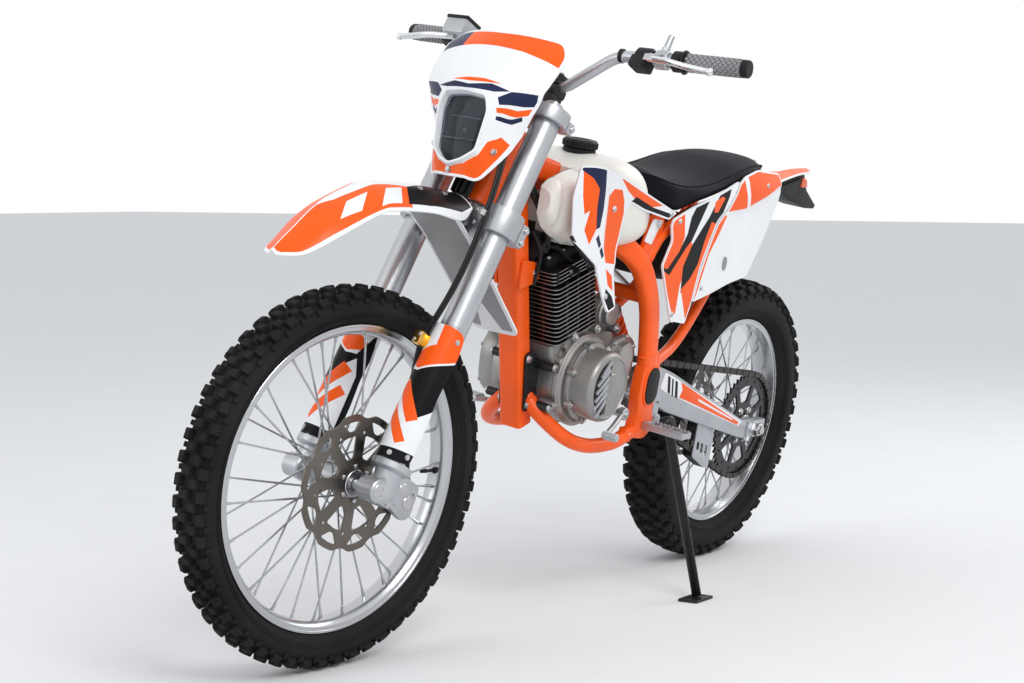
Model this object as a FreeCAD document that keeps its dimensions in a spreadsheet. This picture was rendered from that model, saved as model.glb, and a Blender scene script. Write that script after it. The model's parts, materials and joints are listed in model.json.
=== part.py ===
import FreeCAD, Part
import math
import os

import Sketcher

Vector = FreeCAD.Vector
Placement = FreeCAD.Placement
Rotation = FreeCAD.Rotation

X_AXIS = Vector(1, 0, 0)
Y_AXIS = Vector(0, 1, 0)
Z_AXIS = Vector(0, 0, 1)

# Driving dimensions in millimetres and degrees.
# The bike is drawn upright: X forward from the rear axle, Y to its left, Z up from the ground.
SIZES = {
    # Chassis geometry
    "wheelbase": 1412,
    "rake": 26.7,
    "trail": 128,
    "tube_offset": 21.5,
    "axle_lead": 43,
    "lean": 11.1,
    "steer_at_rest": -8.6,
    # Clearances
    "seat_gap": 0.3,
    "slide_gap": 0.2,
    "pin_gap": 0.5,
    # Wheels
    "front_tyre_radius": 350,
    "front_tyre_width": 86,
    "front_rim_radius": 281,
    "front_rim_width": 49,
    "rear_tyre_radius": 331,
    "rear_tyre_width": 110,
    "rear_rim_radius": 242.5,
    "rear_rim_width": 62,
    "sidewall_step": 3,
    "shoulder_drop": 13,
    "shoulder_step": 6,
    "tread_step": 19,
    "crown_drop": 3,
    "knob_height": 13,
    "front_crown_half": 10,
    "rear_crown_half": 13,
    "front_knob_rows": 30,
    "rear_knob_rows": 26,
    "rim_wall": 3,
    "rim_flange": 9,
    "rim_depth": 12,
    "spoke_pairs": 18,
    "spoke_radius": 2,
    "spoke_turn": 58,
    "hub_flange_radius": 34,
    "hub_barrel_radius": 22,
    "front_hub_half": 33,
    "rear_hub_half": 42,
    "axle_radius": 10,
    "axle_gap": 0.8,
    # Discs, sprocket and chain
    "front_disc_radius": 125,
    "front_disc_place": 50,
    "rear_disc_radius": 110,
    "rear_disc_place": 68,
    "disc_thickness": 4,
    "disc_lobes": 10,
    "chain_place": 70,
    "chain_pitch": 15.875,
    "chain_width": 18,
    "inner_link_width": 10,
    "chain_half_height": 7.5,
    "rear_teeth": 48,
    "front_teeth": 13,
    "sprocket_thickness": 6,
    "drive_shaft_ahead": 640,
    "drive_shaft_height": 505,
    # Fork
    "fork_half_spacing": 98,
    "fork_tube_radius": 26,
    "fork_tube_bottom": 678,
    "fork_tube_top": 1150,
    "stanchion_radius": 21.5,
    "stanchion_bottom": 425,
    "foot_radius": 25,
    "guard_radius": 37,
    "guard_wall": 3,
    "guard_top": 690,
    "lower_clamp_bottom": 882,
    "lower_clamp_height": 50,
    "upper_clamp_bottom": 1118,
    "upper_clamp_height": 28,
    "clamp_wall": 12,
    "clamp_step": 4,
    "bridge_ahead": 22,
    "stem_radius": 15,
    "head_tube_radius": 31,
    "head_tube_bottom": 946,
    "head_tube_top": 1106,
    # Frame
    "downtube_width": 50,
    "downtube_depth": 44,
    "cradle_radius": 15,
    "spar_width": 30,
    "spar_depth": 50,
    "spar_spread": 121,
    "backbone_width": 60,
    "backbone_depth": 50,
    "pivot_ahead": 575,
    "pivot_height": 487,
    "pivot_plate_inside": 108,
    "pivot_plate_wall": 26,
    "rail_radius": 12,
    "panel_place": 128,
    "panel_wall": 6,
    # Swingarm
    "arm_inside": 84,
    "arm_wall": 20,
    # Engine
    "crank_ahead": 758,
    "crank_height": 499,
    "cylinder_tilt": 17,
    "crankcase_half": 85,
    "gearbox_left": 55,
    "gearbox_top": 600,
    "fin_count": 14,
    "fin_pitch": 9,
    "fin_thickness": 2.6,
    "fin_half_width": 75,
    "fin_length": 146,
    "barrel_radius": 52,
    "fins_start": 104,
    "stator_radius": 72,
    "stator_face": 150,
    "head_fin_pitch": 9,
    "cover_rib_count": 6,
    "cover_rib_pitch": 14,
    "cover_rib_thickness": 5,
    # Bars and controls
    "bar_radius": 11,
    "bar_half_width": 416,
    "grip_radius": 16.5,
    "grip_length": 126,
    # Bodywork
    "skin": 3.5,
    "tank_half_width": 130,
    "tank_top": 951,
    "tunnel_half_width": 52,
    "seat_high": 957,
    "seat_low": 915,
    "seat_half_width": 122,
    "front_fender_peak": 882,
    "rear_fender_peak": 950,
    # Side stand
    "stand_pivot_ahead": 480,
    "stand_pivot_out": 138,
    "stand_pivot_height": 398,
    "stand_foot_out": 283,
    "stand_leg_radius": 10,
    "stand_eye_half": 12,
}

doc = FreeCAD.newDocument("EnduroBike")
sheet = doc.addObject("Spreadsheet::Sheet", "Sizes")
for row, (alias, number) in enumerate(SIZES.items(), start=1):
    sheet.set("A%d" % row, alias)
    sheet.set("B%d" % row, str(number))
    sheet.setAlias("B%d" % row, alias)
doc.recompute()


def size(alias):
    """Value of one driving dimension, read from the sheet."""
    return float(sheet.get(alias))


# Frames of reference. The fork frame has X ahead of the steering axis, Y left and Z up along it.
UPRIGHT = Placement()
FORK_FRAME = Placement(
    Vector(size("wheelbase") + size("trail"), 0, 0), Rotation(Y_AXIS, -size("rake"))
)
AXLE_TURN = Rotation(X_AXIS, -90)
FRONT_AXLE_AHEAD = size("axle_lead")
FRONT_AXLE_UP = FORK_FRAME.inverse().multVec(
    Vector(size("wheelbase"), 0, size("front_tyre_radius"))
).z
REAR_AXLE = Vector(0, 0, size("rear_tyre_radius"))


def fork_point(ahead, side, up):
    """Upright place of a point given in the fork frame, steering straight ahead."""
    return FORK_FRAME.multVec(Vector(ahead, side, up))


def mirrored(shape):
    """The same shape on the other side of the bike's middle plane."""
    return shape.mirror(Vector(0, 0, 0), Y_AXIS)


def both_sides(shape):
    """A shape and its mirror image in one compound."""
    return Part.makeCompound([shape, mirrored(shape)])


def fused(*shapes):
    """One clean solid out of overlapping ones."""
    return shapes[0].multiFuse(list(shapes[1:])).removeSplitter()


def block(x_range, y_range, z_range):
    """Box between two corners."""
    low = Vector(x_range[0], y_range[0], z_range[0])
    return Part.makeBox(x_range[1] - x_range[0], y_range[1] - y_range[0], z_range[1] - z_range[0], low)


def rod(start, end, radius):
    """Round bar between two points."""
    return Part.makeCylinder(radius, (end - start).Length, start, end - start)


def sleeve(start, end, radius, bore):
    """Round bar with a through bore."""
    return rod(start, end, radius).cut(rod(start, end, bore))


def corner_arc(before, corner, after, radius):
    """Three points of the arc that rounds one corner, and its radius."""
    back = before - corner
    ahead = after - corner
    shorter = min(back.Length, ahead.Length)
    back.normalize()
    ahead.normalize()
    half_turn = (math.pi - back.getAngle(ahead)) / 2
    largest = 0.45 * shorter / math.tan(half_turn)
    radius = largest if radius is None else min(radius, largest)
    reach = radius * math.tan(half_turn)
    bisector = (back + ahead).normalize()
    middle = corner + bisector * (radius / math.cos(half_turn) - radius)
    return (corner + back * reach, middle, corner + ahead * reach), radius


def arc_path(points, bend=None):
    """Straight runs joined by tangent arcs; without a bend radius each arc is as large as it can be."""
    edges = []
    radii = []
    start = points[0]
    for before, corner, after in zip(points, points[1:], points[2:]):
        arc, radius = corner_arc(before, corner, after, bend)
        radii.append(radius)
        edges.append(Part.LineSegment(start, arc[0]).toShape())
        edges.append(Part.Arc(*arc).toShape())
        start = arc[2]
    edges.append(Part.LineSegment(start, points[-1]).toShape())
    return Part.Wire(edges), radii


def tube_along(points, radius, bend=None):
    """Round bar swept along straight runs and arcs."""
    path, _ = arc_path(points, bend)
    section = Part.Wire([Part.Circle(points[0], points[1] - points[0], radius).toShape()])
    return path.makePipeShell([section], True, False)


def bar_along(points, width, depth, bend=None):
    """Rectangular bar swept along straight runs and arcs; its width stays across the bike."""
    path, _ = arc_path(points, bend)
    along = points[1] - points[0]
    rise = Vector(along.x, 0, along.z).normalize().cross(Y_AXIS) * (depth / 2)
    side = Y_AXIS * (width / 2)
    corners = [points[0] + side + rise, points[0] - side + rise]
    corners += [points[0] - side - rise, points[0] + side - rise]
    sweep = Part.BRepOffsetAPI.MakePipeShell(path)
    sweep.setBiNormalMode(Y_AXIS)
    sweep.add(Part.makePolygon(corners + corners[:1]))
    sweep.build()
    sweep.makeSolid()
    return sweep.shape()


def rounded_outline(points, radius):
    """Closed wire whose corners are rounded."""
    count = len(points)
    arcs = []
    for index, corner in enumerate(points):
        arc, _ = corner_arc(points[index - 1], corner, points[(index + 1) % count], radius)
        arcs.append(arc)
    edges = []
    for index, arc in enumerate(arcs):
        edges.append(Part.Arc(*arc).toShape())
        edges.append(Part.LineSegment(arc[2], arcs[(index + 1) % count][0]).toShape())
    return Part.Wire(edges)


def side_slab(outline, inside, outside, radius):
    """Plate seen from the side: outline in X and Z, standing between two Y planes."""
    points = [Vector(x, inside, z) for x, z in outline]
    face = Part.Face(rounded_outline(points, radius))
    return face.extrude(Vector(0, outside - inside, 0))


def arch(x, top, half_width, drop, lift, thickness):
    """Closed band across the bike: an arc over the top and the same arc a thickness below."""
    low = top - drop + lift
    top = top + lift
    over = Part.Arc(Vector(x, -half_width, low), Vector(x, 0, top), Vector(x, half_width, low))
    down = Part.LineSegment(Vector(x, half_width, low), Vector(x, half_width, low - thickness))
    under = Part.Arc(
        Vector(x, half_width, low - thickness),
        Vector(x, 0, top - thickness),
        Vector(x, -half_width, low - thickness),
    )
    up = Part.LineSegment(Vector(x, -half_width, low - thickness), Vector(x, -half_width, low))
    return Part.Wire([part.toShape() for part in (over, down, under, up)])


def arched_shell(sections, lift, thickness):
    """Curved fender through arched sections given as x, top, half width and drop."""
    wires = [arch(x, top, half, drop, lift, thickness) for x, top, half, drop in sections]
    return Part.makeLoft(wires, True, False)


def plump_section(x, low, high, half_width, radius):
    """Rounded rectangle across the bike at one x."""
    corners = [(-half_width, low), (half_width, low), (half_width, high), (-half_width, high)]
    return rounded_outline([Vector(x, y, z) for y, z in corners], radius)


PIECES = []


def add(label, shape, carrier):
    """Sub-part whose shape is made with Part's own functions."""
    piece = doc.addObject("Part::Feature", label)
    piece.Label = label
    piece.Shape = shape
    PIECES.append((piece, carrier))
    return piece


def new_body(label, carrier):
    """Empty PartDesign body registered as a sub-part."""
    body = doc.addObject("PartDesign::Body", label)
    body.Label = label
    PIECES.append((body, carrier))
    return body


def new_sketch(body, role, name):
    """Sketch on one of the body's own origin planes."""
    sketch = body.newObject("Sketcher::SketchObject", name)
    plane = [item for item in body.Origin.OriginFeatures if item.Role == role][0]
    sketch.AttachmentSupport = [(plane, "")]
    sketch.MapMode = "FlatFace"
    return sketch


def draw_outline(sketch, corners):
    """Closed outline of lines; each corner is a pair of expressions bound to the sheet."""
    places = []
    for across, along in corners:
        places.append(Vector(sketch.evalExpression(across), sketch.evalExpression(along), 0))
    count = len(places)
    for index in range(count):
        line = Part.LineSegment(places[index], places[(index + 1) % count])
        sketch.addGeometry(line, False)
    for index in range(count):
        follower = (index + 1) % count
        sketch.addConstraint(Sketcher.Constraint("Coincident", index, 2, follower, 1))
    for index, (across, along) in enumerate(corners):
        for kind, expression, value in (
            ("DistanceX", across, places[index].x),
            ("DistanceY", along, places[index].y),
        ):
            number = sketch.addConstraint(Sketcher.Constraint(kind, -1, 1, index, 1, value))
            sketch.setExpression("Constraints[%d]" % number, expression)


def draw_circle(sketch, across, along, radius):
    """Circle whose centre and radius are expressions bound to the sheet."""
    centre = Vector(sketch.evalExpression(across), sketch.evalExpression(along), 0)
    span = sketch.evalExpression(radius)
    index = sketch.addGeometry(Part.Circle(centre, Z_AXIS, span), False)
    number = sketch.addConstraint(Sketcher.Constraint("Radius", index, span))
    sketch.setExpression("Constraints[%d]" % number, radius)
    for kind, expression, value in (("DistanceX", across, centre.x), ("DistanceY", along, centre.y)):
        if abs(value) < 1e-9:
            axis = -2 if kind == "DistanceX" else -1
            sketch.addConstraint(Sketcher.Constraint("PointOnObject", index, 3, axis))
        else:
            number = sketch.addConstraint(Sketcher.Constraint(kind, -1, 1, index, 3, value))
            sketch.setExpression("Constraints[%d]" % number, expression)


def turned_body(label, carrier, corners):
    """Ring turned about its axle: outline of radius and place along the axle."""
    body = new_body(label, carrier)
    sketch = new_sketch(body, "XZ_Plane", label + "_profile")
    draw_outline(sketch, corners)
    turn = body.newObject("PartDesign::Revolution", label + "_turned")
    turn.Profile = sketch
    turn.ReferenceAxis = (sketch, ["V_Axis"])
    turn.Angle = 360
    body.Tip = turn
    return body


def mirror_outline(half):
    """Outline that is the same on both sides of the middle plane, from its upper half."""
    other = [(across, "-(%s)" % along) for across, along in reversed(half)]
    return half + other


# Where the bike stands: it leans left about its wheels' contact, and both tyres and the foot touch


def ring_point(sector, sectors, radius, side):
    """Corner of a wheel's ring of flat sectors; sector 0 lies round the lowest point."""
    angle = math.pi / 2 + (sector - 0.5) * 2 * math.pi / sectors
    return Vector(radius * math.cos(angle), radius * math.sin(angle), side)


def knob_tips(name):
    """Half outline over the knobs: the crown block's edge and the two of the shoulder block."""
    radius = size("%s_tyre_radius" % name)
    half = size("%s_tyre_width" % name) / 2
    crown = (radius, size("%s_crown_half" % name) - 1)
    return crown, (radius - 5, half - size("tread_step") + 4), (radius - size("shoulder_drop") - 5, half)


def tyre_low(place, name):
    """Lowest point of a leaning tyre, which is a corner of one of its knobs."""
    sectors = int(size("%s_knob_rows" % name)) * 2
    heights = []
    for sector in range(sectors):
        for radius, side in knob_tips(name):
            for way in (-1, 1):
                heights.append(place.multVec(ring_point(sector, sectors, radius, way * side)).z)
    return min(heights)


def parked_place():
    """Lean, then the pitch and height at which both tyres touch the ground."""
    steer = Rotation(Z_AXIS, size("steer_at_rest"))
    turned = FORK_FRAME.multiply(Placement(Vector(0, 0, 0), steer))
    front_wheel = turned.multiply(Placement(Vector(FRONT_AXLE_AHEAD, 0, FRONT_AXLE_UP), AXLE_TURN))
    rear_wheel = Placement(REAR_AXLE, AXLE_TURN)
    pitch = 0.0
    height = 0.0
    for _ in range(30):
        turn = Rotation(Y_AXIS, pitch).multiply(Rotation(X_AXIS, -size("lean")))
        place = Placement(Vector(0, 0, height), turn)
        rear = tyre_low(place.multiply(rear_wheel), "rear")
        front = tyre_low(place.multiply(front_wheel), "front")
        height -= rear
        pitch += math.degrees((front - rear) / size("wheelbase"))
    return place


PARKED = parked_place()
STEERED = FORK_FRAME.multiply(Placement(Vector(0, 0, 0), Rotation(Z_AXIS, size("steer_at_rest"))))
STAND_PIVOT = Vector(size("stand_pivot_ahead"), size("stand_pivot_out"), size("stand_pivot_height"))


def foot_on_ground():
    """Upright place of the foot's underside: straight below its place beside the bike."""
    ahead = size("stand_pivot_ahead") + 4
    out = size("stand_foot_out")
    height = 0.0
    for _ in range(20):
        height -= PARKED.multVec(Vector(ahead, out, height)).z
    return Vector(ahead, out, height)


def stand_axis():
    """Hinge direction: square to the leg both down and folded back along the swingarm."""
    down = (foot_on_ground() - STAND_PIVOT).normalize()
    folded = Vector(-0.98, 0.08, -0.12).normalize()
    return down.cross(folded).normalize()


STAND_AXIS = stand_axis()


# Wheels, drawn about their axle with Z to the bike's left


def flat_face(corners):
    return Part.Face(Part.makePolygon(corners + corners[:1]))


def closed_solid(faces):
    """Solid bounded by flat faces that meet edge to edge."""
    solid = Part.makeSolid(Part.makeShell(faces))
    if solid.Volume < 0:
        solid.reverse()
    return solid


def tyre_section(name):
    """Half outline of the casing without its knobs, from the bead out to the crown."""
    radius = size("%s_tyre_radius" % name) - size("knob_height")
    half = size("%s_tyre_width" % name) / 2
    rim = size("%s_rim_radius" % name)
    flat = math.cos(math.pi / (size("%s_knob_rows" % name) * 2))
    seat = size("%s_rim_width" % name) / 2 - size("rim_wall") - size("seat_gap")
    bead = (rim - size("rim_flange") + size("seat_gap")) / flat
    return [
        (bead, seat),
        (rim + 2, seat),
        (rim + 24, half - size("sidewall_step")),
        (radius - size("shoulder_drop"), half - size("shoulder_step")),
        (radius - size("crown_drop"), half - size("tread_step")),
        (radius, size("%s_crown_half" % name)),
    ]


def tyre(name):
    """Casing of flat sectors with a crown block on every second one and shoulder blocks between."""
    half_section = tyre_section(name)
    crown_tip, shoulder_tip, edge_tip = knob_tips(name)
    section = half_section + [(radius, -side) for radius, side in reversed(half_section)]
    crown = len(half_section) - 1
    knobs = {
        crown: (0, [crown_tip, (crown_tip[0], -crown_tip[1])]),
        crown - 2: (1, [edge_tip, shoulder_tip]),
        crown + 2: (1, [(shoulder_tip[0], -shoulder_tip[1]), (edge_tip[0], -edge_tip[1])]),
    }
    sectors = int(size("%s_knob_rows" % name)) * 2
    faces = []
    for sector in range(sectors):
        for index, start in enumerate(section):
            path = [start, section[(index + 1) % len(section)]]
            turn, tips = knobs.get(index, (None, []))
            if turn == sector % 2:
                path = [path[0]] + tips + [path[1]]
                for end in (sector, sector + 1):
                    faces.append(flat_face([ring_point(end, sectors, *corner) for corner in path]))
            for first, second in zip(path, path[1:]):
                corners = [(sector, first), (sector, second), (sector + 1, second), (sector + 1, first)]
                faces.append(flat_face([ring_point(end, sectors, *corner) for end, corner in corners]))
    add(name + "_tyre", closed_solid(faces), name + "_wheel")


def rim(name):
    radius = "Sizes.%s_rim_radius" % name
    half = "Sizes.%s_rim_width / 2" % name
    floor = "%s - Sizes.rim_flange - Sizes.rim_depth" % radius
    half_profile = [
        ("%s + Sizes.rim_wall" % floor, "9"),
        ("%s - Sizes.rim_flange" % radius, "14"),
        ("%s - Sizes.rim_flange" % radius, "%s - Sizes.rim_wall" % half),
        (radius, "%s - Sizes.rim_wall" % half),
        (radius, half),
        ("%s - Sizes.rim_flange - Sizes.rim_wall" % radius, half),
        (floor, "11"),
    ]
    return turned_body(name + "_rim", name + "_wheel", mirror_outline(half_profile))


def spoked_hub(name, extra):
    """Hub barrel with two flanges and its crossed spokes, laced to the rim's inside."""
    half = size("%s_hub_half" % name)
    flange = size("hub_flange_radius")
    bore = size("axle_radius") + size("axle_gap")
    rim_inside = size("%s_rim_radius" % name) - size("rim_flange") - size("rim_depth")
    parts = [rod(Vector(0, 0, -half), Vector(0, 0, half), size("hub_barrel_radius"))]
    for side in (-1, 1):
        parts.append(rod(Vector(0, 0, side * half), Vector(0, 0, side * (half - 6)), flange))
    parts += extra
    holes = flange - 5
    step = 360.0 / size("spoke_pairs")
    for side in (-1, 1):
        for index in range(int(size("spoke_pairs"))):
            lean_way = 1 if index % 2 else -1
            angle = math.radians(index * step + (step / 2 if side > 0 else 0))
            rim_angle = angle + lean_way * math.radians(size("spoke_turn"))
            root = side * (half - 3 + lean_way * 1.5)
            start = Vector(holes * math.cos(angle), holes * math.sin(angle), root)
            reach = rim_inside - 2 * size("seat_gap")
            end = Vector(reach * math.cos(rim_angle), reach * math.sin(rim_angle), side * 5)
            parts.append(rod(start, end, size("spoke_radius")))
    whole = parts[0].multiFuse(parts[1:])
    return whole.cut(rod(Vector(0, 0, -200), Vector(0, 0, 200), bore))


def disc_ring(label, radius):
    """Brake disc: a ring on spread arms, with scallops round its edge and rows of holes."""
    body = new_body(label, label)
    sketch = new_sketch(body, "XY_Plane", label + "_outline")
    draw_circle(sketch, "0", "0", "Sizes.%s" % radius)
    draw_circle(sketch, "0", "0", "Sizes.hub_flange_radius - 6")
    pad = body.newObject("PartDesign::Pad", label + "_plate")
    pad.Profile = sketch
    pad.setExpression("Length", "Sizes.disc_thickness")
    pad.Midplane = True
    body.Tip = pad
    doc.recompute()
    cuts = (
        ("scallop", "Sizes.%s + 17" % radius, "21"),
        ("window", "Sizes.%s - 44" % radius, "13"),
        ("hole", "Sizes.%s - 18" % radius, "5"),
    )
    for name, distance, span in cuts:
        hole = new_sketch(body, "XY_Plane", "%s_%s" % (label, name))
        draw_circle(hole, distance, "0", span)
        pocket = body.newObject("PartDesign::Pocket", "%s_%s_cut" % (label, name))
        pocket.Profile = hole
        pocket.Type = "ThroughAll"
        pocket.Midplane = True
        pattern = body.newObject("PartDesign::PolarPattern", "%s_%s_ring" % (label, name))
        pattern.Originals = [pocket]
        pattern.Axis = (hole, ["N_Axis"])
        pattern.Angle = 360
        pattern.setExpression("Occurrences", "Sizes.disc_lobes")
        body.Tip = pattern
        doc.recompute()
    return body


def rear_sprocket():
    """Chain wheel: a toothed ring on arms."""
    body = new_body("rear_sprocket", "rear_wheel")
    sketch = new_sketch(body, "XY_Plane", "rear_sprocket_outline")
    pitch_radius = "Sizes.chain_pitch / 2 / sin(180 deg / Sizes.rear_teeth)"
    draw_circle(sketch, "0", "0", "%s - Sizes.chain_half_height - 1.5" % pitch_radius)
    draw_circle(sketch, "0", "0", "Sizes.hub_flange_radius - 6")
    pad = body.newObject("PartDesign::Pad", "rear_sprocket_plate")
    pad.Profile = sketch
    pad.setExpression("Length", "Sizes.sprocket_thickness")
    pad.Midplane = True
    body.Tip = pad
    doc.recompute()
    window = new_sketch(body, "XY_Plane", "rear_sprocket_window")
    draw_circle(window, "%s * 0.62" % pitch_radius, "0", "19")
    pocket = body.newObject("PartDesign::Pocket", "rear_sprocket_window_cut")
    pocket.Profile = window
    pocket.Type = "ThroughAll"
    pocket.Midplane = True
    pattern = body.newObject("PartDesign::PolarPattern", "rear_sprocket_windows")
    pattern.Originals = [pocket]
    pattern.Axis = (window, ["N_Axis"])
    pattern.Angle = 360
    pattern.Occurrences = 8
    body.Tip = pattern
    return body


def along_axle(low, high, radius):
    """Round boss on the axle between two places."""
    return rod(Vector(0, 0, low), Vector(0, 0, high), radius)


tyre("front")
rim("front")
half_disc = size("disc_thickness") / 2
front_boss = along_axle(0, size("front_disc_place") - half_disc, size("hub_flange_radius"))
add("front_hub", spoked_hub("front", [front_boss]), "front_wheel")
disc_ring("front_disc", "front_disc_radius")
tyre("rear")
rim("rear")
half_sprocket = size("sprocket_thickness") / 2
rear_bosses = [
    along_axle(0, size("chain_place") - half_sprocket, size("hub_flange_radius")),
    along_axle(-size("rear_disc_place") + half_disc, 0, size("hub_flange_radius")),
]
add("rear_hub", spoked_hub("rear", rear_bosses), "rear_wheel")
disc_ring("rear_disc", "rear_disc_radius")
rear_sprocket()

# Path of the chain round both sprockets

PITCH_RADIUS_REAR = size("chain_pitch") / 2 / math.sin(math.pi / size("rear_teeth"))
PITCH_RADIUS_FRONT = size("chain_pitch") / 2 / math.sin(math.pi / size("front_teeth"))
DRIVE_SHAFT = Vector(size("drive_shaft_ahead"), 0, size("drive_shaft_height"))


def belt_face(offset):
    """Face inside the loop that runs round both sprockets, offset from the pitch line."""
    rear_radius = PITCH_RADIUS_REAR + offset
    front_radius = PITCH_RADIUS_FRONT + offset
    gap = DRIVE_SHAFT - REAR_AXLE
    slope = math.atan2(gap.z, gap.x)
    spread = math.acos((rear_radius - front_radius) / gap.Length)

    def rim_point(centre, radius, angle):
        return centre + Vector(radius * math.cos(angle), 0, radius * math.sin(angle))

    upper = slope + spread
    lower = slope - spread
    edges = [
        Part.Arc(
            rim_point(REAR_AXLE, rear_radius, upper),
            rim_point(REAR_AXLE, rear_radius, slope + math.pi),
            rim_point(REAR_AXLE, rear_radius, lower),
        ),
        Part.LineSegment(
            rim_point(REAR_AXLE, rear_radius, lower), rim_point(DRIVE_SHAFT, front_radius, lower)
        ),
        Part.Arc(
            rim_point(DRIVE_SHAFT, front_radius, lower),
            rim_point(DRIVE_SHAFT, front_radius, slope),
            rim_point(DRIVE_SHAFT, front_radius, upper),
        ),
        Part.LineSegment(
            rim_point(DRIVE_SHAFT, front_radius, upper), rim_point(REAR_AXLE, rear_radius, upper)
        ),
    ]
    return Part.Face(Part.Wire([edge.toShape() for edge in edges]))


def chain_space(extra, inside, outside):
    """Room round the chain between two Y planes."""
    half = size("chain_half_height") + extra
    ring = belt_face(half).cut(belt_face(-half))
    ring.translate(Y_AXIS * inside)
    return ring.extrude(Y_AXIS * (outside - inside))


# Frame


def head_tube():
    low = fork_point(0, 0, size("head_tube_bottom"))
    high = fork_point(0, 0, size("head_tube_top"))
    return rod(low, high, size("head_tube_radius"))


def head_bore():
    low = fork_point(0, 0, size("head_tube_bottom") - 60)
    high = fork_point(0, 0, size("head_tube_top") + 60)
    return rod(low, high, size("stem_radius") + size("pin_gap"))


DOWNTUBE_TOP = fork_point(-21, 0, 1087)
DOWNTUBE_FOOT = Vector(855, 0, 400)
BACKBONE_FRONT = fork_point(-14, 0, 1059)
BACKBONE_REAR = Vector(810, 0, 820)


def on_downtube(ahead, height):
    """Pair of X and Z at one height, measured ahead of the downtube's middle line."""
    share = (height - DOWNTUBE_FOOT.z) / (DOWNTUBE_TOP.z - DOWNTUBE_FOOT.z)
    return (DOWNTUBE_FOOT.x + (DOWNTUBE_TOP.x - DOWNTUBE_FOOT.x) * share + ahead, height)


def front_frame():
    """Head tube, box downtube, two cradle tubes and the head bracket."""
    downtube = bar_along([DOWNTUBE_TOP, DOWNTUBE_FOOT], size("downtube_width"), size("downtube_depth"))
    spread = size("spar_spread")
    cradle = tube_along(
        [
            Vector(866, 12, 462),
            Vector(858, 58, 425),
            Vector(815, 98, 384),
            Vector(700, spread - 8, 366),
            Vector(600, spread, 388),
        ],
        size("cradle_radius"),
    )
    half = size("downtube_width") / 2
    corners = [on_downtube(30, 738), on_downtube(-40, 724), on_downtube(-31, 696), on_downtube(23, 684)]
    bracket = side_slab(corners, half - 1, half + 6, 8)
    whole = fused(head_tube(), downtube, cradle, mirrored(cradle), bracket, mirrored(bracket))
    return whole.cut(head_bore())


def spar_line(side):
    spread = size("spar_spread")
    return [
        Vector(850, side * 16, 838),
        Vector(717, side * 88, 776),
        Vector(652, side * (spread - 4), 722),
        Vector(602, side * spread, 620),
        Vector(size("pivot_ahead") + 4, side * spread, 500),
    ]


def spar_bar(side, extra):
    return bar_along(spar_line(side), size("spar_width") + extra, size("spar_depth") + extra, 60)


def backbone(extra):
    points = [BACKBONE_FRONT, BACKBONE_REAR]
    return bar_along(points, size("backbone_width") + extra, size("backbone_depth") + extra)


def spar_frame():
    """Backbone, two side spars, pivot plates, cross tubes and the swingarm bolt."""
    inside = size("pivot_plate_inside")
    outside = inside + size("pivot_plate_wall")
    plate = side_slab(
        [(604, 540), (612, 470), (606, 392), (568, 380), (540, 402), (546, 470), (552, 545)],
        inside,
        outside,
        14,
    )
    pivot = Vector(size("pivot_ahead"), 0, size("pivot_height"))
    bolt = rod(pivot - Y_AXIS * (outside + 6), pivot + Y_AXIS * (outside + 6), 9)
    shock_cross = rod(Vector(600, -inside - 4, 668), Vector(600, inside + 4, 668), 15)
    parts = [spar_bar(1, 0), spar_bar(-1, 0), plate, mirrored(plate), bolt, shock_cross]
    whole = fused(backbone(0), *parts)
    return whole.cut(FRONT_FRAME).cut(head_bore())


def seat_rail(side, radius):
    route = ((640, 110, 750), (590, 108, 808), (450, 92, 846), (60, 66, 900))
    return tube_along([Vector(x, side * y, z) for x, y, z in route], radius, 60)


def seat_strut(side, radius):
    route = ((560, 121, 532), (451, 100, 556), (326, 80, 642), (130, 68, 872))
    return tube_along([Vector(x, side * y, z) for x, y, z in route], radius, 90)


def subframe():
    """Seat rails, struts and the bosses that carry the side panels."""
    radius = size("rail_radius")
    rail = seat_rail(1, radius)
    strut = seat_strut(1, radius)
    cross = rod(Vector(100, -72, 894), Vector(100, 72, 894), radius)
    reach = size("panel_place") - size("seat_gap")
    bosses = []
    for x, z in ((480, 838), (250, 874)):
        bosses.append(rod(Vector(x, 84, z), Vector(x, reach, z), 8))
    half = [rail, strut] + bosses
    whole = fused(cross, *(half + [mirrored(part) for part in half]))
    return whole.cut(SPAR_FRAME)


FRONT_FRAME = front_frame()
SPAR_FRAME = spar_frame()
SUBFRAME = subframe()
add("front_frame", FRONT_FRAME, "chassis")
add("spar_frame", SPAR_FRAME, "chassis")
add("subframe", SUBFRAME, "chassis")

# Engine


def crank_point(ahead, side, up):
    """Upright place of a point given along and across the tilted cylinder, from the crank."""
    tilt = Rotation(Y_AXIS, size("cylinder_tilt"))
    place = Vector(size("crank_ahead"), 0, size("crank_height"))
    return place + tilt.multVec(Vector(ahead, side, up))


def tilted(shape):
    """Shape drawn about the crank with Z up the cylinder, turned into the bike."""
    place = Placement(
        Vector(size("crank_ahead"), 0, size("crank_height")), Rotation(Y_AXIS, size("cylinder_tilt"))
    )
    return shape.transformed(place.toMatrix(), True)


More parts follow.
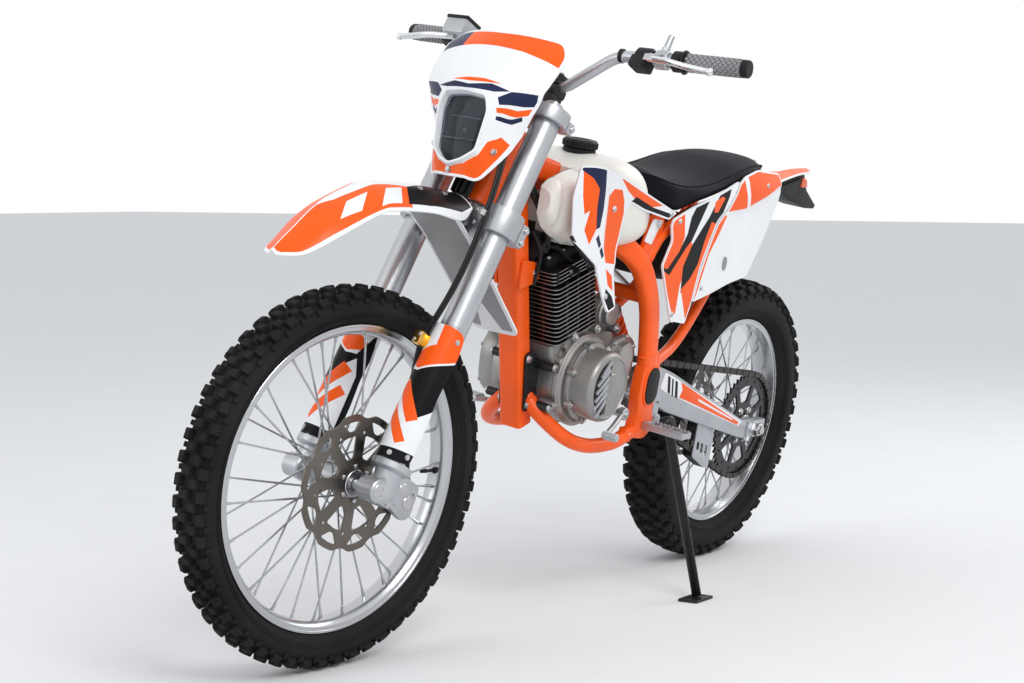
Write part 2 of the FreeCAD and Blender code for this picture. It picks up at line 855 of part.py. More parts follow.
def engine_cases():
    half = size("crankcase_half")
    crank = Vector(size("crank_ahead"), 0, size("crank_height"))
    drum = rod(crank - Y_AXIS * half, crank + Y_AXIS * half, 92)
    top = size("gearbox_top")
    gearbox_outline = [(622, 440), (700, 410), (760, 412), (770, 590), (718, top), (646, top), (622, 575)]
    gearbox = side_slab(gearbox_outline, -half, size("gearbox_left"), 16)
    front_outline = [(740, 412), (796, 412), (836, 450), (838, 545), (800, 592), (735, 590)]
    front = side_slab(front_outline, -half + 8, half - 8, 20)
    deck = tilted(block((-58, 84), (-62, 62), (60, size("fins_start") - size("seat_gap"))))
    whole = fused(drum, gearbox, front, deck)
    return whole.cut(chain_space(6, size("gearbox_left"), half + 1))


def cylinder():
    """Barrel with square cooling fins round it."""
    start = size("fins_start")
    height = size("fin_count") * size("fin_pitch")
    middle = size("fin_length") / 2 - 61
    barrel = rod(Vector(middle, 0, start), Vector(middle, 0, start + height), size("barrel_radius"))
    fins = []
    for index in range(int(size("fin_count"))):
        low = start + index * size("fin_pitch")
        fins.append(
            block(
                (middle - size("fin_length") / 2, middle + size("fin_length") / 2),
                (-size("fin_half_width"), size("fin_half_width")),
                (low, low + size("fin_thickness")),
            )
        )
    return tilted(barrel.multiFuse(fins))


HEAD_PORT_LIFT = 20.5


def cylinder_head():
    """Finned head with its cover, front lug and both ports."""
    start = size("fins_start") + size("fin_count") * size("fin_pitch") + size("seat_gap")
    middle = size("fin_length") / 2 - 61
    half = size("fin_length") / 2
    core = block((middle - half + 16, middle + half - 12), (-58, 58), (start, start + 27))
    fins = []
    for index in range(4):
        low = start + index * size("head_fin_pitch") * 0.9
        fins.append(block((middle - half + 6, middle + half), (-70, 70), (low, low + size("fin_thickness"))))
    cover = block((middle - 52, middle + 56), (-46, 46), (start + 26, start + 50))
    lug = block((middle + half - 14, middle + half + 11), (-23.7, 23.7), (start + 2, start + 24))
    port = HEAD_PORT_LIFT + start
    outlet = rod(Vector(middle + half - 14, -54, port), Vector(middle + half + 8, -54, port), 20)
    inlet = rod(Vector(middle - half - 12, 10, port), Vector(middle - half + 20, 10, port), 20)
    return tilted(fused(core, cover, lug, outlet, inlet, *fins))


def cover_ribs(crank, face, radius):
    """Slanting ribs over the front half of the round cover."""
    ribs = []
    thickness = size("cover_rib_thickness")
    for index in range(int(size("cover_rib_count"))):
        place = (index - 1) * size("cover_rib_pitch")
        rib = Part.makeBox(thickness, 3, radius * 2, Vector(place, -0.5, -radius))
        ribs.append(rib)
    slant = Placement(Vector(crank.x, face, crank.z), Rotation(Y_AXIS, 35))
    ribs = Part.makeCompound(ribs).transformed(slant.toMatrix(), True)
    round_limit = rod(crank + Y_AXIS * (face - 4), crank + Y_AXIS * (face + 4), radius - 13)
    return ribs.common(round_limit).Solids


def engine_covers():
    half = size("crankcase_half") + size("seat_gap")
    crank = Vector(size("crank_ahead"), 0, size("crank_height"))
    radius = size("stator_radius")
    face = size("stator_face")
    flange = rod(crank + Y_AXIS * half, crank + Y_AXIS * (half + 10), radius + 6)
    drum = rod(crank + Y_AXIS * half, crank + Y_AXIS * (face - 8), radius)
    dome = Part.makeCone(radius, radius - 12, 8, crank + Y_AXIS * (face - 8), Y_AXIS)
    stator = fused(flange, drum, dome, *cover_ribs(crank, face, radius))
    sprocket_outline = [(606, 520), (610, 572), (640, 592), (690, 584), (716, 560), (700, 480), (645, 464), (608, 476)]
    raised_outline = [(636, 520), (638, 566), (656, 582), (690, 576), (706, 556), (694, 490), (654, 478)]
    sprocket = fused(side_slab(sprocket_outline, half, 102, 24), side_slab(raised_outline, 98, 118, 20))
    sprocket = sprocket.cut(rod(crank, crank + Y_AXIS * 200, radius + 6 + size("seat_gap")))
    clutch_outline = [(640, 470), (648, 560), (715, 590), (800, 582), (842, 535), (834, 452), (780, 418), (680, 424)]
    clutch = side_slab(clutch_outline, -half - 40, -half, 30)
    motor_radius = 30
    low = Vector(682, -30, size("gearbox_top") + size("seat_gap") + motor_radius)
    starter = rod(low, low + Y_AXIS * 110, motor_radius)
    return Part.makeCompound([stator, sprocket, clutch, starter])


def engine_mounts():
    """Two plates that bolt the crankcase to the downtube."""
    half = size("downtube_width") / 2 + size("seat_gap")
    outline = [on_downtube(4, 545), (868, 548), (842, 520), (838, 440), on_downtube(4, 428), on_downtube(17, 462)]
    plate = side_slab(outline, half, half + 6, 10)
    plate = plate.cut(CASES).cut(FRONT_FRAME)
    plate = max(plate.Solids, key=lambda solid: solid.Volume)
    return both_sides(plate)


CASES = engine_cases()
add("engine_cases", CASES, "chassis")
add("cylinder", cylinder(), "chassis")
add("cylinder_head", cylinder_head(), "chassis")
add("engine_covers", engine_covers(), "chassis")
add("engine_mounts", engine_mounts(), "chassis")


def intake():
    """Carburettor, boot and airbox behind the cylinder."""
    start = size("fins_start") + size("fin_count") * size("fin_pitch") + size("seat_gap")
    port = crank_point(-61 - 12 - size("seat_gap"), 10, start + HEAD_PORT_LIFT)
    carburettor_end = crank_point(-61 - 62, 10, start + HEAD_PORT_LIFT)
    throat = rod(port, carburettor_end, 24)
    bowl = block((port.x - 46, port.x - 12), (-14, 34), (port.z - 52, port.z))
    boot_end = crank_point(-61 - 100, 12, start + HEAD_PORT_LIFT)
    boot = tube_along([carburettor_end, boot_end, Vector(548, 24, 766)], 24)
    airbox = side_slab([(555, 700), (552, 800), (500, 828), (372, 828), (385, 720), (440, 690)], -78, 78, 16)
    return fused(throat, bowl, boot, airbox)


SILENCER_START = Vector(449, -190, 665)
SILENCER_END = Vector(80, -198, 800)


def exhaust_line():
    """Route of the header: out of the head, across, down and back into the silencer."""
    start = size("fins_start") + size("fin_count") * size("fin_pitch") + size("seat_gap")
    back = (SILENCER_START - SILENCER_END).normalize()
    return [
        crank_point(85 + 8 + size("seat_gap"), -54, start + HEAD_PORT_LIFT),
        crank_point(85 + 40, -54, start + HEAD_PORT_LIFT),
        Vector(948, -104, 668),
        Vector(892, -140, 628),
        Vector(790, -158, 612),
        Vector(680, -176, 604),
        SILENCER_START + back * 110,
        SILENCER_START + back * size("seat_gap"),
    ]


def silencer():
    along = (SILENCER_END - SILENCER_START).normalize()
    length = (SILENCER_END - SILENCER_START).Length
    cone = Part.makeCone(24, 44, 70, SILENCER_START, along)
    can = Part.makeCylinder(44, length - 100, SILENCER_START + along * 70, along)
    cap = Part.makeCone(44, 30, 30, SILENCER_END - along * 30, along)
    bracket = rod(Vector(340, -164, 676), Vector(340, -82, 634), 7)
    bracket = bracket.cut(seat_strut(-1, size("rail_radius") + size("seat_gap")))
    return fused(cone, can, cap, bracket)


add("intake", intake(), "chassis")
add("exhaust_header", tube_along(exhaust_line(), 19), "chassis")
add("silencer", silencer(), "chassis")

# Bodywork


def tank_sections(extra):
    top = size("tank_top")
    half = size("tank_half_width")
    table = (
        (990, 838, top - 60, half - 50, 16),
        (950, 800, top - 40, half - 42, 24),
        (880, 774, top - 22, half - 30, 32),
        (790, 768, top, half, 40),
        (724, 770, top - 8, half, 40),
        (690, 776, top - 46, half - 8, 36),
        (640, 790, top - 92, half - 30, 30),
    )
    wires = []
    for x, low, high, half_width, radius in table:
        wires.append(plump_section(x, low - extra, high + extra, half_width + extra, radius))
    return Part.makeLoft(wires, True, False)


def fuel_tank():
    """Tank over the backbone, with a nose on either side of the head tube."""
    half = size("tank_half_width")
    tank = tank_sections(0).common(block((600, 1000), (-half, half), (700, size("tank_top"))))
    gap = size("seat_gap")
    inside = size("tunnel_half_width")
    rear = BACKBONE_REAR + (BACKBONE_REAR - BACKBONE_FRONT) * 0.87
    tunnel = bar_along([BACKBONE_FRONT, rear], inside * 2, size("backbone_depth") + 2 * gap)
    across = (-inside, inside)
    tank = tank.cut(tunnel).cut(block((600, 900), across, (700, 790)))
    tank = tank.cut(block((600, 770), across, (700, 818)))
    tank = tank.cut(block((892, 1000), across, (700, size("tank_top"))))
    for side in (-1, 1):
        tank = tank.cut(spar_bar(side, 2 * gap + 4))
    return tank


def tank_cap():
    base = Vector(790, 0, size("tank_top") + size("seat_gap"))
    neck = rod(base, base + Z_AXIS * 8, 30)
    grip = rod(base + Z_AXIS * 8, base + Z_AXIS * 24, 35)
    return fused(neck, grip).cut(tank_sections(size("seat_gap")))


def side_sheet(profile, wall):
    """Long sheet beside the bike: its outline across the bike is an arc between two straight ends."""
    start, bend, end, low = [Vector(0, y, z) for y, z in profile]
    edges = [Part.LineSegment(start, bend), Part.Arc(bend, end, low)]
    out = Y_AXIS * wall
    edges += [Part.LineSegment(low, low + out), Part.Arc(low + out, end + out, bend + out)]
    edges += [Part.LineSegment(bend + out, start + out), Part.LineSegment(start + out, start)]
    face = Part.Face(Part.Wire([edge.toShape() for edge in edges]))
    return face.extrude(X_AXIS * size("wheelbase"))


def shaped_panel(outline, sheet, radius):
    """Piece of a bowed sheet inside an outline seen from the side."""
    return sheet.common(side_slab(outline, 0, 2 * size("tank_half_width"), radius))


def shrouds():
    """Flared panels beside the tank, each with a tail that runs back under the seat."""
    inside = size("tank_half_width") + size("seat_gap")
    sheet = side_sheet([(inside, 960), (inside, 800), (inside + 5, 732), (inside + 19, 640)], size("panel_wall"))
    outline = [
        (885, 940), (962, 942), (968, 880), (956, 799), (907, 765), (884, 752), (849, 683), (832, 658),
        (803, 667), (816, 741), (803, 790), (797, 850), (779, 872), (724, 856), (618, 836), (590, 850),
        (729, 893), (830, 925),
    ]
    panel = shaped_panel(outline, sheet, 8)
    boss = rod(Vector(838, 92, 860), Vector(838, inside + 1, 860), 12)
    return both_sides(fused(panel, boss.cut(tank_sections(size("seat_gap")))))


def seat():
    """Plain body of the seat: its top dips in the middle, its sides drop over the frame."""
    high = size("seat_high")
    low = size("seat_low")
    half = size("seat_half_width")
    table = (
        (704, 908, low + 23, 58, 12),
        (650, 872, low + 20, half - 28, 16),
        (575, 850, low + 4, half, 20),
        (500, 866, low, half, 20),
        (400, 884, low + 10, half - 4, 18),
        (290, 908, high - 8, half - 12, 18),
        (200, 926, high, half - 26, 14),
        (128, 934, high - 4, half - 52, 10),
    )
    wires = []
    for x, bottom, top, half_width, radius in table:
        wires.append(plump_section(x, bottom, top, half_width, radius))
    parts = [Part.makeLoft(wires, True, False)]
    for x, y, bottom, top in ((430, 90, 840, 900), (200, 74, 870, 940)):
        for side in (-1, 1):
            foot = block((x - 12, x + 12), (side * y - 9, side * y + 9), (bottom, top))
            parts.append(foot.cut(seat_rail(side, size("rail_radius") + size("seat_gap"))))
    body = fused(*parts)
    body = max(body.Solids, key=lambda solid: solid.Volume)
    return body.cut(tank_sections(size("seat_gap")))


def side_panels():
    """Front and rear panels beside the subframe: tucked in under the seat and flared below."""
    inside = size("panel_place")
    wall = size("panel_wall")
    lower = side_sheet([(inside, 890), (inside, 828), (inside + 3, 750), (inside + 12, 610)], wall)
    upper = side_sheet([(inside - 22, 960), (inside - 20, 944), (inside - 6, 914), (inside, 885)], wall)
    sheet = fused(lower, upper)
    front = [
        (600, 838), (531, 861), (453, 881), (350, 911), (334, 915), (376, 862), (415, 829), (461, 737),
        (481, 663), (501, 617), (562, 626), (622, 742), (594, 792), (606, 824),
    ]
    rear = [
        (477, 661), (457, 727), (427, 790), (409, 826), (372, 856), (330, 911), (303, 925), (240, 938),
        (124, 930), (104, 894), (110, 871), (131, 793), (165, 749), (230, 703), (318, 693), (442, 668),
    ]
    panels = [shaped_panel(outline, sheet, 6) for outline in (front, rear)]
    return Part.makeCompound(panels + [mirrored(panel) for panel in panels])


def rear_fender_sections():
    top = size("rear_fender_peak")
    return (
        (124, top, 100, 50),
        (28, top - 6, 80, 33),
        (-83, top - 12, 60, 17),
        (-165, top - 16, 45, 11),
        (-215, top - 21, 22, 5),
    )


def rear_fender():
    shell = arched_shell(rear_fender_sections(), 0, size("skin"))
    rail_top = 894 + size("rail_radius") + size("seat_gap")
    lug = block((90, 110), (-30, 30), (rail_top, size("rear_fender_peak") - 3))
    return fused(shell, lug)


def tail_lamp():
    outline = [(-14, 888), (-60, 908), (-152, 926), (-196, 876), (-275, 837), (-266, 829), (-206, 832), (-110, 850)]
    tail = side_slab(outline, -36, 36, 5)
    return tail.cut(arched_shell(rear_fender_sections(), 40 - size("seat_gap") - size("skin"), 40))


add("fuel_tank", fuel_tank(), "chassis")
add("tank_cap", tank_cap(), "chassis")
add("shrouds", shrouds(), "chassis")
add("seat", seat(), "chassis")
add("side_panels", side_panels(), "chassis")
add("rear_fender", rear_fender(), "chassis")
add("tail_lamp", tail_lamp(), "chassis")

# Rear suspension and drive

def chain():
    """Closed run of links on the pitch line, wide outer links and narrow inner ones by turns."""
    line = belt_face(0).OuterWire
    links = 2 * round(line.Length / size("chain_pitch") / 2)
    pins = line.discretize(links + 1)[:-1]
    place = size("chain_place")
    wide = size("chain_width") / 2
    narrow = size("inner_link_width") / 2
    rises = []
    for index, pin in enumerate(pins):
        along = pins[(index + 1) % links] - pins[index - 1]
        rises.append(along.cross(Y_AXIS).normalize() * size("chain_half_height"))

    def corner(index, side, level):
        return pins[index % links] + rises[index % links] * level + Y_AXIS * (place + side)

    faces = []
    for index in range(links):
        outer_link = index % 2 == 0
        half = wide if outer_link else narrow
        across = [-wide, -narrow, narrow, wide] if outer_link else [-narrow, narrow]
        for level in (-1, 1):
            near = [corner(index, side, level) for side in across]
            far = [corner(index + 1, side, level) for side in reversed(across)]
            faces.append(flat_face(near + far))
        for way in (-1, 1):
            spots = ((index, -1), (index, 1), (index + 1, 1), (index + 1, -1))
            faces.append(flat_face([corner(spot, way * half, level) for spot, level in spots]))
            step = ((narrow, -1), (wide, -1), (wide, 1), (narrow, 1))
            faces.append(flat_face([corner(index, way * side, level) for side, level in step]))
    return closed_solid(faces)


def drive_sprocket():
    flat = math.cos(math.pi / size("front_teeth"))
    radius = (PITCH_RADIUS_FRONT - size("chain_half_height")) * flat - size("seat_gap")
    start = size("gearbox_left") + size("seat_gap")
    end = size("chain_place") + size("sprocket_thickness") / 2
    return rod(DRIVE_SHAFT + Y_AXIS * start, DRIVE_SHAFT + Y_AXIS * end, radius)


def swingarm():
    """Two tapered arms, pivot tube, cross-member and the rear axle clamped in their ends."""
    inside = size("arm_inside")
    outside = inside + size("arm_wall")
    axle_z = REAR_AXLE.z
    outline = [
        (600, 506), (540, 522), (430, 496), (60, axle_z + 25), (-42, axle_z + 18),
        (-46, axle_z - 16), (50, axle_z - 20), (430, 408), (540, 450), (600, 468),
    ]
    arm = side_slab(outline, inside, outside, 12)
    pivot = Vector(size("pivot_ahead"), 0, size("pivot_height"))
    tube = rod(pivot - Y_AXIS * inside, pivot + Y_AXIS * inside, 20)
    member = block((445, 495), (-inside, inside), (434, 478))
    axle = rod(REAR_AXLE - Y_AXIS * 128, REAR_AXLE + Y_AXIS * 128, size("axle_radius"))
    nuts = rod(REAR_AXLE - Y_AXIS * 122, REAR_AXLE + Y_AXIS * 122, 16)
    nuts = nuts.cut(block((-40, 40), (-outside + 1, outside - 1), (axle_z - 40, axle_z + 40)))
    face = STAND_PIVOT - STAND_AXIS * (size("stand_eye_half") + size("pin_gap"))
    boss = rod(face, face - STAND_AXIS * 34, 14)
    web = block((STAND_PIVOT.x - 12, STAND_PIVOT.x + 12), (inside + 2, outside), (378, 440))
    whole = fused(arm, mirrored(arm), tube, member, axle, nuts, boss, web)
    bolt_hole = rod(pivot - Y_AXIS * 200, pivot + Y_AXIS * 200, 9 + size("slide_gap"))
    return whole.cut(bolt_hole)


def rear_shock():
    low = Vector(470, 0, 478 + size("seat_gap") + 14)
    high = Vector(597, 0, 653 - size("seat_gap") - 14)
    eyes = [rod(place - Y_AXIS * 16, place + Y_AXIS * 16, 14) for place in (low, high)]
    along = (high - low).normalize()
    body = rod(low, high, 12)
    spring = rod(low + along * 26, high - along * 34, 32)
    return fused(body, spring, *eyes)


def chain_guide():
    """Channel round the chain's lower run, bolted inside the left arm."""
    place = size("chain_place")
    outer = size("arm_inside") - size("seat_gap")
    inner = place - (outer - place)
    outline = [(152, 246), (236, 280), (236, 392), (206, 392), (152, 330)]
    channel = side_slab(outline, inner, outer, 6)
    hollow = side_slab([(140, 262), (250, 307), (250, 420), (140, 420)], inner + 3.5, outer - 3.5, 2)
    return channel.cut(hollow).cut(chain_space(2, inner + 3.5, outer - 3.5))


def rear_caliper():
    """Caliper over the rear disc on a bracket from the right arm."""
    place = -size("rear_disc_place")
    arm = -size("arm_inside") + size("seat_gap")
    body = side_slab([(28, 408), (62, 446), (112, 410), (90, 362)], arm, place + 26, 10)
    bracket = side_slab([(34, 330), (34, 410), (90, 410), (100, 330)], arm, arm + 8, 10)
    slot = rod(
        REAR_AXLE + Y_AXIS * (place - half_disc - 3),
        REAR_AXLE + Y_AXIS * (place + half_disc + 3),
        size("rear_disc_radius") + 5,
    )
    return fused(body, bracket).cut(slot)


add("chain", chain(), "chassis")
add("drive_sprocket", drive_sprocket(), "chassis")
add("swingarm", swingarm(), "chassis")
add("rear_shock", rear_shock(), "chassis")
add("chain_guide", chain_guide(), "chassis")
add("rear_caliper", rear_caliper(), "chassis")

# Foot controls


def footpegs():
    outside = size("pivot_plate_inside") + size("pivot_plate_wall") + size("seat_gap")
    peg = block((546, 586), (outside, outside + 100), (392, 412))
    return both_sides(peg)


def foot_controls():
    """Gear lever on the left and brake pedal on the right."""
    case = size("crankcase_half") + size("seat_gap")
    shaft = Vector(655, case, 432)
    hub = rod(Vector(655, size("gearbox_left") + size("seat_gap"), 432), shaft + Y_AXIS * 48, 8)
    lever = tube_along([Vector(655, 126, 432), Vector(705, 140, 418), Vector(769, 160, 407)], 6)
    peg = rod(Vector(769, 154, 407), Vector(769, 188, 407), 9)
    outside = -(size("pivot_plate_inside") + size("pivot_plate_wall") + size("seat_gap"))
    pivot = rod(Vector(593, outside, 411), Vector(593, outside - 24, 411), 11)
    pedal = tube_along([Vector(593, outside - 16, 411), Vector(680, -158, 388), Vector(772, -166, 400)], 7)
    pad = block((750, 784), (-184, -150), (400, 412))
    return Part.makeCompound([fused(hub, lever, peg), fused(pivot, pedal, pad)])


add("foot_controls", Part.makeCompound([footpegs(), foot_controls()]), "chassis")

# Front end, drawn in the fork frame


def fork_leg(low, high, radius):
    ahead = size("tube_offset")
    side = size("fork_half_spacing")
    return rod(Vector(ahead, side, low), Vector(ahead, side, high), radius)


def fork_tubes():
    tube = fork_leg(size("fork_tube_bottom"), size("fork_tube_top"), size("fork_tube_radius"))
    cap = fork_leg(size("fork_tube_top") - 1, size("fork_tube_top") + 8, 17)
    return both_sides(fused(tube, cap))


def fork_lowers():
    """Stanchions with their cast feet, joined by the front axle."""
    side = size("fork_half_spacing")
    ahead = size("tube_offset")
    bottom = size("stanchion_bottom")
    leg = fork_leg(bottom, size("fork_tube_bottom") - size("seat_gap"), size("stanchion_radius"))
    collar = fork_leg(bottom - 8, bottom + 4, size("guard_radius"))
    foot = fork_leg(FRONT_AXLE_UP, bottom, size("foot_radius"))
    axle = Vector(FRONT_AXLE_AHEAD, 0, FRONT_AXLE_UP)
    lug = rod(axle + Y_AXIS * (side - 22), axle + Y_AXIS * (side + 20), 22)
    heel = block((ahead - 18, FRONT_AXLE_AHEAD), (side - 20, side + 20), (FRONT_AXLE_UP - 18, FRONT_AXLE_UP + 30))
    half = fused(leg, collar, foot, lug, heel)
    shaft = rod(axle - Y_AXIS * (side + 4), axle + Y_AXIS * (side + 4), size("axle_radius"))
    return fused(half, mirrored(half), shaft)


def fork_guards():
    """Half shells in front of the stanchions, standing on the collars of the feet."""
    low = size("stanchion_bottom") + 4 + size("seat_gap")
    high = size("guard_top")
    radius = size("guard_radius")
    shell = fork_leg(low, high, radius).cut(fork_leg(low - 1, high + 1, radius - size("guard_wall")))
    ahead = size("tube_offset")
    side = size("fork_half_spacing")
    rear = block((ahead - 60, ahead - 6), (side - 60, side + 60), (low - 5, high + 5))
    return both_sides(shell.cut(rear))


def clamp(low, height):
    """One fork clamp: rings round both tubes and a bridge over the stem."""
    side = size("fork_half_spacing")
    ahead = size("tube_offset")
    radius = size("fork_tube_radius")
    ring = fork_leg(low, low + height, radius + size("clamp_wall"))
    step = size("clamp_step")
    bridge = block((-24, ahead + size("bridge_ahead")), (-side, side), (low + step, low + height - step))
    whole = fused(ring, mirrored(ring), bridge)
    bore = fork_leg(low - 1, low + height + 1, radius + size("slide_gap"))
    return whole.cut(bore).cut(mirrored(bore))


def fork_clamps():
    lower = clamp(size("lower_clamp_bottom"), size("lower_clamp_height"))
    upper = clamp(size("upper_clamp_bottom"), size("upper_clamp_height"))
    stem = rod(
        Vector(0, 0, size("lower_clamp_bottom") + size("clamp_step")),
        Vector(0, 0, size("upper_clamp_bottom") + size("upper_clamp_height") + 8),
        size("stem_radius"),
    )
    return fused(lower, upper, stem)


BAR_TIP = Vector(-60, size("bar_half_width"), 1314)


def bar_line():
    """The bar's right half seen from the middle out, mirrored for the other side."""
    half = [Vector(-20, 66, 1214), Vector(-16, 160, 1290), BAR_TIP]
    other = [Vector(point.x, -point.y, point.z) for point in reversed(half)]
    return other + half


def grip_axis():
    bend = bar_line()[-2]
    return (BAR_TIP - bend).normalize()


def handlebar():
    tube = tube_along(bar_line(), size("bar_radius"), 70)
    top = size("upper_clamp_bottom") + size("upper_clamp_height") - size("clamp_step")
    post = block((-38, -2), (34, 60), (top + size("seat_gap"), 1234))
    return fused(tube, post, mirrored(post))


def on_bar(distance, length, radius, bore):
    """Sleeve on the bar's straight end, measured back from its tip."""
    along = grip_axis()
    start = BAR_TIP - along * distance
    return sleeve(start, start + along * length, radius, bore)


def grips():
    bore = size("bar_radius") + size("slide_gap")
    length = size("grip_length")
    grip = on_bar(length, length + 3, size("grip_radius"), bore)
    collar = on_bar(length, 5, size("grip_radius") + 6, bore)
    along = grip_axis()
    end = rod(BAR_TIP + along * size("seat_gap"), BAR_TIP + along * 5, size("grip_radius"))
    grip = fused(grip, collar, end)
    return both_sides(grip)


def control_levers():
    """Lever perches clamped on the bar, with the brake reservoir on the right."""
    bore = size("bar_radius") + size("slide_gap")
    ring = on_bar(182, 26, 18, bore)
    along = grip_axis()
    root = BAR_TIP - along * 169
    pivot = root + Vector(34, 0, -16)
    arm = rod(root + Vector(15, 0, -6.6), pivot, 8)
    tip = BAR_TIP + Vector(34, -40, -44)
    bend = pivot + Vector(12, 50, -8)
    lever = tube_along([pivot - Y_AXIS * 8, bend, tip], 5)
    knob = Part.makeSphere(7.5, tip)
    pot = rod(root + Vector(34, -14, -8), root + Vector(34, -14, 28), 18)
    left = fused(ring, arm, lever, knob)
    right = mirrored(fused(ring, arm, lever, knob, pot))
    return Part.makeCompound([left, right])


def plate_section(up, middle, sides, half_width, thickness):
    """Closed band across the front of the fork at one height."""
    outer = Part.Arc(Vector(sides, -half_width, up), Vector(middle, 0, up), Vector(sides, half_width, up))
    left = Part.LineSegment(Vector(sides, half_width, up), Vector(sides - thickness, half_width, up))
    inner = Part.Arc(
        Vector(sides - thickness, half_width, up),
        Vector(middle - thickness, 0, up),
        Vector(sides - thickness, -half_width, up),
    )
    right = Part.LineSegment(Vector(sides - thickness, -half_width, up), Vector(sides, -half_width, up))
    return Part.Wire([part.toShape() for part in (outer, left, inner, right)])


BRIDGE_FACE = size("tube_offset") + size("bridge_ahead") + size("seat_gap")


def number_plate():
    """Mask in front of the fork with the lamp's opening, on two posts from the upper clamp."""
    skin = size("skin")
    table = (
        (962, 104, 92, 50),
        (1000, 122, 96, 72),
        (1060, 142, 94, 108),
        (1124, 148, 92, 138),
        (1190, 132, 94, 134),
        (1232, 118, 96, 104),
    )
    wires = [plate_section(up, middle, sides, half, skin) for up, middle, sides, half in table]
    shell = Part.makeLoft(wires, True, False).cut(lamp_prism(40, 220, 2))
    post = rod(Vector(BRIDGE_FACE, 36, 1132), Vector(143, 36, 1132), 8)
    return fused(shell, post, mirrored(post))


def lamp_prism(start, end, extra):
    """Six-sided lamp body seen from the front."""
    outline = [(-46, 1092), (46, 1092), (58, 1050), (34, 992), (-34, 992), (-58, 1050)]
    centre_up = 1044
    points = []
    for side, up in outline:
        away = Vector(0, side, up - centre_up)
        scale = (away.Length + extra) / away.Length
        points.append(Vector(start, side * scale, centre_up + (up - centre_up) * scale))
    return Part.Face(rounded_outline(points, 8)).extrude(X_AXIS * (end - start))


def headlamp():
    """Lamp body on a foot from the lower clamp."""
    leg = block((BRIDGE_FACE, 56), (-20, 20), (896, 1020))
    return fused(lamp_prism(54, 132, 0), leg)


def front_fender():
    """Pointed blade over the wheel with a flap behind the fork, drawn upright."""
    peak = size("front_fender_peak")
    axle = size("wheelbase")
    table = (
        (-232, peak - 17, 52, 22),
        (-188, peak - 11, 70, 48),
        (-112, peak - 2, 74, 44),
        (-21, peak, 74, 43),
        (22, peak - 10, 70, 41),
        (105, peak - 46, 62, 44),
        (168, peak - 97, 38, 22),
        (200, peak - 125, 12, 4),
    )
    sections = [(axle + ahead, top, half, drop) for ahead, top, half, drop in table]
    shell = arched_shell(sections, 0, size("skin"))
    flap_line = ((-160, 866, 29, 4), (-166, 850, 53, 8), (-180, 830, 66, 12), (-232, 782, 62, 10))
    flap_line += ((-302, 706, 62, 8), (-394, 602, 60, 6))
    bands = [flap_section(axle + ahead, height, half, bow) for ahead, height, half, bow in flap_line]
    flap = Part.makeLoft(bands, True, True)
    top = size("lower_clamp_bottom") + size("clamp_step") - size("seat_gap")
    boss = rod(fork_point(8, 0, top), fork_point(8, 0, 838), 20)
    return fused(shell, flap, boss)


def flap_section(x, z, half_width, bow):
    """Level band across the sloping flap, bowed towards the front."""
    wall = X_AXIS * (size("skin") * math.sqrt(2))
    ends = [Vector(x, -half_width, z), Vector(x + bow, 0, z), Vector(x, half_width, z)]
    back = [point + wall for point in ends]
    edges = [
        Part.Arc(*ends),
        Part.LineSegment(ends[2], back[2]),
        Part.Arc(back[2], back[1], back[0]),
        Part.LineSegment(back[0], ends[0]),
    ]
    return Part.Wire([edge.toShape() for edge in edges])


def front_caliper():
    """Caliper behind the left leg, over the disc, on an arm from the foot."""
    place = size("front_disc_place")
    axle = Vector(FRONT_AXLE_AHEAD, 0, FRONT_AXLE_UP)
    side = size("fork_half_spacing")
    inner = side - 20 - size("seat_gap")
    body = block((-104, -44), (place - 16, place + 22), (364, 420))
    arm = block((-60, size("tube_offset")), (place + 12, inner), (372, 398))
    arm = arm.cut(fork_leg(350, 450, size("foot_radius") + size("seat_gap")))
    slot = rod(
        axle + Y_AXIS * (place - half_disc - 3),
        axle + Y_AXIS * (place + half_disc + 3),
        size("front_disc_radius") + 5,
    )
    return fused(body, arm).cut(slot)


add("fork_tubes", fork_tubes(), "steering")
add("fork_lowers", fork_lowers(), "steering")
add("fork_guards", fork_guards(), "steering")
add("fork_clamps", fork_clamps(), "steering")
add("handlebar", handlebar(), "steering")
add("grips", grips(), "steering")
add("control_levers", control_levers(), "steering")
add("number_plate", number_plate(), "steering")
add("headlamp", headlamp(), "steering")
add("front_fender", front_fender(), "steering_upright")
add("front_caliper", front_caliper(), "steering")


def hose(label, points, radius):
    """Hose along its route, with its arcs printed and its volume compared."""
    path, radii = arc_path(points)
    tube = tube_along(points, radius)
    expected = math.pi * radius * radius * path.Length
    print(label, "radii", [round(value, 1) for value in radii], "volume ratio", round(tube.Volume / expected, 4))
    return tube


BRAKE_HOSE_ROUTE = [
    Vector(BRIDGE_FACE, 58, 1132),
    Vector(66, 58, 1132),
    Vector(72, 72, 1060),
    Vector(72, 84, 1000),
    Vector(70, 93, 940),
    Vector(68, 97, 880),
    Vector(66, 99, 820),
    Vector(67, 97, 760),
    Vector(67, 90, 708),
    Vector(56, 68, 660),
    Vector(28, 52, 610),
    Vector(-6, 47, 560),
    Vector(-34, 49, 510),
    Vector(-58, 53, 462),
    Vector(-70, 58, 421.6),
]

add("brake_hose", hose("brake hose", BRAKE_HOSE_ROUTE, 4), "steering")

# Side stand


def side_stand():
    """Leg, pivot eye square to the hinge and a flat foot that lies on the ground."""
    foot = foot_on_ground()
    up = PARKED.Rotation.inverted().multVec(Z_AXIS)
    half = size("stand_eye_half")
    leg = rod(STAND_PIVOT, foot + up * 8, size("stand_leg_radius"))
    eye = rod(STAND_PIVOT - STAND_AXIS * half, STAND_PIVOT + STAND_AXIS * half, 15)
    sole = Part.makeBox(70, 44, 6, Vector(-30, -22, 0))
    sole.Placement = Placement(foot, PARKED.Rotation.inverted())
    return fused(leg, eye, sole)


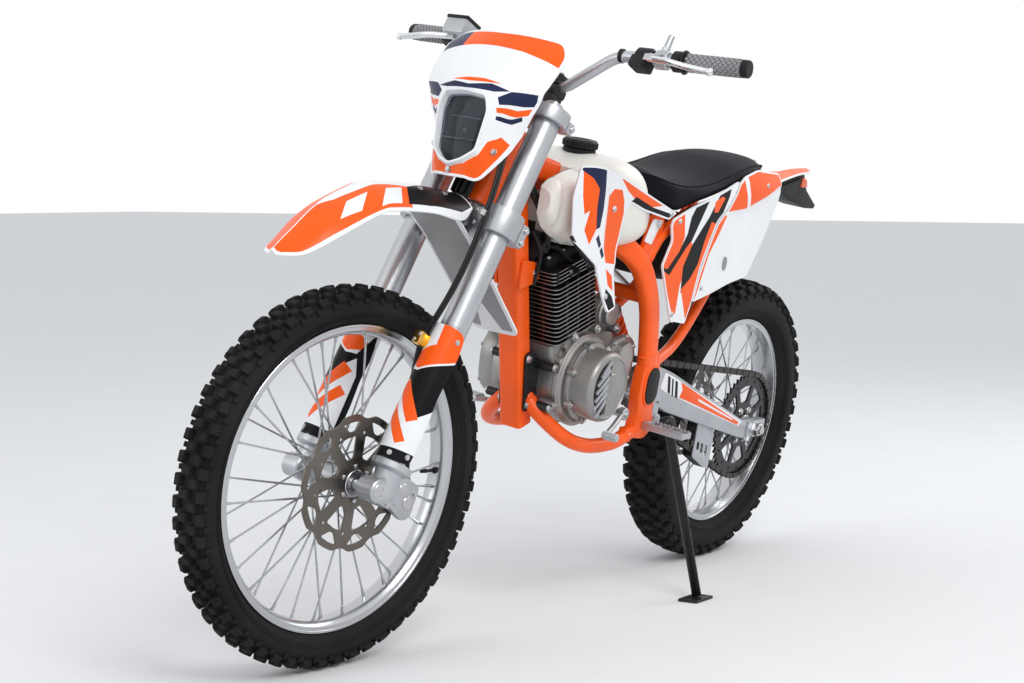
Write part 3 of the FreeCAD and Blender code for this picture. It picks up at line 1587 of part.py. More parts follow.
add("side_stand", side_stand(), "side_stand")

# Placements

WHEEL_PLACES = {
    "front": STEERED.multiply(Placement(Vector(FRONT_AXLE_AHEAD, 0, FRONT_AXLE_UP), AXLE_TURN)),
    "rear": Placement(REAR_AXLE, AXLE_TURN),
}


def shifted(name, side):
    return WHEEL_PLACES[name].multiply(Placement(Vector(0, 0, side), Rotation()))


STEERED_UPRIGHT = STEERED.multiply(FORK_FRAME.inverse())
CARRIERS = {
    "chassis": UPRIGHT,
    "side_stand": UPRIGHT,
    "steering": STEERED,
    "steering_upright": STEERED_UPRIGHT,
    "front_wheel": WHEEL_PLACES["front"],
    "front_disc": shifted("front", size("front_disc_place")),
    "rear_wheel": WHEEL_PLACES["rear"],
    "rear_disc": shifted("rear", -size("rear_disc_place")),
}

doc.recompute()
for piece, carrier in PIECES:
    place = CARRIERS[carrier]
    if piece.Label == "rear_sprocket":
        place = shifted("rear", size("chain_place"))
    piece.Placement = PARKED.multiply(place)
doc.recompute()

whole_box = FreeCAD.BoundBox()
for piece, _ in PIECES:
    whole_box.add(piece.Shape.BoundBox)
ORIGIN_SHIFT = Placement(Vector(-whole_box.Center.x, -whole_box.Center.y, 0), Rotation())
for piece, _ in PIECES:
    piece.Placement = ORIGIN_SHIFT.multiply(piece.Placement)
doc.recompute()

STANDING = ORIGIN_SHIFT.multiply(PARKED)


def report_axis(kind, name, point, axis):
    numbers = tuple(round(value, 6) for value in (point.x, point.y, point.z, axis.x, axis.y, axis.z))
    print(kind, name, numbers)


front_place = STANDING.multiply(WHEEL_PLACES["front"])
grip_tip = BAR_TIP + grip_axis() * 5
for label, tip in (("left_grip_end", grip_tip), ("right_grip_end", Vector(grip_tip.x, -grip_tip.y, grip_tip.z))):
    way = grip_axis()
    way = way if tip.y > 0 else Vector(way.x, -way.y, way.z)
    place = STANDING.multiply(STEERED)
    report_axis("mount", label, place.multVec(tip), place.Rotation.multVec(way))
report_axis("joint", "rear_wheel_spin", STANDING.multVec(REAR_AXLE), STANDING.Rotation.multVec(Y_AXIS))
report_axis("joint", "front_wheel_spin", front_place.Base, front_place.Rotation.multVec(Z_AXIS))
steer_root = fork_point(0, 0, size("head_tube_bottom"))
steer_way = FORK_FRAME.Rotation.multVec(Z_AXIS)
report_axis("joint", "steering_turn", STANDING.multVec(steer_root), STANDING.Rotation.multVec(steer_way))
report_axis("joint", "side_stand_fold", STANDING.multVec(STAND_PIVOT), STANDING.Rotation.multVec(STAND_AXIS))

# Every object has to be sound before anything is written

for item in doc.Objects:
    if "Invalid" in item.State or "Error" in item.State:
        raise RuntimeError("%s did not compute" % item.Name)

os.makedirs("parts", exist_ok=True)
for piece, _ in PIECES:
    shape = piece.Shape
    if shape.isNull() or not shape.isValid():
        raise RuntimeError("%s has no sound shape" % piece.Label)
    print(piece.Label, "solids", len(shape.Solids), "volume", round(shape.Volume / 1000), "cm3")
    shape.exportStep("parts/%s.step" % piece.Label)
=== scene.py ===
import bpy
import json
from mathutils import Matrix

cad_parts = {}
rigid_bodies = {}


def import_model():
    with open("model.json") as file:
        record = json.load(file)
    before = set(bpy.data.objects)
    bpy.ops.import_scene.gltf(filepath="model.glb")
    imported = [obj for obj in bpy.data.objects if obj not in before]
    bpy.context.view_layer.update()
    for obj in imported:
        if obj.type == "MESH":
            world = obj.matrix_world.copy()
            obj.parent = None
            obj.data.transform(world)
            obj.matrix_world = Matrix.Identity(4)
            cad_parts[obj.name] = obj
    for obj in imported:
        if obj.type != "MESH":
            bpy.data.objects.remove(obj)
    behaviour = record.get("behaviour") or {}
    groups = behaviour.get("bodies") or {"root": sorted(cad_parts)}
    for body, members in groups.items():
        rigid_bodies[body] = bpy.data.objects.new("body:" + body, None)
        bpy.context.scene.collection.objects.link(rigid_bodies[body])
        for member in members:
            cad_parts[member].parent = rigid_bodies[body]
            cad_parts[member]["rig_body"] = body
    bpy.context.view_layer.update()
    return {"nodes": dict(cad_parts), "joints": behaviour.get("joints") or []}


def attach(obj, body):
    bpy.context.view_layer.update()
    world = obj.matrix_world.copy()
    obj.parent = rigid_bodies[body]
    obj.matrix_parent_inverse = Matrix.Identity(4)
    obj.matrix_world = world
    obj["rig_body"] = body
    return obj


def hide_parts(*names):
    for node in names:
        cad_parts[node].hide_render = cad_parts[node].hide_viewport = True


bl_info = {
    "name": "Enduro Bike Looks",
    "version": (1, 0, 0),
    "blender": (4, 5, 0),
    "location": "View3D > Sidebar > Enduro Bike",
    "description": "Builds an off-road motorcycle's bodywork, wheels, engine and finishes on its frame",
    "category": "Object",
}

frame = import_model()

import json
import math

import bmesh
import bpy
from mathutils import Matrix, Vector
from mathutils.geometry import delaunay_2d_cdt

MM = 0.001

# Frames of reference, worked out from the joints
# Upright and fork coordinates are in millimetres: X forward, Y to the left, Z up or along the steering axis.

RAKE = math.radians(26.7)
REAR_RADIUS = 331
AXLE_LEAD = 43
FRONT_AXLE_UP = 370.2
WHEELBASE = 1412
TRAIL = 128


def joint_line(name):
    """Point and direction of one joint, in the row frame."""
    found = next(item for item in frame["joints"] if item["name"] == name)
    return Vector(found["pos_m"]), Vector(found["axis"]).normalized()


def placed(origin, x_way, y_way, z_way):
    """Matrix from local millimetres to the row frame in metres."""
    turn = Matrix((x_way, y_way, z_way)).transposed().to_4x4()
    return Matrix.Translation(origin) @ turn @ Matrix.Scale(MM, 4)


REAR_AXLE, ACROSS = joint_line("rear_wheel_spin")
FRONT_AXLE, FRONT_ACROSS = joint_line("front_wheel_spin")
STEER_POINT, STEER_WAY = joint_line("steering_turn")
STAND_PIVOT, STAND_WAY = joint_line("side_stand_fold")
SQUARE = ACROSS.cross(STEER_WAY).normalized()
AHEAD = SQUARE * math.cos(RAKE) - STEER_WAY * math.sin(RAKE)
UPWARD = SQUARE * math.sin(RAKE) + STEER_WAY * math.cos(RAKE)
UPRIGHT = placed(REAR_AXLE - UPWARD * REAR_RADIUS * MM, AHEAD, ACROSS, UPWARD)
FORK_AHEAD = FRONT_ACROSS.cross(STEER_WAY).normalized()
FORK_ORIGIN = FRONT_AXLE - (FORK_AHEAD * AXLE_LEAD + STEER_WAY * FRONT_AXLE_UP) * MM
FORK = placed(FORK_ORIGIN, FORK_AHEAD, FRONT_ACROSS, STEER_WAY)
FRONT_WHEEL = placed(FRONT_AXLE, FORK_AHEAD, FRONT_ACROSS.cross(FORK_AHEAD), FRONT_ACROSS)
REAR_WHEEL = placed(REAR_AXLE, AHEAD, ACROSS.cross(AHEAD), ACROSS)
FORK_IN_BIKE = Matrix.Translation((WHEELBASE + TRAIL, 0, 0)) @ Matrix.Rotation(-RAKE, 4, "Y")
STEERED_BIKE = FORK @ FORK_IN_BIKE.inverted()


# Settings that a user may change


def colour(name, description, value):
    return bpy.props.FloatVectorProperty(
        name=name, description=description, default=value, subtype="COLOR", min=0, max=1, size=3
    )


class BikeColours(bpy.types.PropertyGroup):
    """Colours of the painted and moulded pieces."""

    orange: colour("Orange", "Frame paint and the orange blocks of the bodywork", (0.93, 0.105, 0.005))
    white: colour("White", "White plastic of fenders and panels", (0.82, 0.83, 0.85))
    navy: colour("Navy", "Dark blue blocks of the graphics", (0.012, 0.018, 0.06))
    black: colour("Black", "Black plastic and paint", (0.012, 0.012, 0.014))
    tank: colour("Tank", "Off-white plastic of the fuel tank", (0.80, 0.78, 0.72))
    engine: colour("Engine", "Grey metal of the crankcase", (0.33, 0.32, 0.31))
    aluminium: colour("Aluminium", "Bare aluminium of fork and swingarm", (0.58, 0.60, 0.63))
    rubber: colour("Rubber", "Tyre rubber", (0.012, 0.012, 0.012))


class BikeView(bpy.types.PropertyGroup):
    """Camera and stage."""

    lens: bpy.props.FloatProperty(
        name="Lens", description="Focal length on a 36 mm wide sensor", default=73.97, unit="CAMERA"
    )
    place: bpy.props.FloatVectorProperty(
        name="Camera place",
        description="Where the camera stands",
        default=(3.609, 2.1758, 0.875),
        unit="LENGTH",
    )
    turn: bpy.props.FloatVectorProperty(
        name="Camera turn",
        description="Which way the camera looks",
        default=(math.radians(85.648), math.radians(-0.124), math.radians(123.963)),
        subtype="EULER",
    )
    floor: colour("Floor", "Colour of the pale floor", (0.80, 0.80, 0.80))


def colours():
    return bpy.context.scene.bike_colours


def view_settings():
    return bpy.context.scene.bike_view


# Materials

MATERIALS = {}
LIVERY = ("white_plastic", "orange_plastic", "navy_plastic", "black_decal", "grey_plastic")
RAMP_ENDS = (0.35, 0.65)
MICROMETRE = 0.000001


class Nodes:
    """Short way to add and join the nodes of one material."""

    def __init__(self, name):
        self.material = bpy.data.materials.new(name)
        self.material.use_nodes = True
        self.tree = self.material.node_tree
        self.shader = self.tree.nodes["Principled BSDF"]

    def add(self, kind, source, entry):
        """New node whose input is fed by a socket."""
        node = self.tree.nodes.new(kind)
        self.tree.links.new(source, node.inputs[entry])
        return node

    def feed(self, source, entry):
        self.tree.links.new(source, self.shader.inputs[entry])

    def shader_values(self, **values):
        for key, value in values.items():
            self.shader.inputs[key.replace("_", " ")].default_value = value

    def noise(self, scale, detail):
        place = self.tree.nodes.new("ShaderNodeTexCoord").outputs["Object"]
        node = self.add("ShaderNodeTexNoise", place, "Vector")
        node.inputs["Scale"].default_value = scale
        node.inputs["Detail"].default_value = detail
        return node.outputs["Fac"]

    def ramp(self, source, low, high):
        """Grey or coloured blend between two values."""
        node = self.add("ShaderNodeValToRGB", source, "Fac")
        for element, position, value in zip(node.color_ramp.elements, RAMP_ENDS, (low, high)):
            element.position = position
            element.color = (*value, 1) if hasattr(value, "__len__") else (value, value, value, 1)
        return node.outputs["Color"]

    def bump(self, source, depth):
        node = self.add("ShaderNodeBump", source, "Height")
        node.inputs["Distance"].default_value = depth
        node.inputs["Strength"].default_value = 1
        return node.outputs["Normal"]


def shade(rgb, share):
    return tuple(min(1.0, channel * share) for channel in rgb)


def grained(name, rgb, roughness, metallic, grain, depth, spread, **values):
    """Finish with fine grain, slow colour change and uneven gloss; the grain's depth is in micrometres."""
    made = Nodes(name)
    fine_grain = made.noise(grain, 6)
    made.feed(made.ramp(made.noise(9, 3), shade(rgb, 1 - spread), shade(rgb, 1 + spread)), "Base Color")
    made.feed(made.ramp(fine_grain, roughness * 0.8, min(1, roughness * 1.2)), "Roughness")
    made.feed(made.bump(fine_grain, depth * MICROMETRE), "Normal")
    made.shader_values(Metallic=metallic, **values)
    MATERIALS[name] = made.material


def make_materials():
    """Every finish: colour, roughness, metal, grain, its depth, spread of tone and shine."""
    tone = colours()
    metal = tone.aluminium
    table = (
        ("frame_orange", tone.orange, 0.32, 0, 420, 20, 0.06, 0.35),
        ("white_plastic", tone.white, 0.3, 0, 500, 10, 0.015, 0.35),
        ("black_plastic", tone.black, 0.5, 0, 900, 80, 0.2, 0.2),
        ("black_paint", tone.black, 0.34, 0, 300, 30, 0.2, 0.3),
        ("orange_plastic", tone.orange, 0.32, 0, 500, 10, 0.04, 0.25),
        ("navy_plastic", tone.navy, 0.34, 0, 500, 10, 0.15, 0.2),
        # grey_plastic: the white darkened; on the fender flap it is painted shade, on the panel bosses it is
        # the bosses' grey
        ("grey_plastic", shade(tone.white, 0.34), 0.42, 0, 700, 30, 0.05, 0.3),
        ("black_decal", shade(tone.black, 0.6), 0.34, 0, 600, 10, 0.15, 0.1),
        ("seat_vinyl", (0.005, 0.006, 0.010), 0.55, 0, 1400, 120, 0.25, 0.07),
        ("tyre_rubber", tone.rubber, 0.75, 0, 700, 200, 0.3, 0.15),
        ("grip_rubber", (0.27, 0.27, 0.275), 0.6, 0, 900, 100, 0.12, 0.3),
        ("fork_aluminium", shade(metal, 0.82), 0.34, 0.9, 900, 4, 0.03, 0.5),
        ("cast_aluminium", shade(metal, 0.8), 0.42, 0.9, 800, 50, 0.08, 0.5),
        ("satin_aluminium", shade(metal, 0.85), 0.36, 0.95, 500, 20, 0.05, 0.5),
        ("rim_aluminium", (0.50, 0.51, 0.53), 0.2, 1, 300, 20, 0.03, 0.5),
        ("spoke_steel", (0.48, 0.49, 0.51), 0.26, 1, 600, 20, 0.05, 0.5),
        ("chrome", (0.75, 0.76, 0.78), 0.08, 1, 200, 10, 0.03, 0.5),
        ("disc_steel", (0.15, 0.135, 0.12), 0.33, 1, 900, 50, 0.15, 0.5),
        ("chain_steel", (0.055, 0.050, 0.046), 0.42, 0.8, 500, 100, 0.4, 0.5),
        ("bolt_steel", (0.52, 0.52, 0.53), 0.28, 1, 500, 40, 0.1, 0.5),
        ("engine_grey", tone.engine, 0.4, 0.75, 900, 60, 0.12, 0.5),
        ("engine_black", (0.008, 0.008, 0.008), 0.5, 0, 800, 100, 0.3, 0.2),
        ("fin_edge", (0.30, 0.29, 0.28), 0.36, 0.9, 900, 40, 0.15, 0.5),
        ("pipe_steel", (0.40, 0.37, 0.33), 0.3, 1, 260, 50, 0.25, 0.5),
        ("gold_clamp", (0.75, 0.47, 0.12), 0.28, 1, 500, 40, 0.12, 0.5),
        ("hose_rubber", (0.010, 0.010, 0.011), 0.4, 0, 700, 50, 0.2, 0.3),
        ("stitch_thread", (0.035, 0.035, 0.04), 0.8, 0, 1800, 100, 0.3, 0.5),
        ("lamp_mirror", (0.16, 0.17, 0.20), 0.16, 1, 60, 100, 0.12, 0.5),
    )
    for *finish, shine in table:
        grained(*finish, Specular_IOR_Level=shine)
    grained(
        "tank_plastic", tone.tank, 0.36, 0, 140, 30, 0.04, Subsurface_Weight=0.2, Subsurface_Scale=0.02,
        Specular_IOR_Level=0.35,
    )
    grained("lamp_red", (0.35, 0.012, 0.008), 0.2, 0, 300, 100, 0.15, Coat_Weight=0.6)
    grained("reflector_amber", (0.72, 0.10, 0.01), 0.18, 0, 300, 200, 0.12, Coat_Weight=0.6)
    grained("lamp_lens", (0.62, 0.68, 0.78), 0.05, 0, 40, 200, 0.02, Transmission_Weight=1.0, IOR=1.25)


# Outlines and tables. Every mesh is drawn in local millimetres and then taken to the row frame.


def rounded(outline, radius, steps=4):
    """Closed outline whose corners are rounded; points are pairs."""
    result = []
    count = len(outline)
    for index, corner in enumerate(outline):
        here = Vector(corner)
        back = Vector(outline[index - 1]) - here
        ahead = Vector(outline[(index + 1) % count]) - here
        reach = min(radius, 0.45 * back.length, 0.45 * ahead.length)
        start = here + back.normalized() * reach
        end = here + ahead.normalized() * reach
        for step in range(steps + 1):
            share = step / steps
            result.append(start.lerp(here, share).lerp(here.lerp(end, share), share))
    return result


def through(table, spots):
    """Smooth curve through a table of rows, read at evenly spread spots."""
    rows = [Vector(row) for row in table]
    rows = [rows[0] * 2 - rows[1]] + rows + [rows[-1] * 2 - rows[-2]]
    result = []
    spans = len(rows) - 3
    for spot in range(spots):
        place = spot / (spots - 1) * spans
        index = min(int(place), spans - 1)
        t = place - index
        a, b, c, d = rows[index:index + 4]
        curve = 2 * b + (c - a) * t + (2 * a - 5 * b + 4 * c - d) * t**2 + (3 * b - a - 3 * c + d) * t**3
        result.append(curve * 0.5)
    return result


def clamped(value):
    return min(1.0, max(0.0, value))


def read_table(rows, key):
    """Row at one value of its first column, between the two nearest rows."""
    for low, high in zip(rows, rows[1:]):
        if min(low[0], high[0]) <= key <= max(low[0], high[0]):
            low, high = Vector(low), Vector(high)
            share = (key - low[0]) / (high[0] - low[0]) if high[0] != low[0] else 0
            return low.lerp(high, share)
    return Vector(min(rows[0], rows[-1], key=lambda row: abs(key - row[0])))


def polar(radius, turn):
    return (radius * math.cos(turn), radius * math.sin(turn))


def even_turns(count, first=0.0):
    return [first + 2 * math.pi * index / count for index in range(count)]


def circle(radius, steps=32):
    return [polar(radius, turn) for turn in even_turns(steps)]


def with_mirror(points):
    """Outline from its points on one side and their mirror images, back to the first."""
    return [*points, *[(a, -b) for a, b in reversed(points)]]


def fine(outline, spacing):
    """Closed outline with extra points, no two further apart than about the spacing."""
    result = []
    for first, second in zip(outline, list(outline[1:]) + [outline[0]]):
        first = Vector(first)
        second = Vector(second)
        steps = max(1, round((second - first).length / spacing))
        result += [first.lerp(second, step / steps) for step in range(steps)]
    return result


def inside(point, outline):
    """Whether a flat point lies in a closed outline."""
    found = False
    for first, second in zip(outline, list(outline[1:]) + [outline[0]]):
        if (first[1] > point[1]) != (second[1] > point[1]):
            cross = first[0] + (point[1] - first[1]) / (second[1] - first[1]) * (second[0] - first[0])
            found = found != (point[0] < cross)
    return found


def nearest_squared(place, points):
    """Square of the distance to the nearest of some points."""
    return min((place - point).length_squared for point in points)


def inset(outline, distance):
    """Closed outline moved inwards by a distance."""
    count = len(outline)
    area = sum(outline[k - 1][0] * outline[k][1] - outline[k][0] * outline[k - 1][1] for k in range(count))
    way = distance if area > 0 else -distance
    result = []
    for index in range(count):
        along = Vector(outline[(index + 1) % count]) - Vector(outline[index - 1])
        along.normalize()
        result.append(Vector(outline[index]) + Vector((-along.y, along.x)) * way)
    return result


# Solids and sheets


def lofted(loops, caps=True):
    """Skin over a list of loops with the same number of points."""
    made = bmesh.new()
    rows = [[made.verts.new(point) for point in loop] for loop in loops]
    count = len(rows[0])
    for low, high in zip(rows, rows[1:]):
        for index in range(count):
            follower = (index + 1) % count
            made.faces.new((low[index], low[follower], high[follower], high[index]))
    if caps:
        made.faces.new(reversed(rows[0]))
        made.faces.new(rows[-1])
    return made


def turned(profile, steps=72, closed=True):
    """Ring or solid of revolution about Z, from pairs of radius and height."""
    made = bmesh.new()
    rows = []
    for step in range(steps):
        angle = 2 * math.pi * step / steps
        rows.append([made.verts.new((r * math.cos(angle), r * math.sin(angle), z)) for r, z in profile])
    last = len(profile) if closed else len(profile) - 1
    for index in range(steps):
        low, high = rows[index], rows[(index + 1) % steps]
        for spot in range(last):
            follower = (spot + 1) % len(profile)
            made.faces.new((low[spot], low[follower], high[follower], high[spot]))
    bmesh.ops.remove_doubles(made, verts=made.verts, dist=0.001)
    return made


def plate(outlines, low, high):
    """Flat plate along Z: the first outline is its edge and the others are holes."""
    points = []
    loops = []
    for outline in outlines:
        loops.append(list(range(len(points), len(points) + len(outline))))
        points += [Vector(point[:2]) for point in outline]
    found, _, faces, *_ = delaunay_2d_cdt(points, [], loops, 5, 0.0001)
    made = bmesh.new()
    verts = [made.verts.new((point.x, point.y, low)) for point in found]
    for face in faces:
        made.faces.new([verts[index] for index in face])
    raised = bmesh.ops.extrude_face_region(made, geom=list(made.faces))
    tops = [item for item in raised["geom"] if isinstance(item, bmesh.types.BMVert)]
    bmesh.ops.translate(made, verts=tops, vec=(0, 0, high - low))
    return made


SIDEWAYS = Matrix(((1, 0, 0, 0), (0, 0, 1, 0), (0, 1, 0, 0), (0, 0, 0, 1)))


def slab(outline, low, high, edge=0.0, holes=(), corner=0):
    """Plate seen from the side: outline in X and Z between two Y planes, with bevelled edges."""
    outline = rounded(outline, corner) if corner else outline
    made = plate([outline, *holes], low, high)
    return moved(softened(made, 0.6, edge) if edge else made, SIDEWAYS)


def panel(outline, surface, out, spacing=10, holes=(), blocks=(), corner=8, rim=None):
    """Curved sheet over a flat outline, each point lifted by surface(a, b).

    Blocks give the faces inside them a finish; rim is a finish and a width for the outer edge.
    """
    edge = fine(rounded(outline, corner), spacing)
    cuts = [fine(hole, spacing) for hole in holes]
    inner = inset(edge, rim[1]) if rim else []
    points = []
    lines = []
    for loop in [edge, *cuts, inner, *[fine(block, spacing) for _, block in blocks]]:
        first = len(points)
        points += [Vector(point[:2]) for point in loop]
        lines += [(first + spot, first + (spot + 1) % len(loop)) for spot in range(len(loop))]
    low = Vector((min(point[0] for point in edge), min(point[1] for point in edge)))
    high = Vector((max(point[0] for point in edge), max(point[1] for point in edge)))
    borders = list(points)
    row = low.y + spacing / 2
    while row < high.y:
        spot = low.x + spacing / 2
        while spot < high.x:
            place = Vector((spot, row))
            if inside(place, edge) and nearest_squared(place, borders) > spacing**2 / 5:
                points.append(place)
            spot += spacing
        row += spacing
    found, _, faces, *_ = delaunay_2d_cdt(points, lines, [], 0, 0.0001)
    made = bmesh.new()
    verts = [made.verts.new(surface(point.x, point.y)) for point in found]
    for face in faces:
        middle = sum((found[index] for index in face), Vector((0, 0))) / len(face)
        if inside(middle, edge) and not any(inside(middle, cut) for cut in cuts):
            item = made.faces.new([verts[index] for index in face])
            item.normal_update()
            if item.normal.dot(Vector(out)) < 0:
                item.normal_flip()
            for index, block in blocks:
                if inside(middle, block):
                    item.material_index = index
            if rim and not inside(middle, inner):
                item.material_index = rim[0]
    bmesh.ops.delete(made, geom=[vert for vert in made.verts if not vert.link_faces], context="VERTS")
    return made


def joined(*parts):
    """Several meshes in one."""
    whole = bmesh.new()
    for part in parts:
        mesh = as_mesh("part", part)
        whole.from_mesh(mesh)
        bpy.data.meshes.remove(mesh)
    return whole


def both(*parts):
    """The parts as one mesh, with its mirror image on the other side of the middle plane."""
    made = joined(*parts)
    copy = made.copy()
    bmesh.ops.scale(copy, vec=(1, -1, 1), verts=copy.verts)
    bmesh.ops.reverse_faces(copy, faces=copy.faces)
    return joined(made, copy)


def moved(made, place):
    bmesh.ops.transform(made, matrix=place, verts=made.verts)
    return made


def shifted(made, way):
    return moved(made, Matrix.Translation(way))


def tinted(made, index):
    """The same mesh with all its faces in one material slot."""
    for face in made.faces:
        face.material_index = index
    return made


def direction_place(start, end):
    """Matrix that takes Z to the line from start to end."""
    start = Vector(start)
    way = Vector(end) - start
    return Matrix.Translation(start) @ way.to_track_quat("Z", "Y").to_matrix().to_4x4()


def rod(start, end, radius, sides=24, radius_end=None, edge=0.0):
    """Round bar between two points, with a small bevel at its ends."""
    span = (Vector(end) - Vector(start)).length
    last = radius if radius_end is None else radius_end
    profile = [
        (0, 0), (radius - edge, 0), (radius, edge), (last, span - edge), (last - edge, span), (0, span),
    ]
    return moved(turned(profile, sides, closed=False), direction_place(start, end))


def pin(ahead, up, low, high, radius, sides=24, edge=0.0):
    """Round bar across the bike at one place ahead and up, from one side to the other."""
    return rod((ahead, low, up), (ahead, high, up), radius, sides, edge=edge)


def pins_at(spots, *size, **more):
    """Round bars across the bike at pairs of X and Z."""
    return [pin(*spot, *size, **more) for spot in spots]


def ring(start, end, outer, bore, sides=32, edge=1.0):
    """Sleeve between two points."""
    span = (Vector(end) - Vector(start)).length
    profile = [
        (bore, 0), (outer - edge, 0), (outer, edge), (outer, span - edge), (outer - edge, span),
        (bore, span),
    ]
    return moved(turned(profile, sides), direction_place(start, end))


def bolt(place, way, size, head=None):
    """Six-sided bolt head on a washer, standing on a face."""
    place = Vector(place)
    way = Vector(way).normalized()
    height = head or size * 0.7
    washer = rod(place, place + way * size * 0.18, size * 1.15, 16, edge=0.3)
    top = rod(place + way * size * 0.15, place + way * height, size * 0.92, 6, edge=0.5)
    return joined(washer, top)


def bolts_at(spots, side, size, head=None):
    """Bolt heads at pairs of X and Z on one side of the bike, facing outwards."""
    return [bolt((x, side, z), (0, math.copysign(1, side), 0), size, head) for x, z in spots]


def box(low, high, edge=0.0):
    """Block between two corners, with bevelled edges."""
    made = bmesh.new()
    bmesh.ops.create_cube(made, size=1)
    size = Vector(high) - Vector(low)
    bmesh.ops.scale(made, vec=size, verts=made.verts)
    bmesh.ops.translate(made, vec=(Vector(high) + Vector(low)) / 2, verts=made.verts)
    if edge:
        bmesh.ops.bevel(made, geom=list(made.edges), offset=edge, segments=2, affect="EDGES", profile=0.7)
    return made


def curve_path(points, steps=10):
    """Places along a smooth line: a NURBS spline with these control points."""
    line = bpy.data.curves.new("line", "CURVE")
    line.dimensions = "3D"
    line.resolution_u = steps
    spline = line.splines.new("NURBS")
    spline.points.add(len(points) - 1)
    for point, place in zip(spline.points, points):
        point.co = (*place, 1)
    spline.order_u = 3
    spline.use_endpoint_u = True
    carrier = linked("line", line)
    mesh = bpy.data.meshes.new_from_object(carrier)
    path = [vert.co.copy() for vert in mesh.vertices]
    bpy.data.objects.remove(carrier)
    bpy.data.meshes.remove(mesh)
    return path


def tube(points, radius, sides=12, flat=1.0, steps=10):
    """Round bar along a smooth line, with a section that doesn't twist; flat squeezes one side."""
    path = curve_path(points, steps)
    loops = []
    side = (path[1] - path[0]).normalized().orthogonal().normalized()
    for index, point in enumerate(path):
        way = (path[min(index + 1, len(path) - 1)] - path[max(index - 1, 0)]).normalized()
        side = (side - way * side.dot(way)).normalized()
        other = way.cross(side)
        loop = []
        for step in range(sides):
            angle = 2 * math.pi * step / sides
            across, rise = radius * math.cos(angle), radius * flat * math.sin(angle)
            loop.append(point + side * across + other * rise)
        loops.append(loop)
    return lofted(loops)


# Repeats, made by node trees


def tree_start(name, **sockets):
    """Empty node tree with a geometry input and output and named inputs."""
    tree = bpy.data.node_groups.new(name, "GeometryNodeTree")
    tree.interface.new_socket("Geometry", in_out="INPUT", socket_type="NodeSocketGeometry")
    for socket, kind in sockets.items():
        tree.interface.new_socket(socket, in_out="INPUT", socket_type="NodeSocket" + kind)
    tree.interface.new_socket("Geometry", in_out="OUTPUT", socket_type="NodeSocketGeometry")
    return tree, tree.nodes.new("NodeGroupInput"), tree.nodes.new("GeometryNodeInstanceOnPoints")


def tree_end(tree, start, copies):
    """Closes a tree: real copies of the instances, with the material of the given input."""
    real = tree.nodes.new("GeometryNodeRealizeInstances")
    finish = tree.nodes.new("GeometryNodeSetMaterial")
    end = tree.nodes.new("NodeGroupOutput")
    wire(
        tree, (copies, "Instances", real, "Geometry"), (real, "Geometry", finish, "Geometry"),
        (start, "Material", finish, "Material"), (finish, "Geometry", end, "Geometry"),
    )
    return tree


def ring_tree():
    """Copies of the piece turned about its Z axis, evenly round the full circle."""
    tree, start, copies = tree_start("Ring", Count="Int", Material="Material")
    points = tree.nodes.new("GeometryNodePoints")
    index = tree.nodes.new("GeometryNodeInputIndex")
    step = tree.nodes.new("ShaderNodeMath")
    step.operation = "DIVIDE"
    step.inputs[0].default_value = 2 * math.pi
    turn = tree.nodes.new("ShaderNodeMath")
    turn.operation = "MULTIPLY"
    rotation = tree.nodes.new("ShaderNodeCombineXYZ")
    wire(
        tree, (start, "Count", points, "Count"), (start, "Count", step, 1), (index, 0, turn, 0),
        (step, 0, turn, 1), (turn, 0, rotation, "Z"), (points, 0, copies, "Points"),
        (start, "Geometry", copies, "Instance"), (rotation, 0, copies, "Rotation"),
    )
    return tree_end(tree, start, copies)


def row_tree():
    """Copies of the piece in a straight row."""
    tree, start, copies = tree_start("Row", Count="Int", Step="Vector", Material="Material")
    line = tree.nodes.new("GeometryNodeMeshLine")
    wire(
        tree, (start, "Count", line, "Count"), (start, "Step", line, "Offset"),
        (line, "Mesh", copies, "Points"), (start, "Geometry", copies, "Instance"),
    )
    return tree_end(tree, start, copies)


def run_tree():
    """A piece on every point of the object's own mesh, turned by the point's stored angles."""
    tree, start, copies = tree_start("Run", Link="Object", Material="Material")
    link = tree.nodes.new("GeometryNodeObjectInfo")
    angles = tree.nodes.new("GeometryNodeInputNamedAttribute")
    angles.data_type = "FLOAT_VECTOR"
    angles.inputs["Name"].default_value = "angles"
    wire(
        tree, (start, "Link", link, "Object"), (start, "Geometry", copies, "Points"),
        (link, "Geometry", copies, "Instance"), (angles, "Attribute", copies, "Rotation"),
    )
    return tree_end(tree, start, copies)


TREES = {}


def grown(made, kind, **inputs):
    """Mesh that a node tree makes out of another; the modifier is gone afterwards."""
    if not TREES:
        TREES.update(ring=ring_tree(), row=row_tree(), run=run_tree())
    mesh = as_mesh("seed", made)
    if "angles" in inputs:
        layer = mesh.attributes.new("angles", "FLOAT_VECTOR", "POINT")
        for item, value in zip(layer.data, inputs.pop("angles")):
            item.vector = value
    seed = linked("seed", mesh)
    modifier = seed.modifiers.new("Repeat", "NODES")
    modifier.node_group = TREES[kind]
    for item in TREES[kind].interface.items_tree:
        if item.in_out == "INPUT" and item.name in inputs:
            modifier[item.identifier] = inputs[item.name]
    seed.update_tag()
    bpy.context.view_layer.update()
    graph = bpy.context.evaluated_depsgraph_get()
    result = bpy.data.meshes.new_from_object(seed.evaluated_get(graph))
    seed.modifiers.clear()
    grown_mesh = bmesh.new()
    grown_mesh.from_mesh(result)
    bpy.data.objects.remove(seed)
    bpy.data.meshes.remove(result)
    return tinted(grown_mesh, 0)


def ring_of(made, count, material):
    return grown(made, "ring", Count=count, Material=MATERIALS[material])


def row_of(made, count, step, material):
    return grown(made, "row", Count=count, Step=step, Material=MATERIALS[material])


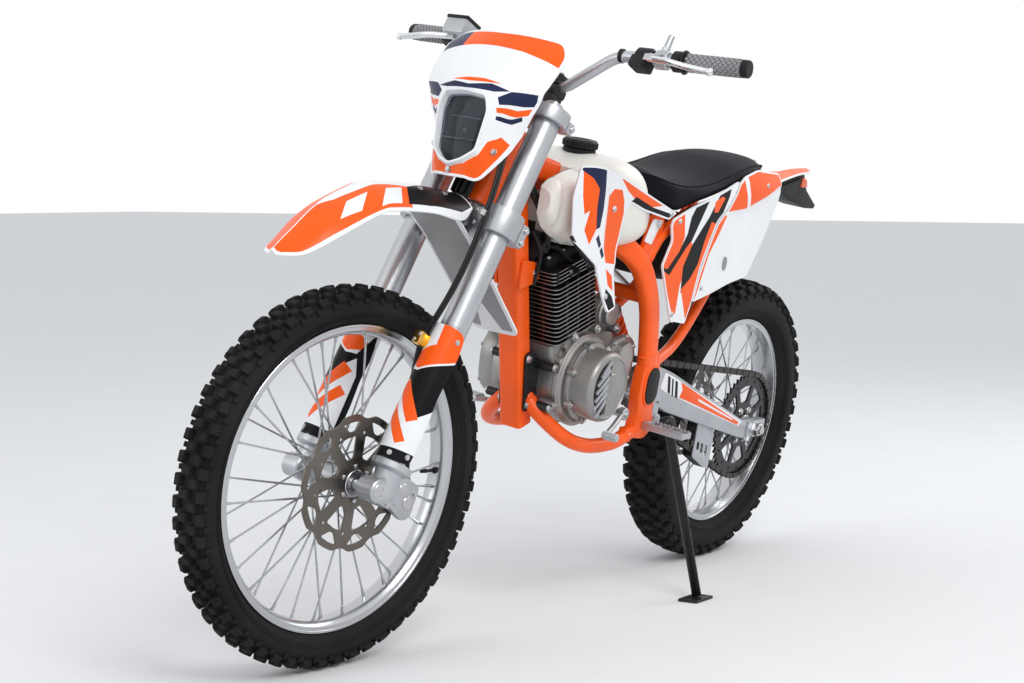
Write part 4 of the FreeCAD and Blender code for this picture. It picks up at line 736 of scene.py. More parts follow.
def run_of(link, places, angles, material):
    """Copies of a link at given places, each turned by its angles."""
    carrier = linked("link", as_mesh("link", link))
    points = bmesh.new()
    for place in places:
        points.verts.new(place)
    made = grown(points, "run", Link=carrier, Material=MATERIALS[material], angles=angles)
    bpy.data.objects.remove(carrier)
    return made


# Finishing a piece


def finished(name, made, place, material, body, replaces=(), smooth=35, wall=0.0, level=0):
    """Object at the origin with its place in its mesh, its walls and finish applied."""
    if not wall:
        bmesh.ops.recalc_face_normals(made, faces=made.faces)
    mesh = as_mesh(name, moved(made, place))
    piece = linked(name, mesh)
    for item in [material] if isinstance(material, str) else material:
        mesh.materials.append(MATERIALS[item])
    if wall:
        solid = piece.modifiers.new("Wall", "SOLIDIFY")
        solid.thickness = wall * MM
        solid.offset = -1
    if level:
        rounder = piece.modifiers.new("Round", "SUBSURF")
        rounder.levels = level
        rounder.render_levels = level
    bake(piece)
    piece.data.shade_smooth()
    piece.data.set_sharp_from_angle(angle=math.radians(smooth))
    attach(piece, body)
    if replaces:
        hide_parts(*([replaces] if isinstance(replaces, str) else replaces))
    return piece


def on_frame(name, made, material, node=(), smooth=35, **more):
    """Piece drawn upright that sits on the frame."""
    return finished(name, made, UPRIGHT, material, "chassis", node, smooth, **more)


def on_fork(name, made, material, node=(), smooth=35, **more):
    """Piece drawn in the fork's frame, which turns with it."""
    return finished(name, made, FORK, material, "steering", node, smooth, **more)


def frame_bolts(name, *parts):
    on_frame(name, joined(*parts), "bolt_steel", smooth=30)


def fork_bolts(name, *parts):
    on_fork(name, joined(*parts), "bolt_steel", smooth=30)


def bake(piece):
    """Turns the modifiers' result into the piece's plain mesh."""
    if not piece.modifiers:
        return
    graph = bpy.context.evaluated_depsgraph_get()
    mesh = bpy.data.meshes.new_from_object(piece.evaluated_get(graph))
    piece.modifiers.clear()
    old = piece.data
    piece.data = mesh
    bpy.data.meshes.remove(old)


def dressed(node, material):
    """Clean smooth copy of a CAD node, shown in its place with a better finish."""
    source = frame["nodes"][node]
    made = bmesh.new()
    made.from_mesh(source.data)
    bmesh.ops.remove_doubles(made, verts=made.verts, dist=0.00002)
    bmesh.ops.dissolve_degenerate(made, edges=made.edges, dist=0.000005)
    bmesh.ops.recalc_face_normals(made, faces=made.faces)
    mesh = as_mesh(node + "_shown", made)
    mesh.materials.append(MATERIALS[material])
    mesh.shade_smooth()
    mesh.set_sharp_from_angle(angle=math.radians(32))
    piece = linked(node + "_shown", mesh)
    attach(piece, source["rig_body"])
    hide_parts(node)


# The stage


class BIKE_OT_stage(bpy.types.Operator):
    """Pale floor, soft lamps and the camera at the photograph's angle"""

    bl_idname = "bike.stage"
    bl_label = "Stage"

    def execute(self, context):
        scene = context.scene
        scene.view_settings.view_transform = "Standard"
        make_floor()
        make_light("Key", (2.6, 3.6, 4.2), 2.6, 125)
        make_light("Fill", (3.8, -2.4, 2.2), 3.2, 30)
        make_light("Back", (-3.6, 1.2, 3.2), 2.6, 45)
        make_world(scene)
        make_camera(scene)
        return {"FINISHED"}


def linked(name, data):
    """Object with this data, in the scene."""
    made = bpy.data.objects.new(name, data)
    bpy.context.scene.collection.objects.link(made)
    return made


def as_mesh(name, made):
    """Blender mesh from a drawn one, which is freed."""
    mesh = bpy.data.meshes.new(name)
    made.to_mesh(mesh)
    made.free()
    return mesh


def make_floor():
    made = bmesh.new()
    bmesh.ops.create_grid(made, x_segments=1, y_segments=1, size=40)
    floor = linked("floor", as_mesh("floor", made))
    pale = view_settings().floor
    made = Nodes("floor_pale")
    made.feed(made.ramp(made.noise(6, 5), shade(pale, 0.985), pale), "Base Color")
    made.shader_values(Roughness=0.9)
    floor.data.materials.append(made.material)


def make_light(name, place, size, power):
    lamp = bpy.data.lights.new(name, "AREA")
    lamp.shape = "DISK"
    lamp.size = size
    lamp.energy = power
    holder = linked(name, lamp)
    holder.location = place
    holder.rotation_euler = (Vector((0, 0, 0.5)) - Vector(place)).to_track_quat("-Z", "Y").to_euler()


def wire(tree, *links):
    """Joins nodes; each link is a node, its output, another node and its input."""
    for source, output, target, entry in links:
        tree.links.new(source.outputs[output], target.inputs[entry])


def make_world(scene):
    """Soft grey light, seen as white by the camera and in metal and glass."""
    world = bpy.data.worlds.new("soft")
    world.use_nodes = True
    tree = world.node_tree
    soft = tree.nodes["Background"]
    soft.inputs["Color"].default_value = (0.93, 0.96, 1.0, 1)
    soft.inputs["Strength"].default_value = 0.8
    white = tree.nodes.new("ShaderNodeBackground")
    white.inputs["Color"].default_value = (1, 1, 1, 1)
    white.inputs["Strength"].default_value = 1
    rays = tree.nodes.new("ShaderNodeLightPath")
    seen, shown = rays, "Is Camera Ray"
    for other in ("Is Glossy Ray", "Is Transmission Ray"):
        larger = tree.nodes.new("ShaderNodeMath")
        larger.operation = "MAXIMUM"
        wire(tree, (seen, shown, larger, 0), (rays, other, larger, 1))
        seen, shown = larger, 0
    blend = tree.nodes.new("ShaderNodeMixShader")
    wire(
        tree, (seen, shown, blend, "Fac"), (soft, 0, blend, 1), (white, 0, blend, 2),
        (blend, 0, tree.nodes["World Output"], "Surface"),
    )
    scene.world = world


def make_camera(scene):
    settings = view_settings()
    camera = bpy.data.cameras.new("Camera")
    camera.sensor_width = 36
    camera.lens = settings.lens
    holder = linked("Camera", camera)
    holder.location = settings.place
    holder.rotation_euler = settings.turn
    scene.camera = holder


# Wheels, drawn about the axle: Z to the bike's left, X ahead

TYRES = {
    "front": {
        "casing": (
            (272.6, 21), (281.6, 21.2), (286, 26), (292, 33), (300, 38.4), (308, 40), (318, 38.6),
            (326, 34), (332, 27), (335.5, 18), (337, 7),
        ),
        "rows": 54,
        "knobs": (
            (349, 0, 0, 14, 19, 0), (345.8, 20.5, 12, 15, 12, 0.5), (338, 35, 42, 19, 14, 0.03),
            (326, 40.4, 70, 9, 9, 0.5),
        ),
        "rib": (296, 36.4),
    },
    "rear": {
        "casing": (
            (234.2, 27.4), (243.6, 27.7), (248, 33), (255, 43), (264, 50), (276, 52.5), (288, 52),
            (298, 49), (306, 43), (312.5, 34), (316.5, 21), (318, 8),
        ),
        "rows": 46,
        "knobs": (
            (330, 0, 0, 15, 25, 0), (326.9, 29, 9, 16, 18, 0.5), (318.8, 46.5, 40, 22, 16, 0.03),
            (303, 52, 66, 10, 10, 0.5),
        ),
        "rib": (259, 47.6),
    },
}


def knob(radius, side, lean, span, width, share, rows):
    """Tapered tread block whose top middle stands at one radius and side."""
    made = box((-12, -width / 2, -span / 2), (0, width / 2, span / 2))
    for vert in made.verts:
        if vert.co.x < -6:
            vert.co.y *= 1.18
            vert.co.z *= 1.14
    tops = [item for item in made.edges if min(vert.co.x for vert in item.verts) > -1]
    bmesh.ops.bevel(made, geom=tops, offset=1.2, segments=1, affect="EDGES")
    stand = Matrix.Translation((radius, 0, side)) @ Matrix.Rotation(-math.radians(lean), 4, "Y")
    turn = Matrix.Rotation(share * 2 * math.pi / rows, 4, "Z")
    return moved(made, turn @ stand @ Matrix.Rotation(math.pi / 2, 4, "X"))


def make_tyre(name, frame_place, body):
    shape = TYRES[name]
    casing = turned(with_mirror(shape["casing"]), 108)
    blocks = []
    for radius, side, lean, span, width, share in shape["knobs"]:
        for way in (-1, 1) if side else (1,):
            other = share + (0.5 if way < 0 and lean > 20 else 0)
            blocks.append(knob(radius, way * side, way * lean, span, width, other, shape["rows"]))
    tread = ring_of(joined(*blocks), shape["rows"], "tyre_rubber")
    radius, side = shape["rib"]
    ribs = []
    for way in (-1, 1):
        for step in (0, 5):
            line = [
                (radius - 1.2, side - 2), (radius - 0.8, side + 0.9), (radius + 1.4, side + 1.3),
                (radius + 2, side - 2),
            ]
            ribs.append(turned([(r + step, way * (z + step * 0.55)) for r, z in line], 108))
    whole = joined(casing, tread, *ribs)
    finished(name + "_tyre_shown", whole, frame_place, "tyre_rubber", body, name + "_tyre", smooth=38)


RIMS = {"front": (281, 24.5), "rear": (242.5, 31)}


def make_rim(name, frame_place, body):
    radius, half = RIMS[name]
    side = [
        (radius - 18, 9), (radius - 14.5, 12.4), (radius - 9, 14.2), (radius - 8.8, half - 3),
        (radius - 1, half - 3), (radius, half - 2.2), (radius, half - 0.7), (radius - 0.8, half),
        (radius - 4.5, half), (radius - 5.2, half - 0.9), (radius - 11.5, half - 1.1),
        (radius - 13, half - 2), (radius - 20.2, 13.2), (radius - 21, 10.5),
    ]
    whole = turned(with_mirror(side), 120)
    finished(name + "_rim_shown", whole, frame_place, "rim_aluminium", body, name + "_rim", smooth=28)


def spoke_group(name, half):
    """Four spokes and their nipples, two on either flange, as one ninth of the wheel."""
    inside = RIMS[name][0] - 21
    parts = []
    for side in (-1, 1):
        for index in (0, 1):
            lean = 1 if index else -1
            angle = math.radians(index * 20 + (10 if side > 0 else 0))
            end_angle = angle + lean * math.radians(58)
            root = Vector((29 * math.cos(angle), 29 * math.sin(angle), side * (half - 3 + lean * 3.4)))
            end = Vector((inside * math.cos(end_angle), inside * math.sin(end_angle), side * 5))
            back = (root - end).normalized()
            parts.append(rod(root, end, 1.9, 8))
            parts.append(rod(end - back * 2, end + back * 15, 3.3, 8, 2.6, 0.5))
            out = Vector((0, 0, side * lean))
            parts.append(rod(root - out, root + out * 3, 3.2, 8, edge=0.8))
    return joined(*parts)


HUBS = {
    "front": (
        (10.9, -33), (32.5, -33), (34, -31.5), (34, -28), (31, -26.6), (24, -21), (22, -14), (22, 12),
        (25, 21), (32, 26.4), (34, 28), (34, 33), (31.5, 34.5), (31.5, 42), (34, 44), (34, 47.9),
        (10.9, 47.9),
    ),
    "rear": (
        (10.9, -65.9), (34, -65.9), (34, -62), (30, -59), (30, -46), (34, -43), (34, -37), (27, -30),
        (23, -18), (23, 20), (28, 31), (34, 36), (34, 43), (30, 46), (30, 60), (34, 63), (34, 66.9),
        (10.9, 66.9),
    ),
}


def make_hub(name, frame_place, body):
    half = 33 if name == "front" else 42
    spokes = ring_of(spoke_group(name, half), 9, "spoke_steel")
    finished(name + "_spokes", spokes, frame_place, "spoke_steel", body, smooth=40)
    hub = turned(HUBS[name], 64)
    finished(name + "_hub_shown", hub, frame_place, "cast_aluminium", body, name + "_hub", smooth=30)
    radius = RIMS[name][0] - 21
    valve = rod((radius + 1, 0, 3), (radius - 30, 0, 3), 3.4, 12, 3.0, 0.4)
    cap = rod((radius - 24, 0, 3), (radius - 40, 0, 3), 4.2, 12, 3.6, 0.8)
    nut = rod((radius + 1, 0, 3), (radius - 5, 0, 3), 6.6, 6, edge=0.5)
    turn = Matrix.Rotation(math.radians(205 if name == "front" else 20), 4, "Z")
    finished(name + "_valve", joined(valve, cap, nut), frame_place @ turn, "black_plastic", body, smooth=40)


def wavy(radius, depth, lobes):
    """Round outline with scallops between its lobes."""
    return [
        polar(radius - depth * max(0.0, math.cos(lobes * turn)) ** 0.8, turn) for turn in even_turns(180)
    ]


def round_holes(radius, hole, count, phase=0.0):
    spots = [polar(radius, turn) for turn in even_turns(count, phase)]
    return [[(x + a, y + b) for a, b in circle(hole, 20)] for x, y in spots]


def windows(inner, outer, count, inner_turn, outer_turn, phase=0.0):
    """Rounded openings round a disc; the turns are half the angle each takes at its two radii."""
    result = []
    for turn in even_turns(count, phase):
        corners = [polar(inner, turn + a) for a in (-inner_turn, inner_turn)]
        corners += [polar(outer, turn + a) for a in (outer_turn, 0, -outer_turn)]
        result.append(rounded(corners, 5, 3))
    return result


def make_disc(name, frame_place, body, radius, place):
    """Scalloped disc on its spread carrier, held by a ring of bolts."""
    step = math.pi / 10
    cuts = windows(47, radius - 38, 8, 0.17, 0.27) + windows(radius - 30, radius - 12, 10, 0.06, 0.2, step)
    cuts += round_holes(radius - 33, 3.4, 10) + round_holes(radius - 33, 1.6, 10, step)
    ring_part = plate([wavy(radius, 7, 10), circle(28.5, 64), *cuts], place - 1.9, place + 1.9)
    finished(name + "_shown", ring_part, frame_place, "disc_steel", body, name, smooth=30)
    out = 1 if place > 0 else -1
    head = rod((31.4, 0, place + out * 1.8), (31.4, 0, place + out * 5.6), 4.8, 12, 4.2, 0.6)
    socket = rod((31.4, 0, place + out * 5.4), (31.4, 0, place + out * 6), 2.6, 6)
    bolts = ring_of(joined(head, socket), 6, "bolt_steel")
    collar = ring((0, 0, place + out * 1.8), (0, 0, place + out * 6), 25, 12, 40)
    finished(name + "_bolts", joined(bolts, collar), frame_place, "bolt_steel", body, smooth=30)


CHAIN_PLACE = 70
REAR_PITCH_RADIUS = 121.4
FRONT_PITCH_RADIUS = 33.2
DRIVE_SHAFT = Vector((640, 0, 505))
LINK_COUNT = 114
SPROCKET_HALF = 2.6
FRONT_DISC_SIDE = 50
HALF_PITCH = 7.94


def toothed(root, tip, teeth, phase=0.0):
    """Outline of a chain wheel: round valleys between tapered teeth."""
    rise = (0, 0.04, 0.3, 0.85, 1, 0.85, 0.3, 0.04)
    turns = even_turns(teeth * len(rise), phase)
    return [polar(root + (tip - root) * rise[index % len(rise)], turn) for index, turn in enumerate(turns)]


def chain_lines():
    """Start and end angles of the rear arc and length of a straight run, from the tangents."""
    gap = DRIVE_SHAFT - Vector((0, 0, REAR_RADIUS))
    slope = math.atan2(gap.z, gap.x)
    spread = math.acos((REAR_PITCH_RADIUS - FRONT_PITCH_RADIUS) / gap.length)
    run = math.sqrt(gap.length**2 - (REAR_PITCH_RADIUS - FRONT_PITCH_RADIUS) ** 2)
    return slope + spread, slope - spread + 2 * math.pi, run


def chain_pins():
    """Pins on the pitch line, an even distance apart, from the top of the rear sprocket."""
    start, end, run = chain_lines()
    rear = Vector((0, 0, REAR_RADIUS))

    def at(centre, radius, turn):
        x, z = polar(radius, turn)
        return centre + Vector((x, 0, z))

    high = (at(DRIVE_SHAFT, FRONT_PITCH_RADIUS, start), at(rear, REAR_PITCH_RADIUS, start))
    low = (at(rear, REAR_PITCH_RADIUS, end), at(DRIVE_SHAFT, FRONT_PITCH_RADIUS, end))
    parts = (
        (
            (end - start) * REAR_PITCH_RADIUS,
            lambda way: at(rear, REAR_PITCH_RADIUS, start + way / REAR_PITCH_RADIUS),
        ),
        (run, lambda way: low[0].lerp(low[1], way / run)),
        (
            (2 * math.pi - (end - start)) * FRONT_PITCH_RADIUS,
            lambda way: at(DRIVE_SHAFT, FRONT_PITCH_RADIUS, end + way / FRONT_PITCH_RADIUS),
        ),
        (run, lambda way: high[0].lerp(high[1], way / run)),
    )
    step = sum(span for span, _ in parts) / LINK_COUNT
    pins = []
    for index in range(LINK_COUNT):
        along = index * step
        for span, place in parts:
            if along < span:
                break
            along -= span
        pins.append(place(along))
    return pins


def link_plate(side, wall):
    """Waisted chain plate standing at one side of the chain."""
    outline = []
    for end in (1, -1):
        for step in range(-3, 4):
            x, z = polar(6.9, math.radians(step * 28))
            outline.append((end * (HALF_PITCH + x), end * z))
        outline.append((0, end * 5.2))
    return slab(outline, side - wall / 2, side + wall / 2)


def make_chain():
    pins = chain_pins()
    middles = []
    turns = []
    for here, follower in zip(pins, pins[1:] + pins[:1]):
        way = follower - here
        middles.append((here + follower) / 2 + Vector((0, CHAIN_PLACE, 0)))
        turns.append((0, -math.atan2(way.z, way.x), 0))
    runs = []
    for first, side, wall, half, radius, sides, edge in (
        (0, 7.4, 2, 9, 2.6, 10, 0.5), (1, 4.6, 1.9, 4, 4.6, 12, 0),
    ):
        link = [link_plate(place, wall) for place in (-side, side)]
        link += [pin(end, 0, -half, half, radius, sides, edge) for end in (-HALF_PITCH, HALF_PITCH)]
        runs.append(run_of(joined(*link), middles[first::2], turns[first::2], "chain_steel"))
    on_frame("chain_shown", joined(*runs), "chain_steel", "chain", smooth=30)


class BIKE_OT_wheels(bpy.types.Operator):
    """Tyres with tread blocks, rims, laced spokes, hubs, discs and the rear sprocket"""

    bl_idname = "bike.wheels"
    bl_label = "Wheels"

    def execute(self, context):
        for name, place, body in (("front", FRONT_WHEEL, "front_wheel"), ("rear", REAR_WHEEL, "rear_wheel")):
            make_tyre(name, place, body)
            make_rim(name, place, body)
            make_hub(name, place, body)
        make_disc("front_disc", FRONT_WHEEL, "front_wheel", 125, FRONT_DISC_SIDE)
        make_disc("rear_disc", REAR_WHEEL, "rear_wheel", 110, -68)
        make_rear_sprocket()
        return {"FINISHED"}


def make_rear_sprocket():
    """Toothed wheel in step with the chain, with bored windows and six bolts."""
    phase = chain_lines()[0]
    cuts = windows(54, 94, 8, 0.25, 0.32, phase) + round_holes(104.5, 3.4, 16, phase)
    outline = toothed(116.6, 125.6, 48, phase)
    wheel = plate(
        [outline, circle(28.5, 64), *cuts], CHAIN_PLACE - SPROCKET_HALF, CHAIN_PLACE + SPROCKET_HALF,
    )
    finished(
        "rear_sprocket_shown", wheel, REAR_WHEEL, "black_paint", "rear_wheel", "rear_sprocket", smooth=30,
    )
    head = rod((39, 0, CHAIN_PLACE + 2.4), (39, 0, CHAIN_PLACE + 8), 6, 6, edge=0.8)
    washer = rod((39, 0, CHAIN_PLACE + 2.4), (39, 0, CHAIN_PLACE + 3.6), 8, 16)
    bolts = ring_of(joined(head, washer), 6, "bolt_steel")
    collar = ring((0, 0, CHAIN_PLACE + 2.4), (0, 0, CHAIN_PLACE + 11), 26, 12, 40)
    finished("rear_sprocket_bolts", joined(bolts, collar), REAR_WHEEL, "bolt_steel", "rear_wheel", smooth=30)


class BIKE_OT_drive(bpy.types.Operator):
    """Chain of separate links round both sprockets"""

    bl_idname = "bike.drive"
    bl_label = "Chain"

    def execute(self, context):
        make_chain()
        small = plate(
            [toothed(27.5, 37, 13), circle(12, 32)], CHAIN_PLACE - SPROCKET_HALF,
            CHAIN_PLACE + SPROCKET_HALF,
        )
        boss = rod((0, 0, 56), (0, 0, CHAIN_PLACE + 5), 17, 32, edge=1)
        place = UPRIGHT @ Matrix.Translation(DRIVE_SHAFT) @ SIDEWAYS
        finished(
            "drive_sprocket_shown", joined(small, boss), place, "chain_steel", "chassis", "drive_sprocket",
            smooth=30,
        )
        return {"FINISHED"}


# Fork and bars, drawn in the fork's frame: X ahead, Z up the steering line

TUBE_AHEAD = 21.5
TUBE_SIDE = 98


def leg(profile):
    """Turned piece about the left fork leg."""
    return shifted(turned(profile, 48, closed=False), (TUBE_AHEAD, TUBE_SIDE, 0))


def make_fork_legs():
    tube = leg([
        (0, 678), (24.8, 678), (26, 679.4), (26, 692), (25.4, 692.6), (25.4, 694), (26, 694.6), (26, 1146),
        (25, 1149), (18, 1150), (16.8, 1151), (16.8, 1156.8), (15.6, 1158), (0, 1158),
    ])
    on_fork("fork_tubes_shown", both(tube), "fork_aluminium", "fork_tubes", smooth=30)
    nut = rod((TUBE_AHEAD, TUBE_SIDE, 1157), (TUBE_AHEAD, TUBE_SIDE, 1161), 9, 6, edge=0.6)
    dial = rod((TUBE_AHEAD, TUBE_SIDE, 1160), (TUBE_AHEAD, TUBE_SIDE, 1164), 4, 12, edge=0.5)
    fork_bolts("fork_caps", both(nut, dial))
    seal = leg([(0, 664), (24.5, 664), (25.5, 665.5), (25.5, 677.5), (0, 678)])
    on_fork("fork_seals", both(seal), "hose_rubber", smooth=30)


def make_fork_feet():
    ahead, up = AXLE_LEAD, FRONT_AXLE_UP
    slider = leg([(0, 420), (21.4, 420), (21.4, 677), (0, 677)])
    body = leg([
        (0, 354), (19, 354), (23, 358), (24.8, 372), (24.8, 405), (27, 411), (35.5, 415.6), (37, 417.4),
        (37, 427.6), (35.6, 429), (22, 429), (21.5, 434), (0, 434),
    ])
    heel = box((2, 79, up - 20), (ahead + 2, 117, up + 27), 6)
    lug = pin(ahead, up, 76, 118, 22, 40, edge=2.5)
    neck = box((4, 84, up + 20), (40, 112, up + 44), 9)
    rib = box((-8, 94, up - 6), (6, 102, up + 50), 3)
    foot = joined(body, heel, lug, neck, rib)
    axle = pin(ahead, up, -101.5, 101.5, 10, 24, edge=1)
    whole = joined(both(foot), axle)
    on_fork("fork_lowers_shown", whole, "cast_aluminium", "fork_lowers", smooth=38)
    on_fork("fork_sliders", both(slider), "chrome", smooth=30)
    parts = []
    for height in (up - 12, up + 13):
        parts.append(bolt((ahead - 30, 117, height), (0, 1, 0), 5))
    cup = ring((ahead, 117, up), (ahead, 119, up), 15.5, 8.5, 32, 0.7)
    end = pin(ahead, up, 116, 118.4, 9, 6)
    fork_bolts("fork_foot_bolts", both(cup, end, *parts))


GUARD_RADIUS = 36.9
GUARD_SWELL = 0.04
GUARD_EDGE = (
    (-62, 688), (-30, 690), (30, 690), (56, 684), (62, 650), (55, 560), (60, 500), (60, 431), (-60, 431),
    (-62, 500), (-56, 560), (-63, 640),
)
GUARD_BLOCKS = (
    (1, ((8, 700), (70, 700), (70, 640), (-6, 600), (-44, 612), (-40, 626), (10, 650))),
    (2, ((70, 636), (70, 548), (30, 512), (-2, 560), (-40, 600), (-6, 596))),
    (1, ((-34, 566), (18, 500), (36, 512), (-12, 578))),
    (1, ((-40, 522), (14, 458), (30, 468), (-24, 534))),
    (2, ((-70, 650), (-46, 640), (-28, 600), (-44, 560), (-48, 440), (-70, 440))),
    (2, ((-70, 446), (70, 452), (70, 425), (-70, 425))),
)


def guard_surface(around, height):
    """Side of the guard, which swells a little between its ends."""
    flare = 1 + GUARD_SWELL * math.sin((height - 431) / 259 * math.pi)
    ahead, side = polar(GUARD_RADIUS / (1 + GUARD_SWELL) * flare, around / GUARD_RADIUS)
    return (TUBE_AHEAD + ahead, TUBE_SIDE + side, height)


def make_fork_guards():
    guard = panel(GUARD_EDGE, guard_surface, (1, 0.5, 0), 8, blocks=GUARD_BLOCKS, corner=14)
    for face in guard.faces:
        face.normal_update()
        middle = face.calc_center_median() - Vector((TUBE_AHEAD, TUBE_SIDE, 0))
        if face.normal.x * middle.x + face.normal.y * middle.y < 0:
            face.normal_flip()
    finishes = ("white_plastic", "orange_plastic", "black_decal")
    on_fork("fork_guards_shown", both(guard), finishes, "fork_guards", wall=2.6, smooth=40)
    bolts = []
    for turn, height in ((70, 668), (74, 444), (20, 440)):
        way = Vector((*polar(1, math.radians(turn)), 0))
        bolts.append(bolt(Vector((TUBE_AHEAD, TUBE_SIDE, height)) + way * 36.4, way, 4.4, 2.6))
    fork_bolts("fork_guard_bolts", both(*bolts))


def softened(made, angle, offset):
    """The same mesh with its sharper edges rounded."""
    sharp = [item for item in made.edges if item.calc_face_angle(0) > angle]
    bmesh.ops.bevel(made, geom=sharp, offset=offset, segments=2, affect="EDGES", profile=0.6)
    return made


def clamp_ring(low, height):
    """Clamp eye round the left tube."""
    eye = plate([circle(38, 40), circle(26.3, 40)], low, low + height)
    return shifted(softened(eye, 0.6, 2.2), (TUBE_AHEAD, TUBE_SIDE, 0))


def make_clamps():
    sides = []
    bridges = []
    bolts = []
    for low, height, counts in ((882, 50, (0.26, 0.74)), (1118, 28, (0.5,))):
        sides.append(clamp_ring(low, height))
        outline = [(-24, 0), (-24, 30), (-14, 52), (6, 74), (43.5, 74), (43.5, 40), (36, 26), (36, 0)]
        bridge = plate([rounded(with_mirror(outline), 6)], low + 4, low + height - 4)
        bridges.append(softened(bridge, 1, 2.5))
        sides.append(box((-30, 91, low + 3), (-12, 121, low + height - 3), 4))
        for share in counts:
            level = low + height * share
            bolts.append(pin(-24, level, 118, 125, 5.4, 16, edge=0.8))
            bolts.append(pin(-24, level, 124.6, 125.2, 2.8, 6))
            bolts.append(bolt((43, 52, level), (1, 0, 0), 4.5, 3.5))
    stem = rod((0, 0, 886), (0, 0, 1147), 15, 32, edge=1)
    whole = joined(both(*sides), *bridges, stem)
    on_fork("fork_clamps_shown", whole, "cast_aluminium", "fork_clamps", smooth=38)
    nut = rod((0, 0, 1142), (0, 0, 1153), 17, 6, edge=1.4)
    washer = rod((0, 0, 1141.5), (0, 0, 1144), 20, 32, edge=0.6)
    fork_bolts("clamp_bolts", both(*bolts), nut, washer)


BAR_HALF = (
    (-60, 416, 1314), (-24.4, 209.1, 1294.6), (-16, 160, 1290), (-17.7, 121.1, 1258.6),
    (-19, 89.3, 1232.9), (-20, 66, 1214), (-20, 36, 1214),
)
BAR_BEND = Vector((-16, 160, 1290))
BAR_TIP = Vector((-60, 416, 1314))
BAR_WAY = (BAR_TIP - BAR_BEND).normalized()


def back_on_bar(distance):
    """Place on the bar's straight left end, measured back from its tip."""
    return BAR_TIP - BAR_WAY * distance


def on_bar(start, length, radius, sides=32, edge=1.0):
    """Sleeve on the bar's straight end."""
    return ring(back_on_bar(start), back_on_bar(start - length), radius, 11.2, sides, edge)


def make_bar():
    half = [Vector(point) for point in BAR_HALF]
    points = [*half, *[Vector((point.x, -point.y, point.z)) for point in reversed(half)]]
    bar = tube(points, 11, 20, steps=8)
    base = box((-36, 36, 1142.4), (-4, 58, 1206), 4)
    cap = box((-38, 34, 1212), (-2, 60, 1235), 5)
    seat_part = box((-38, 34, 1193), (-2, 60, 1211.4), 5)
    on_fork("handlebar_shown", joined(bar), "satin_aluminium", "handlebar", smooth=40)
    posts = both(base, cap, seat_part)
    on_fork("bar_posts", posts, "black_paint", smooth=38)
    bolts = [bolt((x, side, 1234.6), (0, 0, 1), 4.4, 3.4) for x in (-31, -9) for side in (40, 54)]
    fork_bolts("bar_bolts", both(*bolts))


def make_grips():
    """Waffle grips: raised lozenges round a soft sleeve, between a flange and an end cap."""
    length = 126
    start = 126
    sleeve = on_bar(start, length + 2.4, 14.9, sides=40)
    lozenge = box((13.4, -2.9, -2.9), (17.2, 2.9, 2.9), 0.9)
    moved(lozenge, Matrix.Rotation(math.pi / 4, 4, "X"))
    row = ring_of(lozenge, 10, "grip_rubber")
    second = row.copy()
    moved(second, Matrix.Rotation(math.pi / 10, 4, "Z") @ Matrix.Translation((0, 0, 5.3)))
    rows = row_of(joined(row, second), 10, (0, 0, 10.6), "grip_rubber")
    moved(rows, direction_place(back_on_bar(start - 11), BAR_TIP))
    on_fork("grips_shown", both(sleeve, rows), "grip_rubber", "grips", smooth=30)
    flange = on_bar(start, 4.6, 22.4, sides=40, edge=1.6)
    neck = on_bar(start - 4, 5, 17.5, sides=40)
    end = rod(back_on_bar(4), BAR_TIP + BAR_WAY * 4.9, 16.4, 40, edge=1.6)
    band = on_bar(9, 6, 16.6, sides=40)
    on_fork("grip_ends", both(flange, neck, end, band), "black_plastic", smooth=30)


def make_controls():
    """Lever perches, blades with ball ends, switch blocks and the brake reservoir."""
    root = back_on_bar(169)
    pivot = root + Vector((34, 0, -16))
    tip = BAR_TIP + Vector((60, -29, -44))
    bend = pivot + Vector((12, 50, -8))
    start = pivot - Vector((0, 8, 0))
    clamp_part = on_bar(182, 26, 17.8, sides=40, edge=2)
    arm = lofted([
        [root + Vector((8, side, up)) for side, up in ((-12, -12), (12, -12), (12, 8), (-12, 8))],
        [root + Vector((26, side, up - 9)) for side, up in ((-13, -8), (11, -8), (11, 7), (-13, 7))],
        [pivot + Vector((7, side, up)) for side, up in ((-12, -7), (9, -7), (9, 6), (-12, 6))],
    ])
    bmesh.ops.bevel(arm, geom=list(arm.edges), offset=2.2, segments=2, affect="EDGES", profile=0.7)
    on_fork("lever_perches", both(clamp_part, arm), "cast_aluminium", "control_levers")
    blade = tube(
        [start, pivot + Vector((4, 20, -3)), bend, bend.lerp(tip, 0.5) + Vector((3, 0, -3)), tip], 6.4, 14,
        0.62, 8,
    )
    ball = bmesh.new()
    bmesh.ops.create_uvsphere(ball, u_segments=20, v_segments=12, radius=7.4)
    shifted(ball, tip)
    on_fork("lever_blades", both(blade, ball), "chrome", smooth=45)
    bolts = [
        bolt(pivot + Vector((-1, -3, 6)), (0, 0, 1), 5, 3.5),
        bolt(root + Vector((-6, 0, 17)), (-0.4, 0, 1), 4.4, 4),
    ]
    fork_bolts("lever_bolts", both(*bolts))
    make_switches(root)
    make_reservoir(root)


